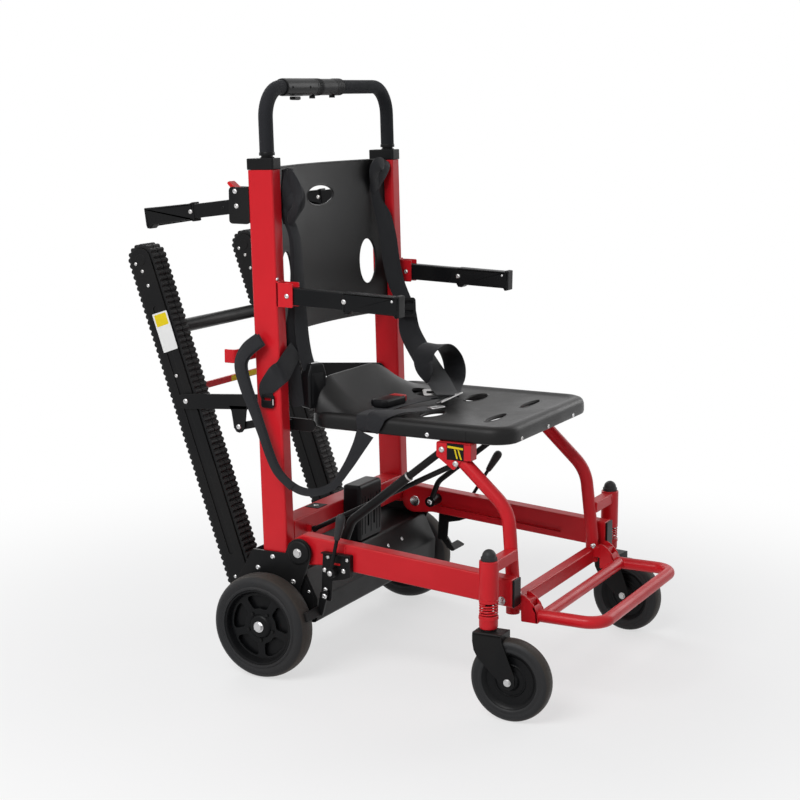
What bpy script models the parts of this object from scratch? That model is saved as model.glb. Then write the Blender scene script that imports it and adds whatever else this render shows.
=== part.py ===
"""Stair climbing stretcher: a folding chair frame with four wheels and two powered tracks.

Lengths are in metres. Below, y and z of every place are measured from a line on the ground under the
rear axle: y grows towards the rear, z upwards, x towards the occupant's left. The whole assembly hangs
from one empty that moves this line so that the bounding box stands centred on the origin.
"""

import math

import bmesh
import bpy
from mathutils import Matrix, Vector

GAP = 0.0003
SIDES = {"right": -1, "left": 1}
TURN = 2 * math.pi

# Rear posts, hollow rectangular steel tubes that lean back.
POST_X = 0.235
POST_WIDTH = 0.032
POST_DEPTH = 0.053
POST_WALL = 0.0025
POST_FOOT_Z = 0.230
POST_TOP_Z = 0.950
POST_LEAN = math.radians(1.7)
CAP_HEIGHT = 0.021
CAP_OVERHANG = 0.002
POST_INNER = POST_X - POST_WIDTH / 2
POST_OUTER = POST_X + POST_WIDTH / 2

# Upper handle, which telescopes in the posts.
HANDLE_OFFSET = -0.008
HANDLE_TUBE_RADIUS = 0.011
HANDLE_FOAM_RADIUS = 0.0135
HANDLE_RISE = 0.149
HANDLE_TOP_Z = POST_TOP_Z + HANDLE_RISE
HANDLE_BEND = 0.056
FOAM_START_Z = POST_TOP_Z + CAP_HEIGHT + 0.006
HANDLE_FOOT_Z = POST_TOP_Z - 0.278
GUIDE_HEIGHT = 0.030
MODULE_RADIUS = 0.0165
MODULE_ENDS = (-0.176, 0.041)
SWITCH_X = -0.128

# Backrest sheet.
BACK_BOTTOM_Z = 0.638
BACK_TOP_Z = 0.953
BACK_EDGE = -0.006
BACK_SAG = 0.028
BACK_THICKNESS = 0.003
BACK_OVAL = (0.0, 0.890, 0.053, 0.021)
BACK_SLOT = (0.160, 0.747, 0.0275, 0.048)

# Base: cross beam, side plates, drive housing, battery, axle.
BEAM = ((-0.025, 0.236), (0.020, 0.288))
BEAM_WALL = 0.0025
BRACKET_X = 0.160
BRACKET_Y = (0.042, 0.0825, 0.105)
BRACKET_Z = (0.587, 0.613)
BRACKET_THICKNESS = 0.005
BRACKET_BEND = 0.008
PLATE_THICKNESS = 0.006
AXLE_Z = 0.100
AXLE_RADIUS = 0.008
HOUSING_TOP_Z = 0.2045
HOUSING_FLOOR_Z = 0.113
BATTERY_X = (-0.035, 0.059)
BATTERY_DEPTH = 0.040
BATTERY_TOP_Z = 0.320

# Rear wheels.
WHEEL_X = 0.295
WHEEL_RADIUS = 0.100
WHEEL_WIDTH = 0.050

# Base rails, which swing up about the pivots at their rear ends.
RAIL_X = (0.215, 0.245)
RAIL_PIVOT = (-0.056, 0.238)
RAIL_FRONT_Y = -0.489
RAIL_TOP_Z = (0.270, 0.239)
RAIL_FRONT_HEIGHT = 0.051
RAIL_WALL = 0.003
RAIL_HOLLOW_Y = -0.200
RAIL_CAP = 0.004
BOSS_RADIUS = 0.026

# Brakes on the outer faces of the rails.
BRAKE_PLATE_THICKNESS = 0.004
BRAKE_LEVER_Y = {"right": -0.128, "left": -0.146}
BRAKE_LEVER_Z = 0.209
BRAKE_SHOE_PIVOT = (-0.110, 0.160)
BRAKE_LEVER_X = 0.2625
BRAKE_KNOB_RADIUS = 0.009
BRAKE_LEVER_LENGTH = {"right": 0.118, "left": 0.167}
BRAKE_APPLIED = math.radians(12)
BRAKE_THROW = math.radians(20)
BRAKE_SHOE_THROW = math.radians(50)

# Front frame: legs, seat brackets, caster arms and housings.
FRAME_PIVOT = (-0.469, 0.199)
LEG_RADIUS = 0.0125
LEG_X = 0.195
LEG_TOP_X = 0.190
SEAT_PLATE_X = (0.2004, 0.2044)
SEAT_BOLT = (-0.329, 0.453)
ROD_BOLT = (-0.357, 0.429)
CASTER_X = 0.296
CASTER_Y = -0.467
CASTER_HOUSING_RADIUS = 0.0175
CASTER_HOUSING_Z = (0.210, 0.2860)
ARM_Z = (0.262, 0.2835)
ARM_DEPTH = 0.022
STEM_RADIUS = 0.007
COLLAR_Z = (0.163, 0.187)
DOME_RADIUS = 0.0145
DOME_TOP_Z = 0.306
SPRING_WIRE = 0.0014
SPRING_TURNS = 4.5
SPRING_POINTS = 8
FORK_PLATE_THICKNESS = 0.0105
FORK_REAR = 0.0230
CASTER_WHEEL_RADIUS = 0.075
CASTER_WHEEL_WIDTH = 0.032
CASTER_TRAIL = 0.045
CASTER_TURN = {"right": math.radians(1.4), "left": math.radians(-9)}
CROSS_MEMBER = ((-0.477, 0.162), (-0.455, 0.190))

# Footrest.
FOOTREST_PIVOT = (-0.500, 0.186)
FOOTREST_X = 0.197
FOOTREST_Z = 0.166
FOOTREST_RADIUS = 0.0115
FOOTREST_FRONT_Y = -0.640
FOOTREST_BEND = 0.036
FOOTREST_BAR_Y = -0.530

# Seat shell, hinged between the posts.
SEAT_PIVOT = (-0.052, 0.472)
SEAT_HALF_WIDTH = 0.200
SEAT_Y = (-0.460, -0.038)
SEAT_Z = (0.468, 0.500)
SEAT_WALL = 0.008
RISE_HALF_WIDTH = 0.168
SEAT_HOLES = ((0.086, -0.148, 0.036, 0.022), (0.097, -0.257, 0.042, 0.020), (0.080, -0.380, 0.046, 0.012))
LUG_THICKNESS = 0.005

# Seat struts and the gas spring.
STRUT_X = 0.185
STRUT_RADIUS = {"right": 0.009, "left": 0.0058}
STRUT_RING = (-0.252, 0.391)
STRUT_FOOT = (-0.113, 0.247)
GAS_X = -0.168
GAS_PIVOT = (-0.040, 0.262)
GAS_TUBE_RADIUS = 0.0046
GAS_BORE = 0.0031
GAS_ROD_RADIUS = 0.0028
GAS_TUBE_LENGTH = 0.240
GAS_EYE = 0.006

# Folding hand grips on the front and the rear of the posts.
FRONT_GRIP_PIVOT = (-0.030, 0.721)
REAR_GRIP_PIVOT = (0.072, 0.883)
GRIP_X = 0.238
GRIP_BAR_WIDTH = 0.020
CHEEK = 0.003
FRONT_BAR_HEIGHT = 0.032
REAR_BAR_HEIGHT = 0.027
FRONT_GRIP_TILT = math.radians(1.8)
REAR_GRIP_TILT = math.radians(7.6)

# Tracks.
TRACK_X = POST_INNER - 0.034
TRACK_WIDTH = 0.050
TRACK_FOOT = (0.087, 0.095)
TRACK_LEAN = math.radians(19.4)
TRACK_LENGTH = 0.713
TRACK_ROLLER_RADIUS = 0.0239
TRACK_PLATE = 0.003
BELT_THICKNESS = 0.0035
TOOTH_HEIGHT = 0.0035
TOOTH_PITCH = 0.0115
TRACK_TUBE_RADIUS = 0.0135
TRACK_TUBE_ALONG = 0.570
TIE_BAR_ALONG = 0.444
PROP_PIVOT = (0.025, 0.512)
PROP_TIP = (0.226, 0.497)
PROP_HALF_HEIGHT = 0.015
PROP_X = (POST_INNER - 0.0080, POST_INNER - 0.0035)

# Harness webbing.
WEBBING = 0.002
STRAP_X = -0.2745
STRAP_WIDTH = 0.042
STRAP_CONTACTS = ((0.180, 0.800), (0.210, 0.638))

REAR_REACH = (TRACK_FOOT[0] + TRACK_LENGTH * math.sin(TRACK_LEAN)
              + TRACK_ROLLER_RADIUS + GAP + BELT_THICKNESS + TOOTH_HEIGHT)
FRONT_REACH = FOOTREST_RADIUS - FOOTREST_FRONT_Y
AXLE_Y = (FRONT_REACH - REAR_REACH) / 2

PLACES = {}
COLOURS = {
    "red_paint": ((0.62, 0.015, 0.02), 0.3, 0.0),
    "black_steel": ((0.014, 0.014, 0.016), 0.4, 0.0),
    "black_plastic": ((0.018, 0.019, 0.021), 0.5, 0.0),
    "grey_foam": ((0.03, 0.032, 0.036), 0.7, 0.0),
    "rubber": ((0.022, 0.021, 0.02), 0.8, 0.0),
    "webbing": ((0.02, 0.02, 0.023), 0.6, 0.0),
    "zinc": ((0.55, 0.55, 0.55), 0.35, 1.0),
}


def clear_scene():
    """Remove every object that is in the file at the start."""
    for obj in list(bpy.data.objects):
        bpy.data.objects.remove(obj)


def make_materials():
    """Return one Principled material for each finish."""
    made = {}
    for name, (colour, roughness, metallic) in COLOURS.items():
        made[name] = bpy.data.materials.new(name)
        made[name].use_nodes = True
        shader = made[name].node_tree.nodes["Principled BSDF"]
        shader.inputs["Base Color"].default_value = (*colour, 1)
        shader.inputs["Roughness"].default_value = roughness
        shader.inputs["Metallic"].default_value = metallic
        made[name].diffuse_color = (*colour, 1)
    return made


def linked(name, data):
    """Return a new object that holds this data, in the stretcher's collection."""
    obj = bpy.data.objects.new(name, data)
    bpy.data.collections["stair_climbing_stretcher"].objects.link(obj)
    return obj


def mesh_object(name, bm):
    """Return a new mesh object made from a bmesh, which is freed."""
    bmesh.ops.recalc_face_normals(bm, faces=bm.faces)
    mesh = bpy.data.meshes.new(name)
    bm.to_mesh(mesh)
    bm.free()
    return linked(name, mesh)


def baked(obj):
    """Return a mesh object of the same name and place, with the modifiers and the curve worked out."""
    bpy.context.view_layer.update()
    mesh = bpy.data.meshes.new_from_object(obj.evaluated_get(bpy.context.evaluated_depsgraph_get()))
    bm = bmesh.new()
    bm.from_mesh(mesh)
    bmesh.ops.remove_doubles(bm, verts=bm.verts, dist=1e-6)
    bmesh.ops.recalc_face_normals(bm, faces=bm.faces)
    bm.to_mesh(mesh)
    bm.free()
    name, place = obj.name, obj.matrix_world.copy()
    bpy.data.objects.remove(obj)
    made = linked(name, mesh)
    made.matrix_world = place
    return made


def combined(target, others, operation="UNION"):
    """Join the others to the target, or cut them from it, and return the one mesh object."""
    target = baked(target)
    others = [baked(other) for other in others]
    for other in others:
        modifier = target.modifiers.new(operation.lower(), "BOOLEAN")
        modifier.operation = operation
        modifier.solver = "EXACT"
        modifier.object = other
    target = baked(target)
    for other in others:
        bpy.data.objects.remove(other)
    return target


def finished(obj, material, pivot="chassis"):
    """Give the object its finish and hang it from the empty of its body."""
    obj.data.materials.clear()
    obj.data.materials.append(bpy.data.materials[material])
    if obj.type == "MESH":
        obj.data.shade_smooth()
        obj.data.set_sharp_from_angle(angle=math.radians(35))
    obj.parent = bpy.data.objects[pivot]
    obj.location = obj.location - PLACES[pivot]
    return obj


def pivot_empty(name, place, parent="chassis", turn=0.0):
    """Add the empty that a body hangs from, on its joint's axis."""
    empty = linked(name, None)
    empty.parent = bpy.data.objects[parent]
    empty.location = Vector(place) - PLACES[parent]
    empty.rotation_euler = (0, 0, turn)
    PLACES[name] = Vector(place)


def box(name, low, high, bevel=0.0):
    """Return a box between two corners, its edges rounded by the bevel."""
    low, high = Vector(low), Vector(high)
    bm = bmesh.new()
    bmesh.ops.create_cube(bm, size=1)
    bmesh.ops.scale(bm, vec=high - low, verts=bm.verts)
    obj = mesh_object(name, bm)
    obj.location = (low + high) / 2
    if bevel:
        modifier = obj.modifiers.new("round", "BEVEL")
        modifier.width = bevel
    return obj


def cylinder(name, radius, x_ends, place, sides=16):
    """Return a cylinder along X between two x values, centred on a (y, z) place."""
    low, high = sorted(x_ends)
    bm = bmesh.new()
    bmesh.ops.create_cone(bm, cap_ends=True, segments=sides, radius1=radius, radius2=radius, depth=high - low)
    obj = mesh_object(name, bm)
    obj.rotation_euler = (0, math.pi / 2, 0)
    obj.location = ((low + high) / 2, *place)
    return obj


def filleted(points, radius, steps=4):
    """Return the path with each inner corner turned into an arc of this radius."""
    points = [Vector(p) for p in points]
    path = [points[0]]
    for before, corner, after in zip(points, points[1:], points[2:]):
        back, ahead = (before - corner).normalized(), (after - corner).normalized()
        half = back.angle(ahead) / 2
        reach = min(radius / math.tan(half), (before - corner).length * 0.49, (after - corner).length * 0.49)
        centre = corner + (back + ahead).normalized() * reach / math.cos(half)
        start, end = corner + back * reach - centre, corner + ahead * reach - centre
        sweep = start.angle(end)
        for i in range(steps + 1):
            share = i / steps
            path.append(centre + (start * math.sin((1 - share) * sweep) + end * math.sin(share * sweep))
                        / math.sin(sweep))
    return path + [points[-1]]


def rounded(points, radius, steps=2):
    """Return the closed outline with its corners turned into arcs, as 2D points."""
    flat = [Vector((*p[:2], 0)) for p in points]
    path = []
    for i, corner in enumerate(flat):
        arc = filleted((flat[i - 1], corner, flat[(i + 1) % len(flat)]), radius, steps)
        path += arc[1:-1]
    return [(p.x, p.y) for p in path]


def circle(centre, radius, sides=24):
    """Return a circle's points in 2D."""
    return [(centre[0] + radius * math.cos(TURN * i / sides), centre[1] + radius * math.sin(TURN * i / sides))
            for i in range(sides)]


def stadium(first, second, radius, sides=12):
    """Return the outline round two points at this distance."""
    along = math.atan2(second[1] - first[1], second[0] - first[0])
    points = []
    for centre, start in ((second, along - math.pi / 2), (first, along + math.pi / 2)):
        for i in range(sides + 1):
            angle = start + math.pi * i / sides
            points.append((centre[0] + radius * math.cos(angle), centre[1] + radius * math.sin(angle)))
    return points


def inset(points, distance):
    """Return a closed outline that runs counter-clockwise, moved inwards by this distance."""
    moved = []
    for i, point in enumerate(points):
        before = Vector(points[i - 1])
        here = Vector(point)
        after = Vector(points[(i + 1) % len(points)])
        first, second = (here - before).normalized(), (after - here).normalized()
        normal = Vector((-first.y - second.y, first.x + second.x)).normalized()
        lean = max(0.3, normal.dot(Vector((-first.y, first.x))))
        moved.append(tuple(here + normal * distance / lean))
    return moved


def ribbon(path, width):
    """Return the closed outline of a strip of this width along a 2D path."""
    path = [Vector(p[:2]) for p in path]
    near, far = [], []
    for i, here in enumerate(path):
        before, after = path[max(i - 1, 0)], path[min(i + 1, len(path) - 1)]
        along = (after - before).normalized()
        across = Vector((-along.y, along.x)) * width / 2
        near.append(tuple(here + across))
        far.append(tuple(here - across))
    return near + far[::-1]


def flat(name, outlines, thickness):
    """Return a filled 2D curve with these outlines, the inner ones holes, with its thickness along local Z."""
    curve = bpy.data.curves.new(name, "CURVE")
    curve.dimensions = "2D"
    curve.fill_mode = "BOTH"
    curve.extrude = thickness / 2
    for outline in outlines:
        spline = curve.splines.new("POLY")
        spline.points.add(len(outline) - 1)
        for point, place in zip(spline.points, outline):
            point.co = (place[0], place[1], 0, 1)
        spline.use_cyclic_u = True
    return linked(name, curve)


def side_plate(name, outlines, x_ends):
    """Return a plate that lies in the side view: its outlines are in y and z, its thickness along X."""
    obj = flat(name, outlines, abs(x_ends[1] - x_ends[0]))
    obj.rotation_euler = (math.pi / 2, 0, math.pi / 2)
    obj.location = (sum(x_ends) / 2, 0, 0)
    return obj


def tube(name, points, radius, bend=0.0, resolution=2):
    """Return a round bar through these points, its corners bent on the given radius."""
    curve = bpy.data.curves.new(name, "CURVE")
    curve.dimensions = "3D"
    curve.bevel_depth = radius
    curve.bevel_resolution = resolution
    curve.use_fill_caps = True
    path = filleted(points, bend) if bend else [Vector(p) for p in points]
    spline = curve.splines.new("POLY")
    spline.points.add(len(path) - 1)
    for point, place in zip(spline.points, path):
        point.co = (*place, 1)
    return linked(name, curve)


def turned(name, profile, place, along_x=True, steps=32):
    """Return a solid turned about its own Z from (radius, height) points that run from top to bottom."""
    bm = bmesh.new()
    points = [bm.verts.new((radius, 0, height)) for radius, height in profile]
    for first, second in zip(points, points[1:]):
        bm.edges.new((first, second))
    if profile[0][0] and profile[-1][0]:
        bm.edges.new((points[-1], points[0]))
    mesh = bpy.data.meshes.new(name)
    bm.to_mesh(mesh)
    bm.free()
    obj = linked(name, mesh)
    screw = obj.modifiers.new("turn", "SCREW")
    screw.steps = screw.render_steps = steps
    screw.use_merge_vertices = True
    screw.merge_threshold = 1e-5
    if along_x:
        obj.rotation_euler = (0, math.pi / 2, 0)
    obj.location = place
    return baked(obj)


def post_y(z):
    """Return the y of a post's centre line at a height."""
    return (z - POST_FOOT_Z) * math.tan(POST_LEAN)


def on_post(x, offset, z):
    """Return the place at this offset behind a post's centre line, at a height."""
    return Vector((x, post_y(z) + offset, z))


def along_post(name, outlines, x, z_ends):
    """Return a prism that runs along the posts, its outlines seen from above the post's centre line."""
    obj = flat(name, outlines, (z_ends[1] - z_ends[0]) / math.cos(POST_LEAN))
    obj.rotation_euler = (-POST_LEAN, 0, 0)
    obj.location = on_post(x, 0, sum(z_ends) / 2)
    return obj


def rectangle(width, depth, radius, centre=(0, 0)):
    """Return a rounded rectangle's outline."""
    x, y = width / 2, depth / 2
    corners = [(centre[0] + a * x, centre[1] + b * y) for a, b in ((-1, -1), (1, -1), (1, 1), (-1, 1))]
    return rounded(corners, radius)


def cheeks(name, outline, x_centre, bar_width):
    """Return the two side plates of a bracket that holds a bar of this width."""
    inner = bar_width / 2 + GAP
    return [side_plate(f"{name}_{sign}", [outline], (x_centre + sign * inner, x_centre + sign * (inner + CHEEK)))
            for sign in (-1, 1)]


def make_post(side, sign):
    """Make a post with the brackets that are welded to it."""
    outer = rectangle(POST_WIDTH, POST_DEPTH, 0.004)
    inner = rectangle(POST_WIDTH - 2 * POST_WALL, POST_DEPTH - 2 * POST_WALL, 0.002)
    post = along_post(f"{side}_post", [outer, inner], sign * POST_X, (POST_FOOT_Z, POST_TOP_Z))
    welded = []
    front_face = -POST_DEPTH / 2
    front_y, front_z = FRONT_GRIP_PIVOT
    root = front_face + 0.6 * POST_WALL
    front = rounded(((front_y - 0.016, front_z - 0.021), (post_y(front_z - 0.021) + root, front_z - 0.021),
                     (post_y(front_z + 0.024) + root, front_z + 0.024), (front_y - 0.016, front_z + 0.024)), 0.002)
    welded += cheeks("front_cheek", front, sign * GRIP_X, GRIP_BAR_WIDTH)
    rear_y, rear_z = REAR_GRIP_PIVOT
    root = POST_DEPTH / 2 - 0.6 * POST_WALL
    low, high = rear_z - 0.033, rear_z + 0.035
    rear = rounded(((post_y(low) + root, low), (rear_y + 0.017, low), (rear_y + 0.017, high),
                    (post_y(high) + root, high)), 0.006)
    welded += cheeks("rear_cheek", rear, sign * GRIP_X, GRIP_BAR_WIDTH)
    pivot_y, pivot_z = SEAT_PIVOT
    lug_x = (SEAT_HALF_WIDTH + GAP, SEAT_HALF_WIDTH + GAP + LUG_THICKNESS)
    lug = stadium((pivot_y, pivot_z), (-0.008, pivot_z), 0.012)
    welded.append(side_plate("seat_lug", [lug], [sign * x for x in lug_x]))
    welded.append(box("lug_spacer", *ordered(
        (sign * (lug_x[1] - 0.001), -0.016, pivot_z - 0.010),
        (sign * (POST_INNER + 0.6 * POST_WALL), 0.002, pivot_z + 0.010))))
    welded.append(cylinder("prop_boss", 0.010, (sign * (PROP_X[1] + GAP), sign * (POST_INNER + 0.6 * POST_WALL)),
                           PROP_PIVOT))
    post = combined(post, welded)
    finished(post, "red_paint")
    hole = circle((0, HANDLE_OFFSET), HANDLE_TUBE_RADIUS + 0.0005)
    rim = rectangle(POST_WIDTH, POST_DEPTH + 2 * CAP_OVERHANG, 0.004)
    cap = along_post(f"{side}_post_cap", [rim, hole], sign * POST_X,
                     (POST_TOP_Z + GAP, POST_TOP_Z + CAP_HEIGHT))
    finished(baked(cap), "black_plastic")


def ordered(first, second):
    """Return the low and the high corner of the box between two corners."""
    return ([min(a, b) for a, b in zip(first, second)], [max(a, b) for a, b in zip(first, second)])


def make_upper_handle():
    """Make the telescopic push handle: steel bow, foam sleeve, control module and its switch."""
    pivot_empty("upper_handle_slide", on_post(0, HANDLE_OFFSET, POST_TOP_Z))
    corners = [(-POST_X, HANDLE_FOOT_Z), (-POST_X, HANDLE_TOP_Z), (POST_X, HANDLE_TOP_Z), (POST_X, HANDLE_FOOT_Z)]
    bow = tube("upper_handle", [on_post(x, HANDLE_OFFSET, z) for x, z in corners], HANDLE_TUBE_RADIUS, HANDLE_BEND)
    foam_corners = [(x, max(z, FOAM_START_Z)) for x, z in corners]
    foam = tube("foam", [on_post(x, HANDLE_OFFSET, z) for x, z in foam_corners], HANDLE_FOAM_RADIUS, HANDLE_BEND)
    guides = []
    for sign in (-1, 1):
        guide = rectangle(POST_WIDTH - 2 * POST_WALL - 2 * GAP, POST_DEPTH - 2 * POST_WALL - 2 * GAP, 0.002)
        guides.append(along_post("guide", [guide], sign * POST_X, (HANDLE_FOOT_Z - 0.002,
                                                                  HANDLE_FOOT_Z + GUIDE_HEIGHT)))
    handle = combined(bow, [foam, *guides])
    low, high = MODULE_ENDS
    centre_y = post_y(HANDLE_TOP_Z) + HANDLE_OFFSET
    half = (high - low) / 2
    bore, wall = HANDLE_FOAM_RADIUS + GAP, MODULE_RADIUS
    profile = [(bore, half), (wall - 0.002, half), (wall, half - 0.004), (wall, -half + 0.004),
               (wall - 0.002, -half), (bore, -half)]
    module = turned("control_module", profile, ((low + high) / 2, centre_y, HANDLE_TOP_Z), steps=18)
    switch_y = centre_y - 0.001
    bottom = HANDLE_TOP_Z - MODULE_RADIUS
    pivot_empty("drive_switch_slide", (SWITCH_X, switch_y, bottom), "upper_handle_slide")
    switch = box("drive_switch", (SWITCH_X - 0.011, switch_y - 0.006, bottom - 0.0075),
                 (SWITCH_X + 0.011, switch_y + 0.006, bottom - 0.0008), 0.001)
    finished(handle, "grey_foam", "upper_handle_slide")
    finished(module, "black_plastic", "upper_handle_slide")
    finished(baked(switch), "black_plastic", "drive_switch_slide")


def make_backrest():
    """Make the sagging backrest sheet with its openings."""
    half = POST_INNER - GAP
    count = 14
    front, back = [], []
    for i in range(count + 1):
        x = half * (2 * i / count - 1)
        y = BACK_EDGE + BACK_SAG * (1 - (x / half) ** 2)
        front.append((x, y - BACK_THICKNESS / 2))
        back.append((x, y + BACK_THICKNESS / 2))
    sheet = along_post("backrest", [front + back[::-1]], 0, (BACK_BOTTOM_Z, BACK_TOP_Z))
    cutters = []
    holes = [BACK_OVAL, BACK_SLOT, (-BACK_SLOT[0], *BACK_SLOT[1:])]
    for x, z, half_x, half_z in holes:
        outline = [(half_x * math.cos(TURN * i / 24), half_z * math.sin(TURN * i / 24)) for i in range(24)]
        cutter = flat("hole", [outline], 0.12)
        cutter.rotation_euler = (math.pi / 2, 0, 0)
        cutter.location = (x, post_y(z), z)
        cutters.append(cutter)
    finished(combined(sheet, cutters, "DIFFERENCE"), "black_plastic")


def make_base():
    """Make the cross beam, strap bracket, side plates, drive housing, battery and axle."""
    half = POST_INNER - GAP
    (low_y, low_z), (high_y, high_z) = BEAM
    section = rounded([(low_y, low_z), (high_y, low_z), (high_y, high_z), (low_y, high_z)], 0.003)
    beam = side_plate("base_beam", [section, inset(section, BEAM_WALL)], (-half, half))
    lug = box("gas_lug", (GAS_X - 0.004, GAS_PIVOT[0] + GAS_EYE + GAP, GAS_PIVOT[1] - 0.007),
              (GAS_X + 0.004, low_y + BEAM_WALL / 2, GAS_PIVOT[1] + 0.007))
    finished(combined(beam, [lug]), "red_paint")

    inner, outer = half - BRACKET_THICKNESS / 2, POST_OUTER - BRACKET_THICKNESS / 2
    near_y, cross_y, end_y = BRACKET_Y
    path = filleted(((-inner, 0.018, 0), (-inner, near_y, 0), (-BRACKET_X, near_y, 0), (-BRACKET_X, cross_y, 0),
                     (-outer, cross_y, 0), (-outer, end_y, 0)), BRACKET_BEND)
    bracket = flat("strap_bracket", [ribbon(path, BRACKET_THICKNESS)], BRACKET_Z[1] - BRACKET_Z[0])
    bracket.location = (0, 0, sum(BRACKET_Z) / 2)
    finished(baked(bracket), "red_paint")

    plate_x = (POST_OUTER + GAP, POST_OUTER + GAP + PLATE_THICKNESS)
    pivot_y, pivot_z = RAIL_PIVOT
    outline = [(0.046, POST_FOOT_Z + 0.003), (-0.026, POST_FOOT_Z + 0.003), (-0.034, pivot_z + 0.015)]
    outline += [(pivot_y + BOSS_RADIUS * math.cos(a), pivot_z + BOSS_RADIUS * math.sin(a))
                for a in [math.radians(40 + 20 * i) for i in range(9)]]
    outline += [(-0.058, 0.167), (-0.062, 0.100), (-0.040, 0.074), (0.070, 0.066), (0.112, 0.072),
                (0.116, 0.118), (0.070, 0.190)]
    hole = circle((0, AXLE_Z), AXLE_RADIUS + GAP)
    for side, sign in SIDES.items():
        plate = side_plate(f"{side}_side_plate", [outline, hole], [sign * x for x in plate_x])
        boss = cylinder("boss", BOSS_RADIUS - 0.003, (sign * plate_x[0], sign * (plate_x[1] + 0.004)), RAIL_PIVOT)
        spacer = cylinder("spacer", 0.014, (sign * (RAIL_X[1] + GAP), sign * (plate_x[0] + 0.002)), RAIL_PIVOT)
        finished(combined(plate, [boss, spacer]), "black_steel")

    outer = [(-0.090, 0.103), (-0.050, 0.103), (-0.036, HOUSING_FLOOR_Z), (0.045, HOUSING_FLOOR_Z),
             (0.045, HOUSING_TOP_Z), (-0.064, HOUSING_TOP_Z), (-0.092, 0.150)]
    housing = side_plate("drive_housing", [outer], (-POST_OUTER, POST_OUTER))
    finished(baked(housing), "black_steel")

    battery_rear = low_y - GAP
    battery_x = (BATTERY_X[0], BATTERY_X[1])
    battery = box("battery_pack", (battery_x[0], battery_rear - BATTERY_DEPTH, HOUSING_TOP_Z + GAP),
                  (battery_x[1], battery_rear, BATTERY_TOP_Z), 0.006)
    slots = [box("slot", (x - 0.0025, battery_rear - BATTERY_DEPTH - 0.01, 0.235),
                 (x + 0.0025, battery_rear - BATTERY_DEPTH + 0.004, 0.285)) for x in (0.0, 0.024)]
    finished(combined(battery, slots, "DIFFERENCE"), "black_plastic")

    nut = WHEEL_X + 0.017 + GAP
    end = nut + 0.006
    profile = [(0, end), (0.011, end), (0.011, nut), (AXLE_RADIUS, nut),
               (AXLE_RADIUS, -nut), (0.011, -nut), (0.011, -end), (0, -end)]
    finished(turned("rear_axle", profile, (0, 0, AXLE_Z), steps=16), "zinc")


def make_rear_wheels():
    """Make the two rear wheels, tyre and rim in one."""
    half = WHEEL_WIDTH / 2
    hub = 0.017
    profile = [(AXLE_RADIUS + GAP, hub), (0.024, hub), (0.026, 0.007), (0.068, 0.009), (0.074, half),
               (0.092, half), (WHEEL_RADIUS, 0.012)]
    profile += [(radius, -x) for radius, x in reversed(profile)]
    for side, sign in SIDES.items():
        name = f"{side}_rear_wheel"
        pivot_empty(f"{name}_spin", (sign * WHEEL_X, 0, AXLE_Z))
        wheel = turned(name, profile, (sign * WHEEL_X, 0, AXLE_Z), steps=26)
        finished(wheel, "rubber", f"{name}_spin")


def rail_top(y):
    """Return the height of the rails' top edge at y."""
    rear, front = RAIL_TOP_Z
    share = (y - RAIL_PIVOT[0]) / (RAIL_FRONT_Y - RAIL_PIVOT[0])
    return rear + (front - rear) * share


def make_rails():
    """Make both base rails with their brakes."""
    pivot_y, pivot_z = RAIL_PIVOT
    pivot_empty("rails_fold", (0, pivot_y, pivot_z))
    height = RAIL_FRONT_HEIGHT
    rear_radius = 0.027
    outline = [(pivot_y, rail_top(pivot_y)), (RAIL_FRONT_Y, rail_top(RAIL_FRONT_Y)),
               (RAIL_FRONT_Y, rail_top(RAIL_FRONT_Y) - height), (-0.100, rail_top(-0.100) - height)]
    outline += [(pivot_y + rear_radius * math.cos(a), pivot_z + rear_radius * math.sin(a))
                for a in [math.radians(-100 + 20 * i) for i in range(9)]]
    plate = [(-0.104, 0.245), (-0.167, 0.245), (-0.167, 0.203), (-0.150, 0.196), (-0.124, 0.190),
             (-0.121, 0.150), (-0.099, 0.150)]
    plate_x = (RAIL_X[1] - 0.001, RAIL_X[1] + BRAKE_PLATE_THICKNESS)
    wall = RAIL_WALL
    back = RAIL_HOLLOW_Y
    mouth = RAIL_FRONT_Y - 0.01
    hollow = [(back, rail_top(back) - wall), (mouth, rail_top(mouth) - wall),
              (mouth, rail_top(mouth) - height + wall), (back, rail_top(back) - height + wall)]
    front = (RAIL_FRONT_Y - GAP, rail_top(RAIL_FRONT_Y))
    cap = [front, (front[0] - RAIL_CAP, front[1] - 0.001), (front[0] - RAIL_CAP, front[1] - height + 0.001),
           (front[0], front[1] - height)]
    for side, sign in SIDES.items():
        rail = side_plate(f"{side}_rail", [outline], [sign * x for x in RAIL_X])
        brake = side_plate("brake_plate", [rounded(plate, 0.003)], [sign * x for x in plate_x])
        rail = combined(rail, [brake])
        inner = [sign * (RAIL_X[0] + wall), sign * (RAIL_X[1] - wall)]
        rail = combined(rail, [side_plate("hollow", [hollow], inner)], "DIFFERENCE")
        finished(rail, "red_paint", "rails_fold")
        end_cap = side_plate(f"{side}_rail_cap", [cap], [sign * x for x in RAIL_X])
        finished(baked(end_cap), "black_plastic", "rails_fold")
        make_brake(side, sign, plate_x[1] + GAP)


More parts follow.
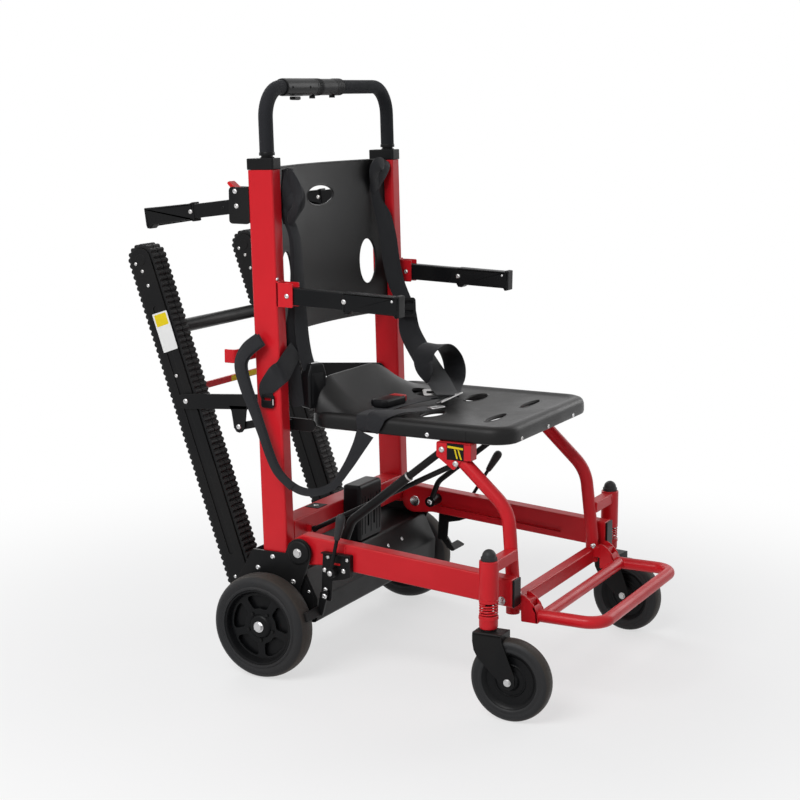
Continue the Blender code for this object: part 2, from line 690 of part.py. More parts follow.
def make_brake(side, sign, plate_face):
    """Make a brake's hand lever and its shoe: the right one is applied, the left one released."""
    released = side == "left"
    lean = BRAKE_APPLIED + (BRAKE_THROW if released else 0)
    pivot_y, pivot_z = BRAKE_LEVER_Y[side], BRAKE_LEVER_Z
    length = BRAKE_LEVER_LENGTH[side]
    x = sign * BRAKE_LEVER_X

    def out(distance):
        return (x, pivot_y - distance * math.sin(lean), pivot_z + distance * math.cos(lean))

    pivot_empty(f"{side}_brake_lever_turn", (x, pivot_y, pivot_z), "rails_fold")
    hub = cylinder("hub", 0.010, (sign * plate_face, x + sign * 0.004), (pivot_y, pivot_z))
    rod = tube("rod", [out(0.0), out(length - 0.030)], 0.0035, resolution=1)
    knob_profile = [(0, 0.024), (0.006, 0.022), (BRAKE_KNOB_RADIUS, 0.013), (0.0075, -0.018), (0.004, -0.026),
                    (0, -0.026)]
    knob = turned("knob", knob_profile, out(length - 0.026), along_x=False, steps=12)
    knob.rotation_euler = (lean, 0, 0)
    lever = combined(hub, [rod, knob])
    lever.name = f"{side}_brake_lever"
    finished(lever, "black_steel", f"{side}_brake_lever_turn")

    shoe_y, shoe_z = BRAKE_SHOE_PIVOT
    pivot_empty(f"{side}_brake_shoe_turn", (x, shoe_y, shoe_z), "rails_fold")
    arm_x = (sign * plate_face, sign * (plate_face + 0.006))
    to_tyre = WHEEL_RADIUS + GAP
    centre = Vector((0, AXLE_Z))
    angles = [math.radians(a) for a in (158, 163, 168)]
    face = [tuple(centre + to_tyre * Vector((math.cos(a), math.sin(a)))) for a in angles]
    back = [tuple(centre + (to_tyre + 0.005) * Vector((math.cos(a), math.sin(a)))) for a in reversed(angles)]
    wide = side_plate("foot", [face + back], (sign * (plate_face + 0.002), sign * (WHEEL_X + 0.010)))
    arm_points = [(shoe_y - 0.009, shoe_z + 0.012), (back[0][0] - 0.002, back[0][1] - 0.002),
                  (back[0][0] + 0.006, back[0][1] + 0.001), (back[-1][0] + 0.001, back[-1][1] + 0.001),
                  (shoe_y + 0.009, shoe_z + 0.008)]
    arm = side_plate(f"{side}_brake_shoe", [arm_points], arm_x)
    shoe = combined(arm, [wide])
    if released:
        spun = Matrix.Translation((0, shoe_y, shoe_z)) @ Matrix.Rotation(-BRAKE_SHOE_THROW, 4, "X")
        shoe.matrix_world = spun @ Matrix.Translation((0, -shoe_y, -shoe_z)) @ shoe.matrix_world
    finished(shoe, "black_steel", f"{side}_brake_shoe_turn")


def leg_points(sign):
    """Return the route of a leg tube from its foot to the seat bracket."""
    return [(sign * LEG_X, -0.469, 0.163), (sign * LEG_X, -0.469, 0.215), (sign * 0.188, -0.455, 0.350),
            (sign * LEG_TOP_X, -0.352, 0.444)]


def make_front_frame():
    """Make the welded front frame: both legs, seat brackets, caster arms and housings, cross member."""
    pivot_empty("front_frame_level", (0, *FRAME_PIVOT), "rails_fold")
    (low_y, low_z), (high_y, high_z) = CROSS_MEMBER
    frame = box("front_frame", (-LEG_X, low_y, low_z), (LEG_X, high_y, high_z), 0.002)
    plate = [(-0.385, SEAT_Z[0] - 0.0005), (-0.385, 0.436), (-0.369, 0.436), (-0.353, 0.416), (-0.318, 0.440),
             (-0.318, SEAT_Z[0] - 0.0005)]
    shapes = []
    for sign in (-1, 1):
        shapes.append(tube("leg", leg_points(sign), LEG_RADIUS, 0.055))
        shapes.append(side_plate("seat_plate", [rounded(plate, 0.003)], [sign * x for x in SEAT_PLATE_X]))
        shapes.append(box("flange", *ordered((sign * 0.180, -0.388, 0.436),
                                             (sign * SEAT_PLATE_X[1], -0.384, SEAT_Z[0] - 0.0005))))
        arm_y = CASTER_Y
        shapes.append(box("arm", *ordered((sign * LEG_X, arm_y - ARM_DEPTH / 2, ARM_Z[0]),
                                          (sign * CASTER_X, arm_y + ARM_DEPTH / 2, ARM_Z[1]))))
        housing = turned("housing", [(0, CASTER_HOUSING_Z[1]), (CASTER_HOUSING_RADIUS, CASTER_HOUSING_Z[1]),
                                     (CASTER_HOUSING_RADIUS, CASTER_HOUSING_Z[0]), (0, CASTER_HOUSING_Z[0])],
                         (sign * CASTER_X, CASTER_Y, 0), along_x=False, steps=16)
        shapes.append(housing)
        shapes.append(cylinder("pivot_spacer", 0.0075, (sign * LEG_X, sign * (RAIL_X[0] - GAP)), FRAME_PIVOT))
        shapes.append(box("foot_lug", *ordered(
            (sign * (FOOTREST_X - 0.0145), FOOTREST_PIVOT[0] - 0.010, FOOTREST_PIVOT[1] - 0.012),
            (sign * (FOOTREST_X + 0.0105), -0.470, FOOTREST_PIVOT[1] + 0.010))))
    shapes.append(cylinder("rod_pin", 0.004, (GAS_X - 0.004 - GAP, -SEAT_PLATE_X[1] + 0.001), ROD_BOLT))
    frame = combined(frame, shapes)
    bores = [turned("bore", [(0, 0.4), (STEM_RADIUS + GAP, 0.4), (STEM_RADIUS + GAP, 0.1), (0, 0.1)],
                    (sign * CASTER_X, CASTER_Y, 0), along_x=False, steps=16) for sign in (-1, 1)]
    for bore in bores:
        bore.rotation_euler.z = 0.1
    finished(combined(frame, bores, "DIFFERENCE"), "red_paint", "front_frame_level")


def make_footrest():
    """Make the folding footrest: a bow of tube, a rear bar and the two channels that hold it."""
    pivot_empty("footrest_fold", (0, *FOOTREST_PIVOT), "front_frame_level")
    x, z = FOOTREST_X, FOOTREST_Z
    start_y = FOOTREST_PIVOT[0] - 0.016
    bow = tube("footrest", [(-x, start_y, z), (-x, FOOTREST_FRONT_Y, z), (x, FOOTREST_FRONT_Y, z), (x, start_y, z)],
               FOOTREST_RADIUS, FOOTREST_BEND)
    shapes = [tube("rear_bar", [(-x, FOOTREST_BAR_Y, z), (x, FOOTREST_BAR_Y, z)], FOOTREST_RADIUS - 0.001)]
    pivot_y, pivot_z = FOOTREST_PIVOT
    bottom = z - FOOTREST_RADIUS - 0.0005
    outline = rounded([(pivot_y + 0.010, pivot_z + 0.018), (pivot_y - 0.019, pivot_z - 0.004),
                       (pivot_y - 0.025, bottom), (pivot_y + 0.008, bottom)], 0.003)
    for sign in (-1, 1):
        outer = (x + 0.0105 + GAP, x + 0.0105 + GAP + CHEEK)
        inner = (x - 0.0145 - GAP - CHEEK, x - 0.0145 - GAP)
        shapes.append(side_plate("outer_cheek", [outline], [sign * v for v in outer]))
        shapes.append(side_plate("inner_cheek", [outline], [sign * v for v in inner]))
        shapes.append(box("web", *ordered((sign * inner[0], pivot_y - 0.024, bottom),
                                          (sign * outer[1], pivot_y - 0.014, z - 0.005))))
    finished(combined(bow, shapes), "red_paint", "footrest_fold")


def spring_points(sign):
    """Return the route of a caster spring: straight seats at both ends and even turns between them."""
    low, high = COLLAR_Z[1] + GAP + SPRING_WIRE, CASTER_HOUSING_Z[0] - GAP - SPRING_WIRE
    radius = CASTER_HOUSING_RADIUS - SPRING_WIRE - 0.003
    per_turn = SPRING_POINTS
    count = int(SPRING_TURNS * per_turn)
    lead = 2 * SPRING_WIRE
    points = []
    for i in range(count + 1):
        angle = TURN * i / per_turn
        points.append((sign * CASTER_X + radius * math.cos(angle), CASTER_Y + radius * math.sin(angle),
                       low + (high - low) * i / count))
    first = Vector(points[0]) - Vector((0, lead, 0))
    end_angle = TURN * count / per_turn
    last = Vector(points[-1]) + lead * Vector((-math.sin(end_angle), math.cos(end_angle), 0))
    return [first, *points, last]


def spring_gap(points):
    """Return the least gap between neighbouring turns of a spring, from its points."""
    steps = SPRING_POINTS
    nearest = min((Vector(a) - Vector(b)).length for i, a in enumerate(points) for b in points[i + steps - 2:])
    return nearest - 2 * SPRING_WIRE


def make_casters():
    """Make the sprung caster stems, their springs, the swivelling forks and the wheels."""
    for side, sign in SIDES.items():
        x, y = sign * CASTER_X, CASTER_Y
        pivot_empty(f"{side}_caster_slide", (x, y, COLLAR_Z[1]), "front_frame_level")
        top = CASTER_HOUSING_Z[1] + GAP
        stem_profile = [(0, DOME_TOP_Z), (0.006, DOME_TOP_Z - 0.001), (0.011, DOME_TOP_Z - 0.006),
                        (DOME_RADIUS, DOME_TOP_Z - 0.014), (DOME_RADIUS, top), (STEM_RADIUS, top),
                        (STEM_RADIUS, COLLAR_Z[1]), (CASTER_HOUSING_RADIUS, COLLAR_Z[1]),
                        (CASTER_HOUSING_RADIUS, COLLAR_Z[0]), (0, COLLAR_Z[0])]
        stem = turned(f"{side}_caster_stem", stem_profile, (x, y, 0), along_x=False, steps=16)
        finished(stem, "red_paint", f"{side}_caster_slide")
        points = spring_points(sign)
        spring = tube(f"{side}_caster_spring", points, SPRING_WIRE, resolution=1)
        print(f"{side} caster spring: least gap {spring_gap(points) * 1000:.2f} mm")
        finished(baked(spring), "red_paint", "front_frame_level")

        swivel = f"{side}_caster_swivel"
        pivot_empty(swivel, (x, y, COLLAR_Z[0]), f"{side}_caster_slide", CASTER_TURN[side])
        plate_top = COLLAR_Z[0] - GAP
        plate_bottom = plate_top - FORK_PLATE_THICKNESS
        inner = CASTER_WHEEL_WIDTH / 2 + 0.0015
        outer = inner + CHEEK
        axle_y, axle_z = y - CASTER_TRAIL, CASTER_WHEEL_RADIUS
        rear = y + FORK_REAR
        plate = box(f"{side}_caster_fork", (x - outer, y - 0.033, plate_bottom), (x + outer, rear, plate_top))
        leg_outline = [(rear, plate_top - 0.001), (y - 0.033, plate_top - 0.001), (y - 0.033, plate_bottom),
                       (axle_y - 0.013, axle_z + 0.004), (axle_y - 0.006, axle_z - 0.012),
                       (axle_y + 0.008, axle_z - 0.011), (axle_y + 0.016, axle_z + 0.004), (rear - 0.006, 0.118),
                       (rear, plate_bottom - 0.012)]
        legs = [side_plate("fork_leg", [leg_outline], (x + s * inner, x + s * outer)) for s in (-1, 1)]
        axle = cylinder("fork_axle", 0.005, (x - outer - 0.003, x + outer + 0.003), (axle_y, axle_z), 16)
        finished(combined(plate, [*legs, axle]), "black_steel", swivel)

        spin = f"{side}_caster_wheel_spin"
        pivot_empty(spin, (x, axle_y, axle_z), swivel)
        half, radius = CASTER_WHEEL_WIDTH / 2, CASTER_WHEEL_RADIUS
        profile = [(0.005 + GAP, half), (0.016, half), (0.018, half - 0.009), (0.046, half - 0.009),
                   (0.052, half), (0.067, half), (radius, half - 0.011)]
        profile += [(r, -h) for r, h in reversed(profile)]
        wheel = turned(f"{side}_caster_wheel", profile, (x, axle_y, axle_z), steps=24)
        finished(wheel, "rubber", spin)


def make_seat():
    """Make the hollow seat shell with its rear rise and its openings."""
    pivot_empty("seat_fold", (0, *SEAT_PIVOT))
    half, (front, rear), (bottom, top) = SEAT_HALF_WIDTH, SEAT_Y, SEAT_Z
    corners = [(-half, front), (half, front), (half, rear), (-half, rear)]

    def plan(margin, radius):
        moved = [(x - math.copysign(margin, x), front + margin if y == front else rear - margin)
                 for x, y in corners]
        return rounded(moved, radius, 5)

    shell = flat("seat", [plan(0, 0.045)], top - bottom)
    shell.location = (0, 0, (bottom + top) / 2)
    shell = baked(shell)
    edge = shell.modifiers.new("round", "BEVEL")
    edge.width = 0.005
    hollow = flat("hollow", [plan(SEAT_WALL, 0.037)], 0.040)
    hollow.location = (0, 0, top - SEAT_WALL - 0.020)
    path = filleted(((-0.128, top - 0.004, 0), (-0.086, top + 0.002, 0), (-0.068, 0.526, 0), (-0.061, 0.560, 0)), 0.02)
    rise = side_plate("rise", [ribbon(path, 0.007)], (-RISE_HALF_WIDTH, RISE_HALF_WIDTH))
    shell = combined(shell, [hollow], "DIFFERENCE")
    shell = combined(shell, [rise])
    cutters = []
    for x, y, half_x, half_y in SEAT_HOLES:
        for sign in (-1, 1):
            outline = [(half_x * math.cos(TURN * i / 20), half_y * math.sin(TURN * i / 20)) for i in range(20)]
            cutter = flat("hole", [outline], 0.1)
            cutter.location = (sign * x, y, top)
            cutters.append(cutter)
    finished(combined(shell, cutters, "DIFFERENCE"), "black_plastic", "seat_fold")


def make_struts():
    """Make the two seat struts, which swing from the seat brackets, and the gas spring beside the right one."""
    pivot_empty("strut_swing", (0, *SEAT_BOLT), "front_frame_level")
    for side, sign in SIDES.items():
        radius = STRUT_RADIUS[side]
        x = sign * STRUT_X
        body = tube(f"{side}_strut", [(x, *STRUT_RING), (x, -0.130, 0.292), (x, *STRUT_FOOT)], radius, 0.022)
        rod = tube("rod", [(x, *SEAT_BOLT), (x, *STRUT_RING)], radius * 0.8)
        eye = cylinder("eye", 0.0075, (sign * (SEAT_PLATE_X[0] - GAP), x - sign * 0.007), SEAT_BOLT, 16)
        foot = cylinder("foot", 0.011, (sign * (RAIL_X[0] - GAP), x - sign * 0.006), STRUT_FOOT)
        finished(combined(body, [rod, eye, foot]), "black_steel", "strut_swing")

    start, end = Vector((GAS_X, *GAS_PIVOT)), Vector((GAS_X, *ROD_BOLT))
    along = (end - start).normalized()
    pivot_empty("gas_tube_swing", start)
    tube_body = tube("gas_spring_tube", [start, start + along * GAS_TUBE_LENGTH], GAS_TUBE_RADIUS)
    bore = tube("bore", [start + along * 0.018, end], GAS_BORE)
    tube_body = combined(tube_body, [bore], "DIFFERENCE")
    eye = cylinder("eye", GAS_EYE, (GAS_X - 0.004, GAS_X + 0.004), GAS_PIVOT, 16)
    finished(combined(tube_body, [eye]), "black_steel", "gas_tube_swing")
    pivot_empty("gas_rod_slide", start + along * GAS_TUBE_LENGTH, "gas_tube_swing")
    rod = tube("gas_spring_rod", [start + along * 0.026, end], GAS_ROD_RADIUS)
    eye = cylinder("eye", 0.007, (GAS_X - 0.004, GAS_X + 0.004), ROD_BOLT, 16)
    finished(combined(rod, [eye]), "black_steel", "gas_rod_slide")


def tilted(centre, tilt, points):
    """Return (forward, up) points turned by a tilt about a (y, z) centre, as y and z."""
    return [(centre[0] + a * math.cos(tilt) - b * math.sin(tilt), centre[1] + a * math.sin(tilt) + b * math.cos(tilt))
            for a, b in points]


def make_hand_grips():
    """Make the folding carry handles at the front and the rear of both posts, and the rear ones' latches."""
    for side, sign in SIDES.items():
        x = sign * GRIP_X
        half = GRIP_BAR_WIDTH / 2
        pivot = f"{side}_front_handle_fold"
        pivot_empty(pivot, (x, *FRONT_GRIP_PIVOT))
        tall = FRONT_BAR_HEIGHT / 2
        bar = [(0.010, -tall), (0.010, tall), (-0.126, tall), (-0.126, -tall)]
        grip = [(-0.122, -tall - 0.004), (-0.122, tall + 0.001), (-0.235, tall + 0.001), (-0.236, -tall - 0.004),
                (-0.228, -tall - 0.006), (-0.220, -tall - 0.001), (-0.140, -tall), (-0.130, -tall - 0.007)]
        bar = rounded(tilted(FRONT_GRIP_PIVOT, FRONT_GRIP_TILT, bar), 0.007)
        grip = rounded(tilted(FRONT_GRIP_PIVOT, FRONT_GRIP_TILT, grip), 0.002, 2)
        arm = side_plate(f"{side}_front_handle", [bar], (x - half, x + half))
        sleeve = side_plate("sleeve", [grip], (x - half - 0.003, x + half + 0.003))
        finished(combined(arm, [sleeve]), "black_plastic", pivot)

        pivot = f"{side}_rear_handle_fold"
        pivot_empty(pivot, (x, *REAR_GRIP_PIVOT))
        tall = REAR_BAR_HEIGHT / 2
        bar = [(-0.012, -tall), (0.102, -tall), (0.102, tall), (-0.012, tall)]
        grip = [(0.098, -tall - 0.006), (0.112, -tall - 0.002), (0.196, -tall - 0.004), (0.206, -tall - 0.010),
                (0.211, -tall - 0.006), (0.211, tall + 0.004), (0.098, tall + 0.004)]
        bar = rounded(tilted(REAR_GRIP_PIVOT, -REAR_GRIP_TILT, bar), 0.008)
        grip = rounded(tilted(REAR_GRIP_PIVOT, -REAR_GRIP_TILT, grip), 0.002, 2)
        arm = side_plate(f"{side}_rear_handle", [bar], (x - half, x + half))
        sleeve = side_plate("sleeve", [grip], (x - half - 0.003, x + half + 0.003))
        finished(combined(arm, [sleeve]), "black_plastic", pivot)

        latch_y, latch_z = REAR_GRIP_PIVOT[0] + 0.003, REAR_GRIP_PIVOT[1] + 0.026
        pivot = f"{side}_latch_turn"
        pivot_empty(pivot, (x, latch_y, latch_z))
        outline = [(latch_y - 0.007, latch_z - 0.007), (latch_y + 0.010, latch_z - 0.007),
                   (latch_y + 0.013, latch_z + 0.008), (latch_y + 0.020, latch_z + 0.016),
                   (latch_y + 0.014, latch_z + 0.019), (latch_y + 0.001, latch_z + 0.008),
                   (latch_y - 0.007, latch_z + 0.007)]
        latch = side_plate(f"{side}_handle_latch", [rounded(outline, 0.002)], (x - half, x + half))
        finished(baked(latch), "red_paint", pivot)


def prism(name, outline, thickness):
    """Return a mesh of this outline with its thickness along local Z."""
    bm = bmesh.new()
    face = bm.faces.new([bm.verts.new((x, y, -thickness / 2)) for x, y in outline])
    raised = bmesh.ops.extrude_face_region(bm, geom=[face])["geom"]
    bmesh.ops.translate(bm, vec=(0, 0, thickness), verts=[v for v in raised if isinstance(v, bmesh.types.BMVert)])
    return mesh_object(name, bm)


def track_plate(name, outlines, x_ends, shape=flat):
    """Return a plate whose outlines are given as distances across the track and up it from its foot."""
    obj = shape(name, outlines, abs(x_ends[1] - x_ends[0]))
    place = Matrix.Translation((sum(x_ends) / 2, *TRACK_FOOT)) @ Matrix.Rotation(-TRACK_LEAN, 4, "X")
    obj.matrix_world = place @ Matrix.Rotation(math.pi / 2, 4, "Z") @ Matrix.Rotation(math.pi / 2, 4, "X")
    return obj


def on_track(along, across):
    """Return the (y, z) at a distance up the track from its foot and across it towards the rear."""
    sine, cosine = math.sin(TRACK_LEAN), math.cos(TRACK_LEAN)
    return (TRACK_FOOT[0] + along * sine + across * cosine, TRACK_FOOT[1] + along * cosine - across * sine)


def belt_outline():
    """Return the belt's toothed outer outline, across and up the track."""
    root = TRACK_ROLLER_RADIUS + GAP + BELT_THICKNESS
    tip = root + TOOTH_HEIGHT
    straight = TRACK_LENGTH
    arc = math.pi * root
    total = 2 * (straight + arc)
    count = round(total / TOOTH_PITCH)

    def at(distance, height):
        distance %= total
        if distance < straight:
            return (height, distance)
        distance -= straight
        if distance < arc:
            angle = distance / root
            return (height * math.cos(angle), straight + height * math.sin(angle))
        distance -= arc
        if distance < straight:
            return (-height, straight - distance)
        angle = (distance - straight) / root
        return (-height * math.cos(angle), -height * math.sin(angle))

    points = []
    for i in range(count):
        for share, height in ((0.0, root), (0.5, tip)):
            points.append(at((i + share) / count * total, height))
    return points


def make_tracks():
    """Make the stair tracks: the frame that swings at its foot, belts, idlers, drive shaft and props."""
    pivot_empty("track_fold", (0, *TRACK_FOOT))
    top = on_track(TRACK_LENGTH, 0)
    radius, half = TRACK_ROLLER_RADIUS, TRACK_WIDTH / 2
    shaft, pin = 0.008, 0.006
    shapes = []
    for sign in (-1, 1):
        core = [(-radius, radius + 0.004), (radius, radius + 0.004),
                (radius, TRACK_LENGTH - radius - 0.004), (-radius, TRACK_LENGTH - radius - 0.004)]
        edge = half - TRACK_PLATE / 2
        shapes.append(track_plate("core", [core], (sign * TRACK_X - edge, sign * TRACK_X + edge)))
        for face in (-1, 1):
            outlines = [stadium((0, 0), (0, TRACK_LENGTH), radius - 0.001, 8), circle((0, 0), shaft + GAP, 16),
                        circle((0, TRACK_LENGTH), pin + GAP, 16)]
            x = sign * TRACK_X + face * half
            shapes.append(track_plate("plate", outlines, (x, x - face * TRACK_PLATE)))
    cross = cylinder("track_frame", TRACK_TUBE_RADIUS, (-(TRACK_X - half + 0.002), TRACK_X - half + 0.002),
                     on_track(TRACK_TUBE_ALONG, 0))
    finished(combined(cross, shapes), "black_steel", "track_fold")
    tie_y, tie_z = on_track(TIE_BAR_ALONG, -radius + 0.007)
    tie_x = TRACK_X - half - GAP
    tie = box("track_tie_bar", (-tie_x, tie_y - 0.003, tie_z - 0.0065), (tie_x, tie_y + 0.003, tie_z + 0.0065))
    finished(tie, "red_paint", "track_fold")

    inner = half - TRACK_PLATE - 2 * GAP
    for side, sign in SIDES.items():
        belt = track_plate(f"{side}_track_belt", belt_outline(),
                           (sign * TRACK_X - inner, sign * TRACK_X + inner), prism)
        loop = track_plate("loop", stadium((0, 0), (0, TRACK_LENGTH), radius + GAP, 12),
                           (sign * TRACK_X - half, sign * TRACK_X + half), prism)
        finished(combined(belt, [loop], "DIFFERENCE"), "rubber", "track_fold")
        pivot_empty(f"{side}_idler_spin", (sign * TRACK_X, *top), "track_fold")
        profile = [(0, half + GAP), (pin, half + GAP), (pin, inner), (radius, inner)]
        profile += [(r, -x) for r, x in reversed(profile)]
        idler = turned(f"{side}_track_idler", profile, (sign * TRACK_X, *top), steps=18)
        finished(idler, "black_plastic", f"{side}_idler_spin")

    pivot_empty("drive_shaft_spin", (0, *TRACK_FOOT))
    near, far = TRACK_X - inner, TRACK_X + inner
    profile = [(0, POST_OUTER), (shaft, POST_OUTER), (shaft, far), (radius, far), (radius, near), (shaft, near)]
    profile += [(r, -x) for r, x in reversed(profile)]
    finished(turned("track_drive_shaft", profile, (0, *TRACK_FOOT), steps=18), "zinc", "drive_shaft_spin")

    pivot_empty("prop_swing", (0, *PROP_PIVOT))
    bar = stadium(PROP_PIVOT, PROP_TIP, PROP_HALF_HEIGHT, 8)
    lug = [(0.084, 0.498), (0.086, 0.462), (0.090, 0.449), (0.099, 0.446), (0.108, 0.449), (0.112, 0.462),
           (0.118, 0.496)]
    for side, sign in SIDES.items():
        x_ends = [sign * x for x in PROP_X]
        prop = combined(side_plate(f"{side}_track_prop", [bar], x_ends), [side_plate("lug", [lug], x_ends)])
        finished(prop, "black_steel", "prop_swing")


def back_front(x, z):
    """Return the y of the backrest's front face at a place across it and a height."""
    return post_y(z) + BACK_EDGE + BACK_SAG * (1 - (x / (POST_INNER - GAP)) ** 2) - BACK_THICKNESS / 2


def make_harness():
    """Make the plain solids of the shoulder straps, the strap that hangs at the side and the lap belt."""
    routes = {"right": ((-0.222, 0.944), (-0.224, 0.900), (-0.205, 0.800), (-0.165, 0.700), (-0.145, 0.600)),
              "left": ((0.107, 0.925), (0.125, 0.880), (0.149, 0.837), (0.175, 0.685), (0.188, 0.590))}
    before_post = post_y(0) - (POST_DEPTH / 2 + GAP + WEBBING / 2) / math.cos(POST_LEAN)
    (high_x, high_z), (low_x, low_z) = STRAP_CONTACTS
    high_y, low_y = back_front(high_x, high_z), back_front(low_x, low_z)
    lean = math.atan2(high_y - low_y, high_z - low_z)
    before_back = low_y - low_z * math.tan(lean) - GAP - WEBBING / 2 / math.cos(lean)
    planes = {"right": (POST_LEAN, before_post), "left": (lean, before_back)}
    for side, route in routes.items():
        path = filleted([(x, z, 0) for x, z in route], 0.05, 3)
        strap = flat(f"{side}_shoulder_strap", [ribbon(path, STRAP_WIDTH)], WEBBING)
        strap.rotation_euler = (math.pi / 2 - planes[side][0], 0, 0)
        strap.location = (0, planes[side][1], 0)
        shapes = []
        if side == "right":
            middle = before_post + 0.600 * math.tan(POST_LEAN)
            shapes.append(box("buckle", (-0.167, middle - 0.009, 0.568), (-0.123, middle + 0.009, 0.640), 0.003))
        finished(combined(strap, shapes), "webbing")

    route = ((0.036, 0.628), (0.052, 0.600), (0.044, 0.545), (0.014, 0.484), (-0.006, 0.430), (-0.047, 0.371),
             (-0.098, 0.364), (-0.134, 0.374), (-0.181, 0.432), (-0.213, 0.522))
    path = filleted([(y, z, 0) for y, z in route], 0.03, 3)
    strap = side_plate("hanging_strap", [ribbon(path, 0.012)], (STRAP_X - WEBBING / 2, STRAP_X + WEBBING / 2))
    tab = box("tab", (STRAP_X - WEBBING / 2, 0.028, 0.606), (-POST_OUTER - GAP, 0.042, 0.630))
    finished(combined(strap, [tab]), "webbing")

    seat_top = SEAT_Z[1] + GAP
    belt = box("lap_belt", (-0.150, -0.196, seat_top), (0.150, -0.162, seat_top + WEBBING))
    buckle = box("lap_buckle", (-0.076, -0.206, seat_top), (-0.030, -0.152, seat_top + 0.010), 0.002)
    finished(combined(belt, [buckle]), "webbing", "seat_fold")


def main():
    """Build the stretcher."""
    clear_scene()
    bpy.context.scene.collection.children.link(bpy.data.collections.new("stair_climbing_stretcher"))
    make_materials()
    chassis = linked("chassis", None)
    chassis.location = (0, AXLE_Y, 0)
    PLACES["chassis"] = Vector((0, 0, 0))
    for side, sign in SIDES.items():
        make_post(side, sign)
    make_upper_handle()
    make_backrest()
    make_base()
    make_rear_wheels()
    make_rails()
    make_front_frame()
    make_footrest()
    make_casters()
    make_seat()
    make_struts()
    make_hand_grips()
    make_tracks()
    make_harness()


main()
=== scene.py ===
"""Dressed model of a stair climbing stretcher: a folding red chair frame on four wheels and two tracks.

Lengths are in metres. A place in the side view is a pair (y, z) measured from the line on the ground
under the rear axle, as the solids give it: y grows towards the rear and z upwards, and x grows towards
the occupant's left. AXLE_Y moves such a place to the model's own origin.
"""
import logging
import math
from dataclasses import dataclass, field
from enum import Enum
from typing import Callable, Iterable, Sequence

import bmesh
import bpy
from mathutils import Matrix, Vector
from mathutils.bvhtree import BVHTree
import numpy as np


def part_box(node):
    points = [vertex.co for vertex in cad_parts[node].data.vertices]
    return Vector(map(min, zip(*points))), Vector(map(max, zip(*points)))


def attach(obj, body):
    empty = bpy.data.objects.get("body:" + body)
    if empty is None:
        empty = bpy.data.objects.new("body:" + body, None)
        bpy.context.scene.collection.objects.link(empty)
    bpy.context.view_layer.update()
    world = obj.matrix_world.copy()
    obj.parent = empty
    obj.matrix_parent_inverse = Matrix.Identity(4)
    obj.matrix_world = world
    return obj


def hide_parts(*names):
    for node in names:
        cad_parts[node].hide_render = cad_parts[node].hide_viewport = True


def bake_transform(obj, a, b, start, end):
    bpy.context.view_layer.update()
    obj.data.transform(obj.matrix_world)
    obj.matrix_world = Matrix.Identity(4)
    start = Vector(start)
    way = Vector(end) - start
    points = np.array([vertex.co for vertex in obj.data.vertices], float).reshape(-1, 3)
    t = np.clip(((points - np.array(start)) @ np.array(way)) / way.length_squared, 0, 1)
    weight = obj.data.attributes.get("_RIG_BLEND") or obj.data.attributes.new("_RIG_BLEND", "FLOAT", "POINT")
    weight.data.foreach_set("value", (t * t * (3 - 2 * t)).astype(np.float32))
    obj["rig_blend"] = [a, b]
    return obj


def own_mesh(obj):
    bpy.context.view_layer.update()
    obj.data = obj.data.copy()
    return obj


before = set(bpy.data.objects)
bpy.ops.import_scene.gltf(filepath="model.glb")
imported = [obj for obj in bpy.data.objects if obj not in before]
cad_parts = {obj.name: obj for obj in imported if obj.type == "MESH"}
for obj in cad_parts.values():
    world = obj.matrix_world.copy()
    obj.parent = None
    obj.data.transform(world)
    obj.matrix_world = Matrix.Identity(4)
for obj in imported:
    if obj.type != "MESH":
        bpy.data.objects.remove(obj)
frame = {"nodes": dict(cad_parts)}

Shape = bmesh.types.BMesh
Pair = tuple[float, float]
Triple = tuple[float, float, float]
Socket = bpy.types.NodeSocket

LOG = logging.getLogger("stretcher")
TURN = 2 * math.pi
GAP = 0.0003  # left between two pieces that touch
BEAD = 0.0022  # radius of the rolled edge round a moulded opening
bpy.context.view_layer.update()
AXLE_Y = sum(corner.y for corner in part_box("rear_axle")) / 2


class Side(Enum):
    """The occupant's two sides, with the sign of x."""

    RIGHT = -1
    LEFT = 1

    @property
    def word(self) -> str:
        """Return the side's word in the node names."""
        return self.name.lower()


# Paths and places.

def filleted(points: Sequence[Sequence[float]], radius: float, steps: int = 5) -> list[Vector]:
    """Turn each inner corner of a path into an arc.

    Args:
        points: The path's corners.
        radius: The arcs' radius, made smaller where a side is too short.
        steps: The number of parts in each arc.

    Returns:
        The path's points.
    """
    corners = [Vector(p) for p in points]
    path = [corners[0]]
    for before, corner, after in zip(corners, corners[1:], corners[2:]):
        back, ahead = (before - corner).normalized(), (after - corner).normalized()
        half = back.angle(ahead) / 2
        if half > math.radians(89):
            path.append(corner)
            continue
        reach = min(radius / math.tan(half), (before - corner).length * 0.49, (after - corner).length * 0.49)
        centre = corner + (back + ahead).normalized() * reach / math.cos(half)
        start, end = corner + back * reach - centre, corner + ahead * reach - centre
        sweep = start.angle(end)
        for i in range(steps + 1):
            share = i / steps
            blend = start * math.sin((1 - share) * sweep) + end * math.sin(share * sweep)
            path.append(centre + blend / math.sin(sweep))
    return path + [corners[-1]]


def rounded(points: Sequence[Pair], radius: float, steps: int = 4) -> list[Pair]:
    """Return a closed outline with its corners turned into arcs of this radius."""
    raised = [Vector((*p, 0)) for p in points]
    path = []
    for i, corner in enumerate(raised):
        path += filleted((raised[i - 1], corner, raised[(i + 1) % len(raised)]), radius, steps)[1:-1]
    return [(p.x, p.y) for p in path]


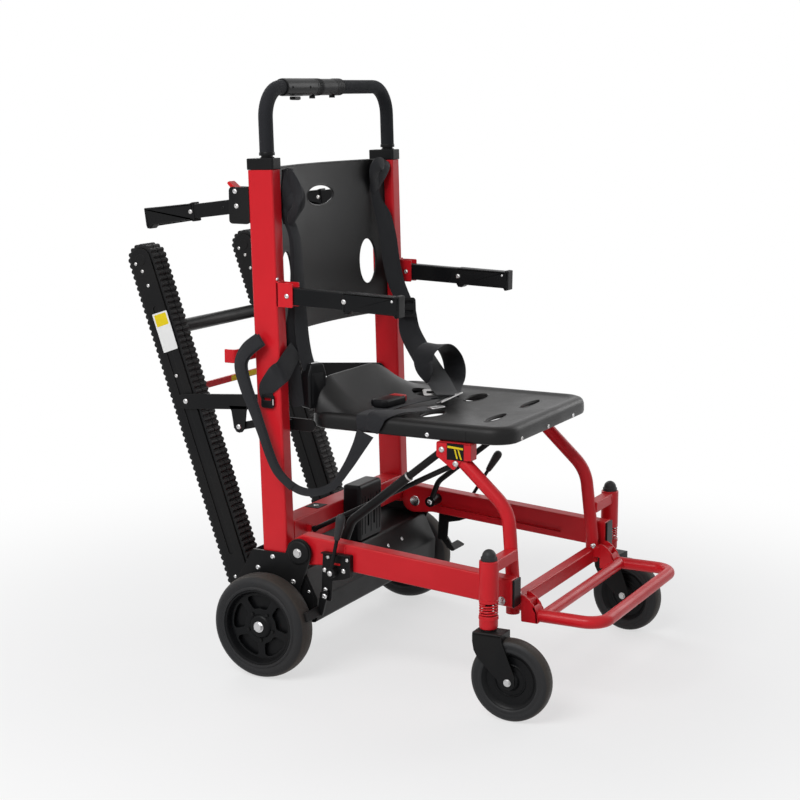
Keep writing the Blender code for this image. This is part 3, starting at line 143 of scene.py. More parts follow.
def rectangle(width: float, depth: float, radius: float, centre: Pair = (0, 0), steps: int = 4) -> list[Pair]:
    """Return a rounded rectangle's outline."""
    x, y = width / 2, depth / 2
    corners = [(centre[0] + a * x, centre[1] + b * y) for a, b in ((-1, -1), (1, -1), (1, 1), (-1, 1))]
    return rounded(corners, radius, steps)


def ellipse(centre: Pair, half_a: float, half_b: float, sides: int = 40) -> list[Pair]:
    """Return an ellipse's outline."""
    return [(centre[0] + half_a * math.cos(TURN * i / sides), centre[1] + half_b * math.sin(TURN * i / sides))
            for i in range(sides)]


def circle(centre: Pair, radius: float, sides: int = 32) -> list[Pair]:
    """Return a circle's outline."""
    return ellipse(centre, radius, radius, sides)


def mirrored(profile: Sequence[Pair], *middle: Pair) -> list[Pair]:
    """Return a turned profile, its middle points and its mirror image back to the start."""
    return [*profile, *middle, *((radius, -height) for radius, height in reversed(profile))]


def arc(centre: Pair, radius: float, degrees: Iterable[float]) -> list[Pair]:
    """Return the places on a circle at these angles."""
    angles = [math.radians(degree) for degree in degrees]
    return [(centre[0] + radius * math.cos(a), centre[1] + radius * math.sin(a)) for a in angles]


def stadium(first: Pair, second: Pair, radius: float, sides: int = 12) -> list[Pair]:
    """Return the outline that runs round two points at this distance."""
    along = math.atan2(second[1] - first[1], second[0] - first[0])
    points = []
    for centre, start in ((second, along - math.pi / 2), (first, along + math.pi / 2)):
        for i in range(sides + 1):
            angle = start + math.pi * i / sides
            points.append((centre[0] + radius * math.cos(angle), centre[1] + radius * math.sin(angle)))
    return points


def smooth_path(points: Sequence[Sequence[float]], parts: int = 6) -> list[Vector]:
    """Return a smooth path through the points, with this many parts between neighbours."""
    known = [Vector(p) for p in points]
    path = []
    for i in range(len(known) - 1):
        a, b = known[max(i - 1, 0)], known[i]
        c, d = known[i + 1], known[min(i + 2, len(known) - 1)]
        for j in range(parts):
            t = j / parts
            path.append(0.5 * (2 * b + (c - a) * t + (2 * a - 5 * b + 4 * c - d) * t ** 2
                               + (3 * b - a - 3 * c + d) * t ** 3))
    return path + [known[-1]]


def side_view(x: float) -> Matrix:
    """Return the placing that stands a flat shape in the side view, its thickness along X."""
    turn = Matrix(((0, 0, 1, 0), (1, 0, 0, 0), (0, 1, 0, 0), (0, 0, 0, 1)))
    return Matrix.Translation((x, 0, 0)) @ turn


def facing(place: Sequence[float], direction: Sequence[float]) -> Matrix:
    """Return the placing that moves the origin to a place and turns local Z to a direction."""
    turn = Vector(direction).to_track_quat("Z", "Y").to_matrix().to_4x4()
    return Matrix.Translation(Vector(place)) @ turn


# Shapes, each a bmesh of its own.

def started() -> Shape:
    """Return an empty bmesh with the layers that every shape carries."""
    bm = bmesh.new()
    bm.faces.layers.float.new("edge")
    bm.loops.layers.uv.new("run")
    return bm


def eased(bm: Shape, width: float, segments: int = 2, angle: float = 40) -> Shape:
    """Round every edge sharper than the angle, and mark the rounding for wear.

    Args:
        bm: The shape, which is changed.
        width: The rounding's width.
        segments: The number of strips in it.
        angle: The least angle between two faces, in degrees.

    Returns:
        The same shape.
    """
    bmesh.ops.recalc_face_normals(bm, faces=bm.faces)
    sharp = [e for e in bm.edges if e.is_manifold and e.calc_face_angle(0) > math.radians(angle)]
    if width and sharp:
        made = bmesh.ops.bevel(bm, geom=sharp, offset=width, offset_type="OFFSET", segments=segments,
                               profile=0.5, affect="EDGES", clamp_overlap=False, material=-1)
        layer = bm.faces.layers.float["edge"]
        for face in made["faces"]:
            face[layer] = 1
    return bm


def plate(outline: Sequence[Pair], thickness: float, ease: float = 0.0006,
          holes: Iterable[Sequence[Pair]] = (), segments: int = 2) -> Shape:
    """Make a plate from its outline, centred on local Z.

    Args:
        outline: The plate's outline.
        thickness: Its thickness.
        ease: The width of its rounded edges.
        holes: The outlines of its openings.
        segments: The number of strips in the rounding.

    Returns:
        The shape.
    """
    bm = started()
    holes = list(holes)
    for ring in (outline, *holes):
        verts = [bm.verts.new((a, b, -thickness / 2)) for a, b in ring]
        for first, second in zip(verts, verts[1:] + verts[:1]):
            bm.edges.new((first, second))
    if holes:
        bmesh.ops.triangle_fill(bm, edges=bm.edges[:], use_beauty=True, normal=(0, 0, 1))
    else:
        bmesh.ops.contextual_create(bm, geom=bm.edges[:])
    raised = bmesh.ops.extrude_face_region(bm, geom=bm.faces[:])["geom"]
    bmesh.ops.translate(bm, vec=(0, 0, thickness),
                        verts=[v for v in raised if isinstance(v, bmesh.types.BMVert)])
    return eased(bm, ease, segments)


def block(size: Triple, ease: float = 0.0008, segments: int = 2) -> Shape:
    """Make a block with rounded edges, centred on the origin."""
    bm = started()
    bmesh.ops.create_cube(bm, size=1)
    bmesh.ops.scale(bm, vec=size, verts=bm.verts)
    return eased(bm, ease, segments)


def turned(profile: Sequence[Pair], steps: int = 36, ring: bool = False) -> Shape:
    """Turn a profile about local Z.

    Args:
        profile: The points (radius, height).
        steps: The number of parts in the full turn.
        ring: Whether the profile's two ends are joined, as on a tyre or a sleeve.

    Returns:
        The shape. Its map runs round the turn in u, and along the profile in metres in v.
    """
    bm = started()
    points = [bm.verts.new((radius, 0, height)) for radius, height in profile]
    for first, second in zip(points, points[1:] + (points[:1] if ring else [])):
        bm.edges.new((first, second))
    bmesh.ops.spin(bm, geom=bm.verts[:] + bm.edges[:], cent=(0, 0, 0), axis=(0, 0, 1), angle=TURN,
                   steps=steps, use_merge=True)
    bmesh.ops.remove_doubles(bm, verts=bm.verts, dist=1e-6)
    bmesh.ops.recalc_face_normals(bm, faces=bm.faces)
    lengths = {}
    total = 0.0
    for i, (radius, height) in enumerate(profile):
        if i:
            total += math.dist((radius, height), profile[i - 1])
        lengths.setdefault((round(radius, 6), round(height, 6)), total)
    layer = bm.loops.layers.uv["run"]
    for face in bm.faces:
        angles = [math.atan2(loop.vert.co.y, loop.vert.co.x) / TURN % 1 for loop in face.loops]
        wraps = max(angles) - min(angles) > 0.5
        for loop, angle in zip(face.loops, angles):
            co = loop.vert.co
            key = (round(math.hypot(co.x, co.y), 6), round(co.z, 6))
            loop[layer].uv = (angle + (1 if wraps and angle < 0.5 else 0), lengths.get(key, 0.0))
    return bm


def swept(path: Sequence[Vector], section: Sequence[Pair], normals: Sequence[Vector] = (), loop: bool = False,
          scales: Sequence[float] = ()) -> Shape:
    """Sweep a section along a path.

    Args:
        path: The path's points.
        section: The closed section as (across, out) points.
        normals: The direction of out at each point of the path, or none where it may follow the path.
        loop: Whether the path closes on itself.
        scales: The section's size at each point, or none for 1.

    Returns:
        The shape. Its map runs across the section in u and along the path in v, both in metres.
    """
    bm = started()
    count = len(path)
    frames, lengths = [], [0.0]
    out = Vector(normals[0]) if normals else None
    for i, place in enumerate(path):
        before = path[i - 1] if i or loop else path[0]
        after = path[(i + 1) % count] if i < count - 1 or loop else path[-1]
        along = (after - before).normalized()
        if normals:
            out = Vector(normals[i])
        elif out is None:
            out = along.orthogonal()
        out = (out - along * out.dot(along)).normalized()
        across = out.cross(along)
        size = scales[i] if scales else 1.0
        frames.append(Matrix.Translation(place) @ Matrix((across, out, along)).transposed().to_4x4()
                      @ Matrix.Diagonal((size, size, 1, 1)))
        if i:
            lengths.append(lengths[-1] + (place - path[i - 1]).length)
    verts = [bm.verts.new((a, b, 0)) for a, b in section]
    places = {vert: k for k, vert in enumerate(verts)}
    ring = [bm.edges.new(pair) for pair in zip(verts, verts[1:] + verts[:1])]
    first = ring
    bmesh.ops.transform(bm, matrix=frames[0], verts=verts)
    rows = {vert: 0 for vert in verts}
    for i in range(1, count):
        geom = bmesh.ops.extrude_edge_only(bm, edges=ring)["geom"]
        fresh = [v for v in geom if isinstance(v, bmesh.types.BMVert)]
        ring = [e for e in geom if isinstance(e, bmesh.types.BMEdge)]
        bmesh.ops.transform(bm, matrix=frames[i] @ frames[i - 1].inverted(), verts=fresh)
        for vert in fresh:
            rows[vert] = i
            linked = [e.other_vert(vert) for e in vert.link_edges]
            places[vert] = next(places[v] for v in linked if rows.get(v) == i - 1)
    if loop:
        bmesh.ops.bridge_loops(bm, edges=first + ring)
    else:
        for edges in (first, ring):
            bmesh.ops.contextual_create(bm, geom=edges)
    girth = [0.0]
    for a, b in zip(section, section[1:]):
        girth.append(girth[-1] + math.dist(a, b))
    layer = bm.loops.layers.uv["run"]
    for face in bm.faces:
        numbers = [places[corner.vert] for corner in face.loops]
        wraps = max(numbers) - min(numbers) > len(section) / 2
        for corner, number in zip(face.loops, numbers):
            u = girth[-1] + math.dist(section[-1], section[0]) if wraps and number == 0 else girth[number]
            corner[layer].uv = (u, lengths[rows[corner.vert]])
    bmesh.ops.recalc_face_normals(bm, faces=bm.faces)
    return bm


def rod(path: Sequence[Sequence[float]], radius: float, bend: float = 0.0, sides: int = 16, steps: int = 8,
        scales: Sequence[float] = ()) -> Shape:
    """Make a round bar along a path, its corners bent on a radius."""
    route = filleted(path, bend, steps) if bend else [Vector(p) for p in path]
    return swept(route, circle((0, 0), radius, sides), scales=scales)


def strap(points: Sequence[Sequence[float]], normals: Sequence[Sequence[float]], width: float,
          thickness: float = 0.0016, parts: int = 8, cup: float = 0.0, widths: Sequence[float] = ()) -> Shape:
    """Make a woven strap along a smooth path.

    Args:
        points: The places that its middle passes through.
        normals: The direction that its face looks in at each place.
        width: The strap's width.
        thickness: Its thickness.
        parts: The number of parts between two places.
        cup: How far its edges bend back from its middle.
        widths: The share of the width at each place, less than 1 where it is bunched up.

    Returns:
        The shape.
    """
    path = smooth_path(points, parts)
    faces = [n.normalized() for n in smooth_path(normals, parts)]
    shares = [v.x for v in smooth_path([(w, 0, 0) for w in widths], parts)] if widths else []
    half, thick = width / 2, thickness / 2
    steps = 8
    front = [(half * t, thick * (0.55 if abs(t) == 1 else 1) - cup * t * t)
             for t in [2 * i / steps - 1 for i in range(steps + 1)]]
    back = [(a, b - 2 * (b + cup * (a / half) ** 2)) for a, b in front[::-1]]
    return swept(path, front + back, faces, scales=shares)


def bolt(radius: float, height: float) -> Shape:
    """Make a button head with a round socket, its seat on the origin."""
    return turned([(0, height * 0.45), (radius * 0.42, height * 0.45), (radius * 0.46, height * 0.96),
                   (radius * 0.66, height * 0.92), (radius * 0.9, height * 0.6), (radius, height * 0.2),
                   (radius, -0.0004), (0, -0.0004)], 20)


def hexagon(radius: float, height: float) -> Shape:
    """Make a hexagon head on a washer, its seat on the origin."""
    bm = started()
    bmesh.ops.create_cone(bm, cap_ends=True, segments=6, radius1=radius, radius2=radius, depth=height)
    bmesh.ops.translate(bm, vec=(0, 0, height / 2 + 0.0008), verts=bm.verts)
    eased(bm, 0.0006)
    return joined(bm, turned([(0, 0.0012), (radius * 1.22, 0.0012), (radius * 1.26, -0.0004), (0, -0.0004)],
                             24))


def joined(*shapes: Shape) -> Shape:
    """Return one shape that holds all of these, which are freed."""
    whole = started()
    for shape in shapes:
        mesh = bpy.data.meshes.new("part")
        shape.to_mesh(mesh)
        shape.free()
        whole.from_mesh(mesh)
        bpy.data.meshes.remove(mesh)
    return whole


def moved(shape: Shape, place: Matrix) -> Shape:
    """Return the shape after it is moved, with its faces still pointing outwards."""
    bmesh.ops.transform(shape, matrix=place, verts=shape.verts)
    if place.determinant() < 0:
        bmesh.ops.reverse_faces(shape, faces=shape.faces)
    return shape


def cut(shape: Shape, *tools: Shape) -> Shape:
    """Cut the tools out of a shape.

    Args:
        shape: The shape that is cut.
        tools: The shapes that are taken away.

    Returns:
        The cut shape; the others are freed.
    """
    objects = []
    for part in (shape, *tools):
        mesh = bpy.data.meshes.new("cut")
        part.to_mesh(mesh)
        part.free()
        objects.append(bpy.data.objects.new("cut", mesh))
        bpy.context.scene.collection.objects.link(objects[-1])
    for tool in objects[1:]:
        modifier = objects[0].modifiers.new("cut", "BOOLEAN")
        modifier.operation = "DIFFERENCE"
        modifier.solver = "EXACT"
        modifier.object = tool
    graph = bpy.context.evaluated_depsgraph_get()
    made = bpy.data.meshes.new_from_object(objects[0].evaluated_get(graph))
    result = started()
    result.from_mesh(made)
    for obj in objects:
        bpy.data.objects.remove(obj)
    return result


# Node trees.

def node(tree: bpy.types.NodeTree, kind: str, inputs: dict | None = None,
         **settings: object) -> bpy.types.Node:
    """Add a node.

    Args:
        tree: The tree that it goes into.
        kind: The node's type.
        inputs: Values or sockets for its inputs, by name or number.
        settings: The node's own settings.

    Returns:
        The node.
    """
    made = tree.nodes.new(kind)
    for name, value in settings.items():
        setattr(made, name, value)
    for name, value in (inputs or {}).items():
        if isinstance(value, bpy.types.NodeSocket):
            tree.links.new(value, made.inputs[name])
        else:
            made.inputs[name].default_value = value
    return made


def mixed(tree: bpy.types.NodeTree, share: Socket | float, first: object, second: object,
          way: str = "MIX") -> Socket:
    """Return the colour that a share of the second makes on the first."""
    made = node(tree, "ShaderNodeMix", {0: share, 6: first, 7: second}, data_type="RGBA", blend_type=way)
    return made.outputs[2]


def sums(tree: bpy.types.NodeTree, way: str, *values: object, clamp: bool = False) -> Socket:
    """Return the result of one sum on values or sockets."""
    return node(tree, "ShaderNodeMath", dict(enumerate(values)), operation=way, use_clamp=clamp).outputs[0]


def ranged(tree: bpy.types.NodeTree, value: Socket, low: float, high: float, to_low: object,
           to_high: object) -> Socket:
    """Return the value moved smoothly from one range to another."""
    return node(tree, "ShaderNodeMapRange", {0: value, 1: low, 2: high, 3: to_low, 4: to_high},
                interpolation_type="SMOOTHSTEP").outputs[0]


@dataclass(frozen=True)
class Effect:
    """A pattern that several finishes share, kept as a shader node group.

    Attributes:
        name: The group's name.
        inputs: Its inputs and their usual values.
        outputs: Its outputs.
        fill: The function that wires it, given the tree and the inputs, and returns the outputs.
    """

    name: str
    inputs: tuple[tuple[str, float], ...]
    outputs: tuple[str, ...]
    fill: Callable[[bpy.types.NodeTree, dict[str, Socket]], dict[str, Socket]]

    def tree(self) -> bpy.types.NodeTree:
        """Return the group's tree, built on first use."""
        known = bpy.data.node_groups.get(self.name)
        if known:
            return known
        tree = bpy.data.node_groups.new(self.name, "ShaderNodeTree")
        for name, value in self.inputs:
            tree.interface.new_socket(name=name, in_out="INPUT",
                                      socket_type="NodeSocketFloat").default_value = value
        for name in self.outputs:
            tree.interface.new_socket(name=name, in_out="OUTPUT", socket_type="NodeSocketFloat")
        entry = node(tree, "NodeGroupInput")
        leave = node(tree, "NodeGroupOutput")
        wired = self.fill(tree, {name: entry.outputs[name] for name, _ in self.inputs})
        for name, socket in wired.items():
            tree.links.new(socket, leave.inputs[name])
        return tree

    def placed(self, tree: bpy.types.NodeTree, **values: object) -> dict[str, Socket]:
        """Place the group in a material with its own values, and return its outputs by name."""
        made = node(tree, "ShaderNodeGroup", values, node_tree=self.tree())
        return {name: made.outputs[name] for name in self.outputs}


def fill_grain(tree: bpy.types.NodeTree, given: dict[str, Socket]) -> dict[str, Socket]:
    """Wire fine grain, broad blotches and faint scratches on Object coordinates."""
    place = node(tree, "ShaderNodeTexCoord").outputs["Object"]
    fine = node(tree, "ShaderNodeTexNoise", {"Vector": place, "Scale": given["Fine"], "Detail": 3.0})
    broad = node(tree, "ShaderNodeTexNoise", {"Vector": place, "Scale": given["Broad"], "Detail": 4.0,
                                              "Distortion": 0.6})
    long_way = node(tree, "ShaderNodeMapping", {"Vector": place, "Rotation": (0.35, 0.5, 0.2),
                                                "Scale": (60, 900, 900)})
    lines = node(tree, "ShaderNodeTexNoise", {"Vector": long_way.outputs[0], "Scale": 1.0, "Detail": 1.0})
    scratch = ranged(tree, lines.outputs[0], 0.70, 0.78, 0.0, 1.0)
    patch = ranged(tree, broad.outputs[0], 0.52, 0.68, 0.0, 1.0)
    return {"Height": fine.outputs[0], "Blotch": ranged(tree, broad.outputs[0], 0.3, 0.7, 0.0, 1.0),
            "Scratch": sums(tree, "MULTIPLY", scratch, patch)}


def fill_dust(tree: bpy.types.NodeTree, given: dict[str, Socket]) -> dict[str, Socket]:
    """Wire dust that settles on faces that look up."""
    coordinates = node(tree, "ShaderNodeTexCoord")
    upward = node(tree, "ShaderNodeSeparateXYZ", {0: coordinates.outputs["Normal"]}).outputs[2]
    level = ranged(tree, upward, 0.15, 1.0, 0.0, 1.0)
    patches = node(tree, "ShaderNodeTexNoise", {"Vector": coordinates.outputs["Object"], "Scale": 38.0,
                                                "Detail": 8.0, "Roughness": 0.65})
    amount = ranged(tree, patches.outputs[0], 0.35, 0.7, 0.45, 1.0)
    return {"Mask": sums(tree, "MULTIPLY", sums(tree, "MULTIPLY", level, amount), given["Amount"],
                         clamp=True)}


def fill_wear(tree: bpy.types.NodeTree, given: dict[str, Socket]) -> dict[str, Socket]:
    """Wire wear along the edges that are marked in the mesh."""
    marked = node(tree, "ShaderNodeAttribute", attribute_name="edge").outputs["Fac"]
    place = node(tree, "ShaderNodeTexCoord").outputs["Object"]
    patches = node(tree, "ShaderNodeTexNoise", {"Vector": place, "Scale": 70.0, "Detail": 6.0,
                                                "Roughness": 0.7})
    chipped = ranged(tree, patches.outputs[0], 0.56, 0.62, 0.0, 1.0)
    soft = sums(tree, "MULTIPLY", marked, 0.35)
    mask = sums(tree, "MAXIMUM", sums(tree, "MULTIPLY", marked, chipped), soft)
    return {"Mask": sums(tree, "MULTIPLY", mask, given["Amount"], clamp=True)}


def fill_weave(tree: bpy.types.NodeTree, given: dict[str, Socket]) -> dict[str, Socket]:
    """Wire a ribbed herringbone on the strap's own map, in metres."""
    place = node(tree, "ShaderNodeUVMap", uv_map="run").outputs[0]
    split = node(tree, "ShaderNodeSeparateXYZ", {0: place})
    across = sums(tree, "MULTIPLY", split.outputs[0], given["Ribs"])
    along = sums(tree, "MULTIPLY", split.outputs[1], given["Picks"])
    zigzag = sums(tree, "PINGPONG", across, 1.0)
    picks = sums(tree, "SINE", sums(tree, "ADD", along, sums(tree, "MULTIPLY", zigzag, 3.0)))
    ribs = sums(tree, "ABSOLUTE", sums(tree, "SINE", sums(tree, "MULTIPLY", across, math.pi)))
    height = sums(tree, "ADD", sums(tree, "MULTIPLY", ribs, 0.6), sums(tree, "MULTIPLY", picks, 0.25))
    place = node(tree, "ShaderNodeTexCoord").outputs["Object"]
    fuzz = node(tree, "ShaderNodeTexNoise", {"Vector": place, "Scale": 900.0, "Detail": 2.0}).outputs[0]
    return {"Height": sums(tree, "ADD", height, sums(tree, "MULTIPLY", fuzz, 0.4)), "Rib": ribs}


GRAIN = Effect("surface_grain", (("Fine", 900.0), ("Broad", 6.0)), ("Height", "Blotch", "Scratch"),
               fill_grain)
DUST = Effect("settled_dust", (("Amount", 0.2),), ("Mask",), fill_dust)
WEAR = Effect("edge_wear", (("Amount", 0.3),), ("Mask",), fill_wear)
WEAVE = Effect("strap_weave", (("Ribs", 700.0), ("Picks", 3600.0)), ("Height", "Rib"), fill_weave)


# Finishes.

@dataclass(frozen=True)
class Finish:
    """A surface, from its colour down to its grain and wear.

    Attributes:
        name: The material's name.
        colour: The main colour.
        second: The colour that broad blotches lean towards.
        roughness: The roughness of its smoothest and its dullest places.
        metallic: How metallic it is.
        coat: The weight of its clear layer.
        coat_roughness: The roughness of that layer.
        sheen: The weight of its fuzz.
        specular: The level of its plain reflection.
        grain: The fineness of its grain.
        depth: The strength of the grain.
        dust: How much dust lies on its upper faces.
        dust_colour: The colour of that dust.
        wear: How worn its edges are.
        worn: The colour that shows there.
    """

    name: str
    colour: Triple
    second: Triple
    roughness: Pair = (0.35, 0.5)
    metallic: float = 0.0
    coat: float = 0.0
    coat_roughness: float = 0.08
    sheen: float = 0.0
    specular: float = 0.2
    grain: float = 900.0
    depth: float = 0.05
    dust: float = 0.2
    dust_colour: Triple = (0.28, 0.25, 0.23)
    wear: float = 0.3
    worn: Triple = (0.20, 0.19, 0.18)

    def relief(self, tree: bpy.types.NodeTree, grain: dict[str, Socket]) -> Socket:
        """Return the height of the surface's relief."""
        return grain["Height"]

    def tint(self, tree: bpy.types.NodeTree, colour: Socket, grain: dict[str, Socket]) -> Socket:
        """Return the colour after the finish's own pattern."""
        return colour

    def made(self) -> bpy.types.Material:
        """Return the material, built on first use."""
        known = bpy.data.materials.get(self.name)
        if known:
            return known
        material = bpy.data.materials.new(self.name)
        material.use_nodes = True
        tree = material.node_tree
        shader = tree.nodes["Principled BSDF"]
        grain = GRAIN.placed(tree, Fine=self.grain, Broad=7.0)
        colour = mixed(tree, grain["Blotch"], (*self.colour, 1), (*self.second, 1))
        colour = self.tint(tree, colour, grain)
        rough = ranged(tree, grain["Blotch"], 0.0, 1.0, *self.roughness)
        if self.wear:
            wear = WEAR.placed(tree, Amount=self.wear)["Mask"]
            colour = mixed(tree, wear, colour, (*self.worn, 1))
            rough = sums(tree, "ADD", rough, sums(tree, "MULTIPLY", wear, 0.1))
        if self.dust:
            dust = DUST.placed(tree, Amount=self.dust)["Mask"]
            colour = mixed(tree, dust, colour, (*self.dust_colour, 1))
            rough = sums(tree, "ADD", rough, sums(tree, "MULTIPLY", dust, 0.5), clamp=True)
        rough = sums(tree, "ADD", rough, sums(tree, "MULTIPLY", grain["Scratch"], 0.12), clamp=True)
        bump = node(tree, "ShaderNodeBump", {"Height": self.relief(tree, grain), "Strength": self.depth,
                                             "Distance": 0.001})
        tree.links.new(colour, shader.inputs["Base Color"])
        tree.links.new(rough, shader.inputs["Roughness"])
        tree.links.new(bump.outputs[0], shader.inputs["Normal"])
        plain = {"Metallic": self.metallic, "Coat Weight": self.coat, "Coat Roughness": self.coat_roughness,
                 "Sheen Weight": self.sheen, "Specular IOR Level": self.specular}
        for name, value in plain.items():
            shader.inputs[name].default_value = value
        material.diffuse_color = (*self.colour, 1)
        return material


@dataclass(frozen=True)
class Woven(Finish):
    """Polyester webbing, ribbed along its length."""

    def relief(self, tree: bpy.types.NodeTree, grain: dict[str, Socket]) -> Socket:
        """Return the height of the ribs and the picks."""
        return WEAVE.placed(tree)["Height"]

    def tint(self, tree: bpy.types.NodeTree, colour: Socket, grain: dict[str, Socket]) -> Socket:
        """Return the colour with painted shade between the ribs and a faint painted highlight on their
        crests.
        """
        # painted shade: the webbing's colour is multiplied darker in the grooves between ribs and slightly
        # lighter on the rib crests
        shade = ranged(tree, WEAVE.placed(tree)["Rib"], 0.0, 1.0, 0.55, 1.1)
        grey = node(tree, "ShaderNodeCombineColor", {0: shade, 1: shade, 2: shade}).outputs[0]
        return mixed(tree, 1.0, colour, grey, "MULTIPLY")


@dataclass(frozen=True)
class Tread(Finish):
    """Tyre rubber whose crown is worn brownish and moulded with fine ribs.

    Attributes:
        ribs: The number of ribs round the tyre.
        slant: How often the ribs change direction in a metre of the profile.
        crown: Where the tread starts and ends along the tyre's profile, in metres.
    """

    ribs: float = 160.0
    slant: float = 160.0
    crown: Pair = (0.030, 0.060)

    @staticmethod
    def places(tree: bpy.types.NodeTree) -> Sequence[Socket]:
        """Return the map's share of the turn and its way along the profile, in metres."""
        run = node(tree, "ShaderNodeUVMap", uv_map="run").outputs[0]
        return node(tree, "ShaderNodeSeparateXYZ", {0: run}).outputs

    def relief(self, tree: bpy.types.NodeTree, grain: dict[str, Socket]) -> Socket:
        """Return the height of the moulded ribs and the grain."""
        turn_share, along, _ = self.places(tree)
        slant = sums(tree, "PINGPONG", sums(tree, "MULTIPLY", along, self.slant), 1.0)
        turn = sums(tree, "ADD", sums(tree, "MULTIPLY", turn_share, self.ribs * TURN), slant)
        ribs = ranged(tree, sums(tree, "SINE", turn), -0.2, 0.5, 0.0, 1.0)
        on_crown = self.band(tree, along)
        return sums(tree, "ADD", sums(tree, "MULTIPLY", ribs, on_crown),
                    sums(tree, "MULTIPLY", grain["Height"], 0.4))

    def band(self, tree: bpy.types.NodeTree, along: Socket) -> Socket:
        """Return the mask of the tread along the tyre's profile."""
        low, high = self.crown
        rise = ranged(tree, along, low - 0.003, low + 0.001, 0.0, 1.0)
        return sums(tree, "MULTIPLY", rise, ranged(tree, along, high - 0.001, high + 0.003, 1.0, 0.0))

    def tint(self, tree: bpy.types.NodeTree, colour: Socket, grain: dict[str, Socket]) -> Socket:
        """Return the colour, browner and dustier on the tread."""
        _, along, _ = self.places(tree)
        share = sums(tree, "MULTIPLY", self.band(tree, along), ranged(tree, grain["Blotch"], 0, 1, 0.5, 0.9))
        return mixed(tree, share, colour, (0.040, 0.033, 0.027, 1))


class Finishes(Enum):
    """The finishes that the stretcher is made in."""

    RED = Finish("red_powder_coat", (0.63, 0.012, 0.020), (0.56, 0.010, 0.017), (0.30, 0.42), coat=0.08,
                 coat_roughness=0.16, grain=420.0, depth=0.035, dust=0.10, dust_colour=(0.24, 0.13, 0.11),
                 wear=0.18, worn=(0.50, 0.07, 0.05))
    BLACK_COAT = Finish("black_powder_coat", (0.0048, 0.0050, 0.0056), (0.0075, 0.0072, 0.0072), (0.34, 0.5),
                        specular=0.14, grain=700.0, depth=0.10, dust=0.06, dust_colour=(0.08, 0.075, 0.07),
                        wear=0.4, worn=(0.045, 0.043, 0.041))
    SHELL = Finish("moulded_shell", (0.0052, 0.0054, 0.0060), (0.0075, 0.0072, 0.0072), (0.32, 0.42),
                   specular=0.20, grain=1500.0, depth=0.14, dust=0.08, dust_colour=(0.06, 0.05, 0.045),
                   wear=0.12, worn=(0.03, 0.03, 0.032))
    PLASTIC = Finish("handle_plastic", (0.0045, 0.0048, 0.0055), (0.0062, 0.0062, 0.0066), (0.30, 0.44),
                     specular=0.12, grain=1100.0, depth=0.06, dust=0.05, dust_colour=(0.08, 0.075, 0.07),
                     wear=0.25, worn=(0.035, 0.035, 0.037))
    FOAM = Finish("foam_sleeve", (0.012, 0.0125, 0.015), (0.015, 0.016, 0.018), (0.8, 0.95), sheen=0.03,
                  specular=0.20, grain=1300.0, depth=0.55, dust=0.05, dust_colour=(0.07, 0.07, 0.07),
                  wear=0.0)
    WEBBING = Woven("harness_webbing", (0.0085, 0.0090, 0.0110), (0.013, 0.0135, 0.016), (0.5, 0.66),
                    sheen=0.10, depth=0.4, dust=0.04, dust_colour=(0.07, 0.07, 0.07), wear=0.0)
    TYRE = Tread("tyre_rubber", (0.013, 0.0135, 0.0148), (0.018, 0.0175, 0.018), (0.5, 0.66), specular=0.25,
                 grain=1200.0, depth=0.22, dust=0.18, dust_colour=(0.06, 0.053, 0.047), wear=0.0)
    CASTER_TYRE = Tread("caster_tyre_rubber", (0.014, 0.0145, 0.0158), (0.018, 0.0178, 0.0185), (0.45, 0.6),
                        specular=0.25, grain=1200.0, depth=0.25, dust=0.12, dust_colour=(0.06, 0.053, 0.047),
                        wear=0.0, ribs=90.0, crown=(0.022, 0.046))
    BELT = Finish("track_rubber", (0.0060, 0.0062, 0.0070), (0.0085, 0.0084, 0.0086), (0.48, 0.62),
                  grain=900.0, depth=0.3, dust=0.12, dust_colour=(0.05, 0.045, 0.04), wear=0.2,
                  worn=(0.02, 0.02, 0.02))
    ZINC = Finish("zinc_plated_steel", (0.60, 0.60, 0.61), (0.48, 0.47, 0.46), (0.22, 0.38), metallic=1.0,
                  specular=0.5, grain=1500.0, depth=0.05, dust=0.1, dust_colour=(0.2, 0.18, 0.16), wear=0.2,
                  worn=(0.75, 0.75, 0.76))
    KNOB = Finish("knob_rubber", (0.024, 0.0245, 0.026), (0.030, 0.030, 0.031), (0.42, 0.55), grain=900.0,
                  depth=0.08, dust=0.08, dust_colour=(0.12, 0.115, 0.11), wear=0.1, worn=(0.06, 0.06, 0.062))
    RIM = Finish("grey_latch_plastic", (0.10, 0.103, 0.108), (0.08, 0.081, 0.084), (0.35, 0.5), specular=0.3,
                 grain=800.0, depth=0.08, dust=0.1, wear=0.3, worn=(0.2, 0.2, 0.205))
    LABEL = Finish("blank_label", (0.80, 0.80, 0.79), (0.74, 0.74, 0.72), (0.32, 0.42), grain=300.0,
                   depth=0.02, dust=0.1, dust_colour=(0.5, 0.48, 0.45), wear=0.3, worn=(0.6, 0.6, 0.58))
    YELLOW = Finish("yellow_mark", (0.78, 0.60, 0.015), (0.70, 0.52, 0.012), (0.35, 0.5), grain=300.0,
                    depth=0.02, dust=0.1, dust_colour=(0.5, 0.4, 0.2), wear=0.3, worn=(0.5, 0.4, 0.05))
    RED_PLASTIC = Finish("red_plastic", (0.62, 0.012, 0.014), (0.5, 0.01, 0.012), (0.25, 0.36), grain=700.0,
                         depth=0.03, dust=0.05, wear=0.2, worn=(0.7, 0.1, 0.08))


# Pieces.

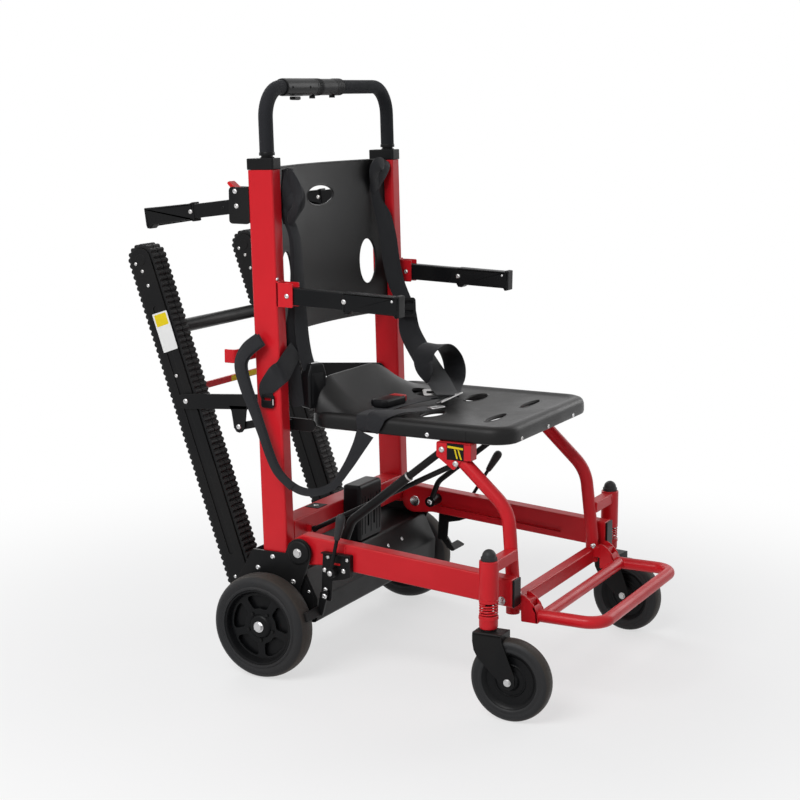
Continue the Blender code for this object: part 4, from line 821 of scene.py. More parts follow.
class Piece:
    """One piece of the dressed model, gathered from shapes that each carry a finish."""

    def __init__(self, node_name: str, slot: str, body: str = "", name: str = "") -> None:
        """Start a piece.

        Args:
            node_name: The solid that it stands for.
            slot: The record's material slot of its main finish; it is kept on the piece but not used.
            body: The body that it rides on, where its name isn't the solid's.
            name: The piece's name, where it isn't made from the solid's.
        """
        self.nodes = (node_name,)
        self.slot = slot
        self.body = body or node_name
        self.name = name or f"{node_name}_dress"
        self.bm = started()
        self.finishes: list[Finishes] = []

    def add(self, shape: Shape, finish: Finishes, place: Matrix = Matrix()) -> None:
        """Add a shape in this finish, moved to its place."""
        if finish not in self.finishes:
            self.finishes.append(finish)
        for face in shape.faces:
            face.material_index = self.finishes.index(finish)
        mesh = bpy.data.meshes.new("part")
        moved(shape, place).to_mesh(mesh)
        shape.free()
        self.bm.from_mesh(mesh)
        bpy.data.meshes.remove(mesh)

    def spun(self, profile: Sequence[Pair], finish: Finishes, place: Sequence[float],
             direction: Sequence[float], steps: int = 24, ring: bool = False) -> None:
        """Add a profile turned about the line that runs through a place in this direction."""
        self.add(turned(profile, steps, ring), finish, facing(place, direction))

    def side_plate(self, outline: Sequence[Pair], x_ends: Pair, finish: Finishes, ease: float = 0.0006,
                   holes: Iterable[Sequence[Pair]] = (), segments: int = 2) -> None:
        """Add a plate that lies in the side view between two x values."""
        shape = plate(outline, abs(x_ends[1] - x_ends[0]), ease, holes, segments)
        self.add(shape, finish, side_view(sum(x_ends) / 2))

    def box(self, first: Triple, second: Triple, finish: Finishes, ease: float = 0.0008,
            segments: int = 2) -> None:
        """Add a block between two corners."""
        low, high = Vector(first), Vector(second)
        size = tuple(abs(v) for v in high - low)
        self.add(block(size, ease, segments), finish, Matrix.Translation((low + high) / 2))

    def bolts(self, places: Iterable[Sequence[float]], direction: Sequence[float], radius: float = 0.005,
              height: float = 0.0025, finish: Finishes = Finishes.ZINC) -> None:
        """Add button heads that look in this direction."""
        for place in places:
            self.add(bolt(radius, height), finish, facing(place, direction))

    def done(self, angle: float = 35, weighted: bool = True, follows: str = "",
             span: Sequence[Triple] = ()) -> bpy.types.Object:
        """Finish the piece.

        Args:
            angle: The angle past which an edge is drawn sharp, in degrees.
            weighted: Whether large faces keep their normals.
            follows: A second body that the piece's far end goes with.
            span: The two places between which the piece bends from one body to the other.

        Returns:
            The piece's object, which rides on its body.
        """
        bmesh.ops.translate(self.bm, vec=(0, AXLE_Y, 0), verts=self.bm.verts)
        mesh = bpy.data.meshes.new(self.name)
        self.bm.to_mesh(mesh)
        self.bm.free()
        for finish in self.finishes:
            mesh.materials.append(finish.value.made())
        mesh.shade_smooth()
        mesh.set_sharp_from_angle(angle=math.radians(angle))
        obj = bpy.data.objects.new(self.name, mesh)
        bpy.context.scene.collection.objects.link(obj)
        if weighted:
            normals = obj.modifiers.new("normals", "WEIGHTED_NORMAL")
            normals.keep_sharp = True
        if follows:
            start, end = (Vector(place) + Vector((0, AXLE_Y, 0)) for place in span)
            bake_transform(obj, self.body, follows, start=tuple(start), end=tuple(end))
        else:
            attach(obj, self.body)
        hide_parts(*self.nodes)
        LOG.info("%s: %d faces, rides on %s", self.name, len(mesh.polygons), self.body)
        return obj


@dataclass
class Posts:
    """The two rear posts with their brackets and caps.

    Attributes:
        x: The middle of a post at either side.
        width: A post's width across the chair.
        depth: Its depth along the chair.
        wall: The thickness of its wall.
        foot_z: The height of its foot.
        top_z: The height of its top.
        lean: How far it leans back.
        cap_height: The height of the cap on it.
        tube_offset: How far the push handle's tube stands behind its middle.
        tube_radius: The radius of that tube.
        grip_x: The middle of a carry handle at either side.
        fork_half: Half the space between the two plates that hold a handle.
        fork_plate: The thickness of those plates.
        front_pivot: The front handles' pivot.
        rear_pivot: The rear handles' pivot.
        seat_pivot: The seat's pivot.
        prop_pivot: The track props' pivot.
    """

    x: float = 0.235
    width: float = 0.032
    depth: float = 0.053
    wall: float = 0.0025
    foot_z: float = 0.230
    top_z: float = 0.950
    lean: float = math.radians(1.7)
    cap_height: float = 0.021
    tube_offset: float = -0.008
    tube_radius: float = 0.011
    grip_x: float = 0.238
    fork_half: float = 0.0103
    fork_plate: float = 0.003
    front_pivot: Pair = (-0.030, 0.721)
    rear_pivot: Pair = (0.072, 0.883)
    seat_pivot: Pair = (-0.052, 0.472)
    prop_pivot: Pair = (0.025, 0.512)

    @property
    def inner(self) -> float:
        """Return the x of the posts' inner faces."""
        return self.x - self.width / 2

    @property
    def outer(self) -> float:
        """Return the x of the posts' outer faces."""
        return self.x + self.width / 2

    def y(self, z: float) -> float:
        """Return the y of a post's centre line at a height."""
        return (z - self.foot_z) * math.tan(self.lean)

    def at(self, x: float, offset: float, z: float) -> Vector:
        """Return the place at this offset behind a post's centre line."""
        return Vector((x, self.y(z) + offset, z))

    def along(self, x: float, z: float, offset: float = 0) -> Matrix:
        """Return the placing of a shape whose local Z runs along the posts."""
        return Matrix.Translation(self.at(x, offset, z)) @ Matrix.Rotation(-self.lean, 4, "X")

    def build(self) -> None:
        """Build both posts."""
        for side in Side:
            self.build_post(side)
            self.build_cap(side)

    def build_post(self, side: Side) -> None:
        """Build a post with its brackets, welds and bolts."""
        sign = side.value
        piece = Piece(f"{side.word}_post", "red_paint", "chassis")
        length = (self.top_z - self.foot_z) / math.cos(self.lean)
        outer = rectangle(self.width, self.depth, 0.0045, steps=5)
        inner = rectangle(self.width - 2 * self.wall, self.depth - 2 * self.wall, 0.002)
        piece.add(plate(outer, length, 0.0003, [inner], 1), Finishes.RED,
                  self.along(sign * self.x, (self.foot_z + self.top_z) / 2))
        self.add_front_bracket(piece, sign)
        self.add_rear_bracket(piece, sign)
        y, z = self.seat_pivot
        piece.side_plate(stadium((y, z), (-0.008, z), 0.012), (sign * 0.2003, sign * 0.2053),
                         Finishes.BLACK_COAT)
        piece.box((sign * 0.2043, -0.016, z - 0.010), (sign * (self.inner + 0.001), 0.002, z + 0.010),
                  Finishes.BLACK_COAT)
        piece.spun([(0, 0.0045), (0.010, 0.0045), (0.010, -0.001), (0, -0.001)], Finishes.BLACK_COAT,
                   (sign * self.inner, *self.prop_pivot), (-sign, 0, 0))
        piece.done()

    def add_front_bracket(self, piece: Piece, sign: int) -> None:
        """Add the red fork that holds the front carry handle."""
        y, z = self.front_pivot
        low, high = z - 0.021, z + 0.024
        back = self.y(z) - self.depth / 2
        x = sign * self.grip_x
        outline = rounded([(y - 0.016, low), (back + 0.001, low), (back + 0.001, high), (y - 0.016, high)],
                          0.0025)
        for edge in (-1, 1):
            near = x + edge * self.fork_half
            piece.side_plate(outline, (near, near + edge * self.fork_plate), Finishes.RED)
        half = self.fork_half + self.fork_plate
        piece.box((x - half, back - 0.0035, low), (x + half, back + 0.001, high), Finishes.RED)
        for way in (sign, -sign):
            piece.bolts([(x + way * half, y - 0.004, z)], (way, 0, 0), 0.0048)
        piece.bolts([(x - 0.010, back, high + 0.006)], (0, -1, 0), 0.0032, 0.0018)
        for level in (high + 0.0006, low - 0.0004):
            weld = [(x - 0.0125, back - 0.0005, level), (x + 0.0125, back - 0.0005, level)]
            piece.add(rod(weld, 0.0016, sides=8), Finishes.RED)

    def add_rear_bracket(self, piece: Piece, sign: int) -> None:
        """Add the black fork that holds the rear carry handle."""
        y, z = self.rear_pivot
        low, high = z - 0.033, z + 0.035
        x = sign * self.grip_x
        outline = rounded([(self.y(low) + self.depth / 2 - 0.001, low), (y + 0.017, low), (y + 0.017, high),
                           (self.y(high) + self.depth / 2 - 0.001, high)], 0.007)
        for edge in (-1, 1):
            near = x + edge * self.fork_half
            out = near + edge * self.fork_plate
            piece.side_plate(outline, (near, out), Finishes.BLACK_COAT, 0.0008)
            piece.bolts([(out, y, z), (out, y + 0.003, z + 0.027)], (edge, 0, 0), 0.005)

    def build_cap(self, side: Side) -> None:
        """Build the plastic cap that closes a post round the handle's tube."""
        sign = side.value
        piece = Piece(f"{side.word}_post_cap", "black_plastic", "chassis", name=f"{side.word}_cap_dress")
        rim = rectangle(self.width + 0.001, self.depth + 0.004, 0.005, steps=5)
        hole = circle((0, self.tube_offset), self.tube_radius + 0.0005, 32)
        low = self.top_z + GAP
        piece.add(plate(rim, self.cap_height - GAP, 0.0014, [hole], 3), Finishes.PLASTIC,
                  self.along(sign * self.x, low + self.cap_height / 2))
        collar = turned([(self.tube_radius + 0.0005, 0), (0.0135, 0), (0.0135, 0.002), (0.0125, 0.003),
                         (self.tube_radius + 0.0005, 0.003)], 32, True)
        top = self.top_z + self.cap_height - 0.0006
        piece.add(collar, Finishes.PLASTIC, self.along(sign * self.x, top, self.tube_offset))
        piece.done()


@dataclass
class PushHandle:
    """The telescopic handle with its foam, its drive module and the rocker under it."""

    posts: Posts
    foam_radius: float = 0.0135
    top_z: float = 1.099
    bend: float = 0.056
    foot_z: float = 0.672
    foam_z: float = 0.977
    module_radius: float = 0.0165
    module: Pair = (-0.176, 0.041)
    switch_x: float = -0.128

    def bow(self, start_z: float, radius: float, sides: int) -> Shape:
        """Return a tube that follows the handle's bow from a height on one side to the same on the other."""
        x = self.posts.x
        corners = [(-x, start_z), (-x, self.top_z), (x, self.top_z), (x, start_z)]
        places = [self.posts.at(a, self.posts.tube_offset, z) for a, z in corners]
        return rod(places, radius, self.bend, sides, 12)

    def build(self) -> None:
        """Build the handle, its module and its rocker."""
        posts = self.posts
        piece = Piece("upper_handle", "grey_foam", "push_handle", name="push_handle_dress")
        piece.add(self.bow(self.foot_z, posts.tube_radius, 24), Finishes.BLACK_COAT)
        piece.add(self.bow(self.foam_z + 0.001, self.foam_radius, 32), Finishes.FOAM)
        for sign in (-1, 1):
            ferrule = turned([(posts.tube_radius, 0), (0.0142, 0), (0.0146, 0.001), (0.0146, 0.005),
                              (0.0138, 0.0065), (posts.tube_radius, 0.0065)], 32, True)
            piece.add(ferrule, Finishes.PLASTIC,
                      posts.along(sign * posts.x, self.foam_z - 0.001, posts.tube_offset))
            slack = 2 * posts.wall + 0.0006
            guide = rectangle(posts.width - slack, posts.depth - slack, 0.002)
            piece.add(plate(guide, 0.030, 0.0005), Finishes.PLASTIC,
                      posts.along(sign * posts.x, self.foot_z + 0.014))
        piece.done()
        self.build_module()

    def build_module(self) -> None:
        """Build the sleeve that holds the drive switch, and the rocker under it."""
        low, high = self.module
        y = self.posts.y(self.top_z) + self.posts.tube_offset
        bore, wall = self.foam_radius + GAP, self.module_radius
        piece = Piece("control_module", "black_plastic", "push_handle", name="drive_module_dress")
        profile = [(bore, low), (wall - 0.0018, low), (wall - 0.0005, low + 0.001), (wall, low + 0.004)]
        profile += [(wall, -0.066), (wall - 0.001, -0.0655), (wall - 0.001, -0.0645), (wall, -0.064)]
        for start, end in ((-0.062, -0.042), (0.014, 0.038)):
            count = int((end - start) / 0.004)
            for i in range(count):
                x = start + (end - start) * i / count
                profile += [(wall, x), (wall, x + 0.0022), (wall - 0.0010, x + 0.0027),
                            (wall - 0.0010, x + 0.0034)]
            if start < 0:
                profile += [(wall - 0.0002, -0.040), (wall - 0.0008, -0.038), (wall - 0.0008, 0.010),
                            (wall - 0.0002, 0.012)]
        profile += [(wall, high - 0.0025), (wall - 0.0018, high), (bore, high)]
        piece.spun(profile, Finishes.PLASTIC, (0, y, self.top_z), (1, 0, 0), 40, ring=True)
        for x in (-0.160, -0.096):
            piece.add(bolt(0.003, 0.0016), Finishes.BLACK_COAT,
                      facing((x, y - 0.0158, self.top_z), (0, -1, 0)))
        bottom = self.top_z - wall
        piece.box((self.switch_x - 0.017, y - 0.0095, bottom + 0.0002),
                  (self.switch_x + 0.017, y + 0.0075, bottom + 0.006), Finishes.PLASTIC, 0.0018, 3)
        for x, drop in ((-0.0635, 0.005), (0.0125, 0.004)):
            piece.box((x - 0.0015, y - 0.006, bottom - drop), (x + 0.0015, y + 0.006, bottom + 0.003),
                      Finishes.PLASTIC, 0.0006)
        piece.done()
        switch = Piece("drive_switch", "black_plastic")
        y -= 0.001
        outline = rounded([(-0.011, -0.0066), (-0.004, -0.0075), (0.004, -0.0075), (0.011, -0.0066),
                           (0.0105, -0.0006), (-0.0105, -0.0006)], 0.0012)
        switch.add(plate(outline, 0.012, 0.001, segments=3), Finishes.PLASTIC,
                   Matrix.Translation((self.switch_x, y, bottom)) @ Matrix.Rotation(math.pi / 2, 4, "X"))
        switch.done()


@dataclass
class Backrest:
    """The sagging moulded back sheet with its three openings."""

    posts: Posts
    low_z: float = 0.638
    high_z: float = 0.953
    edge: float = -0.006
    sag: float = 0.028
    thickness: float = 0.003
    oval: tuple = (0.0, 0.890, 0.053, 0.021)
    slot: tuple = (0.160, 0.747, 0.0275, 0.048)

    def front(self, x: float, z: float) -> float:
        """Return the y of the sheet's middle at a place across it and a height."""
        half = self.posts.inner - GAP
        return self.posts.y(z) + self.edge + self.sag * (1 - (x / half) ** 2)

    def drill(self, x: float, z: float, half_x: float, half_z: float) -> Shape:
        """Return the tool that cuts an oval opening."""
        place = Matrix.Translation((x, self.posts.y(z), z)) @ Matrix.Rotation(math.pi / 2, 4, "X")
        return moved(plate(ellipse((0, 0), half_x, half_z, 64), 0.12, 0), place)

    def build(self) -> None:
        """Build the sheet from a grid that is bent, thickened and cut."""
        half = self.posts.inner - 0.0004
        bm = started()
        bmesh.ops.create_grid(bm, x_segments=48, y_segments=36, size=1)
        for vert in bm.verts:
            x = vert.co.x * half
            z = self.low_z + (vert.co.y + 1) / 2 * (self.high_z - self.low_z)
            vert.co = (x, self.front(x, z), z)
        bmesh.ops.recalc_face_normals(bm, faces=bm.faces)
        bmesh.ops.solidify(bm, geom=bm.faces[:], thickness=self.thickness)
        bmesh.ops.recalc_face_normals(bm, faces=bm.faces)
        holes = [self.oval, self.slot, (-self.slot[0], *self.slot[1:])]
        sheet = cut(bm, *(self.drill(*hole) for hole in holes))
        middle = sum(v.co.y - self.front(v.co.x, v.co.z) for v in sheet.verts) / len(sheet.verts)
        bmesh.ops.translate(sheet, vec=(0, -middle, 0), verts=sheet.verts)
        piece = Piece("backrest", "black_plastic", "chassis")
        piece.add(sheet, Finishes.SHELL)
        for x, z, half_x, half_z in holes:
            rim = [(x + (half_x - 0.0004) * math.cos(a), z + (half_z - 0.0004) * math.sin(a))
                   for a in [TURN * i / 64 for i in range(64)]]
            path = [Vector((a, self.front(a, b), b)) for a, b in rim]
            piece.add(swept(path, circle((0, 0), BEAD, 8), loop=True), Finishes.SHELL)
        for z in (self.low_z + 0.0012, self.high_z - 0.0012):
            path = [Vector((x, self.front(x, z), z)) for x in [half * (i / 16 - 1) for i in range(33)]]
            piece.add(rod(path, 0.0021, sides=8), Finishes.SHELL)
        for x in (-0.209, 0.209):
            for z in (0.650, 0.796, 0.942):
                piece.bolts([(x, self.front(x, z) - 0.0015, z)], (-0.25 * math.copysign(1, x), -1, 0), 0.0042,
                            0.002)
        piece.done(30, False)


@dataclass
class Base:
    """The cross beam, strap bracket, side plates, drive housing, battery and axle."""

    posts: Posts
    axle_z: float = 0.100
    pivot: Pair = (-0.056, 0.238)
    boss: float = 0.026
    plate_thickness: float = 0.006
    wheel_x: float = 0.295
    battery_x: Pair = (-0.035, 0.059)
    battery_y: Pair = (-0.0653, -0.0253)
    battery_z: Pair = (0.2048, 0.320)

    def build(self) -> None:
        """Build the base."""
        self.build_beam()
        self.build_strap_bracket()
        for side in Side:
            self.build_side_plate(side)
        self.build_housing()
        self.build_battery()
        self.build_axle()

    def build_beam(self) -> None:
        """Build the red cross beam with its lug."""
        half = self.posts.inner - GAP
        piece = Piece("base_beam", "red_paint", "chassis")
        section = rounded([(-0.025, 0.236), (0.020, 0.236), (0.020, 0.288), (-0.025, 0.288)], 0.004)
        hollow = rounded([(-0.0225, 0.2385), (0.0175, 0.2385), (0.0175, 0.2855), (-0.0225, 0.2855)], 0.002)
        piece.side_plate(section, (-half, half), Finishes.RED, 0.0003, [hollow], 1)
        piece.box((-0.172, -0.0337, 0.255), (-0.164, -0.024, 0.269), Finishes.RED, 0.001)
        piece.bolts([(-0.100, -0.003, 0.288), (0.100, -0.003, 0.288)], (0, 0, 1), 0.0055)
        piece.box((-0.118, -0.018, 0.288), (-0.082, 0.012, 0.2892), Finishes.BLACK_COAT, 0.0004)
        piece.done()

    def build_strap_bracket(self) -> None:
        """Build the bent red bracket that is welded inside the right post and reaches out behind it."""
        inner, outer = -0.160, -0.2485
        near, back, end = 0.042, 0.0825, 0.105
        weld = -self.posts.inner + 0.0028
        plan = [(weld, 0.018), (weld, near), (inner, near), (inner, back), (outer, back), (outer, end)]
        route = filleted([(x, y, 0.600) for x, y in plan], 0.008, 6)
        bar = rectangle(0.026, 0.005, 0.002)
        piece = Piece("strap_bracket", "red_paint", "chassis")
        piece.add(swept(route, [(b, a) for a, b in bar][::-1], [Vector((0, 0, 1))] * len(route)),
                  Finishes.RED)
        piece.done()

    def build_side_plate(self, side: Side) -> None:
        """Build a side plate with its boss, its bolts and the rail's pivot."""
        sign = side.value
        piece = Piece(f"{side.word}_side_plate", "black_steel", "chassis")
        y, z = self.pivot
        outline = [(0.046, self.posts.foot_z + 0.003), (-0.026, self.posts.foot_z + 0.003),
                   (-0.034, z + 0.015)]
        outline += arc((y, z), self.boss, range(40, 201, 8))
        outline += [(-0.058, 0.167), (-0.062, 0.100), (-0.040, 0.074), (0.070, 0.066), (0.112, 0.072),
                    (0.116, 0.118), (0.070, 0.190)]
        near = self.posts.outer + GAP
        far = near + self.plate_thickness
        piece.side_plate(outline, (sign * near, sign * far), Finishes.BLACK_COAT, 0.0008,
                         [circle((0, self.axle_z), 0.0083, 24)])
        boss = turned([(0, 0.004), (0.0195, 0.004), (0.0215, 0.0034), (0.0228, 0.002), (0.0228, -0.001),
                       (0, -0.001)], 40)
        piece.add(boss, Finishes.BLACK_COAT, facing((sign * far, y, z), (sign, 0, 0)))
        piece.spun([(0, 0.0075), (0.014, 0.0075), (0.014, -0.001), (0, -0.001)], Finishes.BLACK_COAT,
                   (sign * near, y, z), (-sign, 0, 0))
        piece.add(hexagon(0.0072, 0.0035), Finishes.ZINC, facing((sign * (far + 0.004), y, z), (sign, 0, 0)))
        piece.bolts([(sign * far, 0.001, 0.223), (sign * far, 0.034, 0.198), (sign * far, 0.088, 0.146),
                     (sign * far, -0.044, 0.180)], (sign, 0, 0), 0.0052)
        piece.box((sign * near, 0.044, 0.200), (sign * (self.posts.inner - 0.0005), 0.0462, 0.2325),
                  Finishes.BLACK_COAT, 0.0006)
        piece.done()

    def build_housing(self) -> None:
        """Build the housing of the track drive with its covers and screws."""
        piece = Piece("drive_housing", "drive_cover", "chassis")
        outline = [(-0.090, 0.103), (-0.050, 0.103), (-0.036, 0.113), (0.045, 0.113), (0.045, 0.2045),
                   (-0.064, 0.2045), (-0.092, 0.150)]
        half = self.posts.outer
        piece.side_plate(rounded(outline, 0.008), (-half + 0.0015, half - 0.0015), Finishes.BLACK_COAT, 0.001)
        for sign in (-1, 1):
            inner = [(y * 0.9 - 0.003, 0.159 + (z - 0.159) * 0.86) for y, z in outline]
            piece.side_plate(rounded(inner, 0.009), (sign * (half - 0.002), sign * half), Finishes.BLACK_COAT,
                             0.0006)
            screws = ((-0.078, 0.121), (-0.074, 0.163), (-0.030, 0.190), (0.030, 0.124))
            piece.bolts([(sign * half, y, z) for y, z in screws], (sign, 0, 0), 0.0035, 0.002)
        for x in (-0.150, -0.090, -0.020, 0.060, 0.120):
            piece.bolts([(x, -0.0781, 0.178)], (0, -0.89, 0.46), 0.004, 0.002)
        piece.done()

    def build_battery(self) -> None:
        """Build the battery pack with its ribs, its latch and its slots."""
        piece = Piece("battery_pack", "black_plastic", "chassis", name="battery_dress")
        (x0, x1), (y0, y1), (z0, z1) = self.battery_x, self.battery_y, self.battery_z
        middle = (x0 + x1) / 2
        body = block((x1 - x0, y1 - y0, z1 - z0), 0.007, 4)
        shape = moved(body, Matrix.Translation((middle, (y0 + y1) / 2, (z0 + z1) / 2)))
        low, high = 0.232, 0.288
        slots = [moved(block((0.006, 0.012, high - low), 0.002),
                       Matrix.Translation((x, y0, (low + high) / 2))) for x in (0.0, 0.024)]
        piece.add(cut(shape, *slots), Finishes.PLASTIC)
        for x in (-0.024, -0.012, 0.012, 0.036, 0.048):
            piece.box((x - 0.0012, y0 - 0.0008, 0.218), (x + 0.0012, y0 + 0.002, 0.296), Finishes.PLASTIC,
                      0.0006)
        piece.box((middle - 0.022, y0 + 0.008, z1 - 0.004), (middle + 0.022, y1 - 0.008, z1 - 0.0002),
                  Finishes.PLASTIC, 0.0016, 3)
        piece.box((x1 - 0.002, y0 + 0.010, 0.262), (x1, y1 - 0.010, 0.290), Finishes.RIM, 0.0008)
        piece.done()

    def build_axle(self) -> None:
        """Build the rear axle with its end bolts."""
        piece = Piece("rear_axle", "zinc", "chassis")
        nut = self.wheel_x + 0.0173
        piece.spun([(0, nut), (0.008, nut), (0.008, -nut), (0, -nut)], Finishes.ZINC, (0, 0, self.axle_z),
                   (1, 0, 0))
        for sign in (-1, 1):
            end = facing((sign * nut, 0, self.axle_z), (sign, 0, 0))
            piece.add(hexagon(0.0086, 0.0048), Finishes.ZINC, end)
        piece.done()


@dataclass
class Wheels:
    """The rear wheels, their tyres round a moulded rim with five pockets."""

    base: Base
    radius: float = 0.100
    pockets: int = 5
    first_pocket: float = 0.35

    def tyre(self) -> list[Pair]:
        """Return the tyre's profile from its near bead over the crown to its far one."""
        side = [(0.0720, 0.0215), (0.0735, 0.0240), (0.0765, 0.0248), (0.0790, 0.0232), (0.0810, 0.0236),
                (0.0850, 0.0250), (0.0885, 0.0246), (0.0925, 0.0226), (0.0955, 0.0192), (0.0975, 0.0160),
                (0.0978, 0.0150), (0.0992, 0.0100), (0.0999, 0.0050)]
        return mirrored(side, (self.radius, 0.0))

    def build(self) -> None:
        """Build both rear wheels."""
        for side in Side:
            piece = Piece(f"{side.word}_rear_wheel", "rubber")
            place = facing((side.value * self.base.wheel_x, 0, self.base.axle_z), (side.value, 0, 0))
            piece.add(turned(self.tyre(), 72, True), Finishes.TYRE, place)
            rim = Finishes.PLASTIC
            lip = [(0.0740, 0.0215), (0.0715, 0.0228), (0.0690, 0.0222), (0.0672, 0.0190), (0.0655, 0.0130),
                   (0.0640, 0.0105), (0.0640, 0.0060)]
            piece.add(turned(mirrored(lip), 60, True), rim, place)
            hub = [(0.0083, 0.0170), (0.0175, 0.0170), (0.0200, 0.0160), (0.0225, 0.0135), (0.0245, 0.0095),
                   (0.0300, 0.0060)]
            piece.add(turned(mirrored(hub), 48, True), rim, place)
            holes = []
            for i in range(self.pockets):
                middle = TURN * i / self.pockets + self.first_pocket
                corners = [(0.0345, middle + 0.42 * s) for s in (-1, 0, 1)]
                corners += [(0.0600, middle + 0.50 * s) for s in (1, 0.5, 0, -0.5, -1)]
                holes.append(rounded([(r * math.cos(a), r * math.sin(a)) for r, a in corners], 0.007, 4))
            web = plate(circle((0, 0), 0.0655, 60), 0.0040, 0.0012, [*holes, circle((0, 0), 0.0200, 32)])
            piece.add(moved(web, Matrix.Translation((0, 0, 0.0092))), rim, place)
            piece.add(turned([(0.022, 0.002), (0.066, 0.002), (0.066, -0.008), (0.022, -0.008)], 48, True),
                      rim, place)
            for i in range(self.pockets):
                angle = TURN * (i + 0.5) / self.pockets + self.first_pocket
                spot = Matrix.Translation((0.0275 * math.cos(angle), 0.0275 * math.sin(angle), 0.0112))
                piece.add(hexagon(0.0030, 0.0022), Finishes.BLACK_COAT, place @ spot)
            piece.done(40)


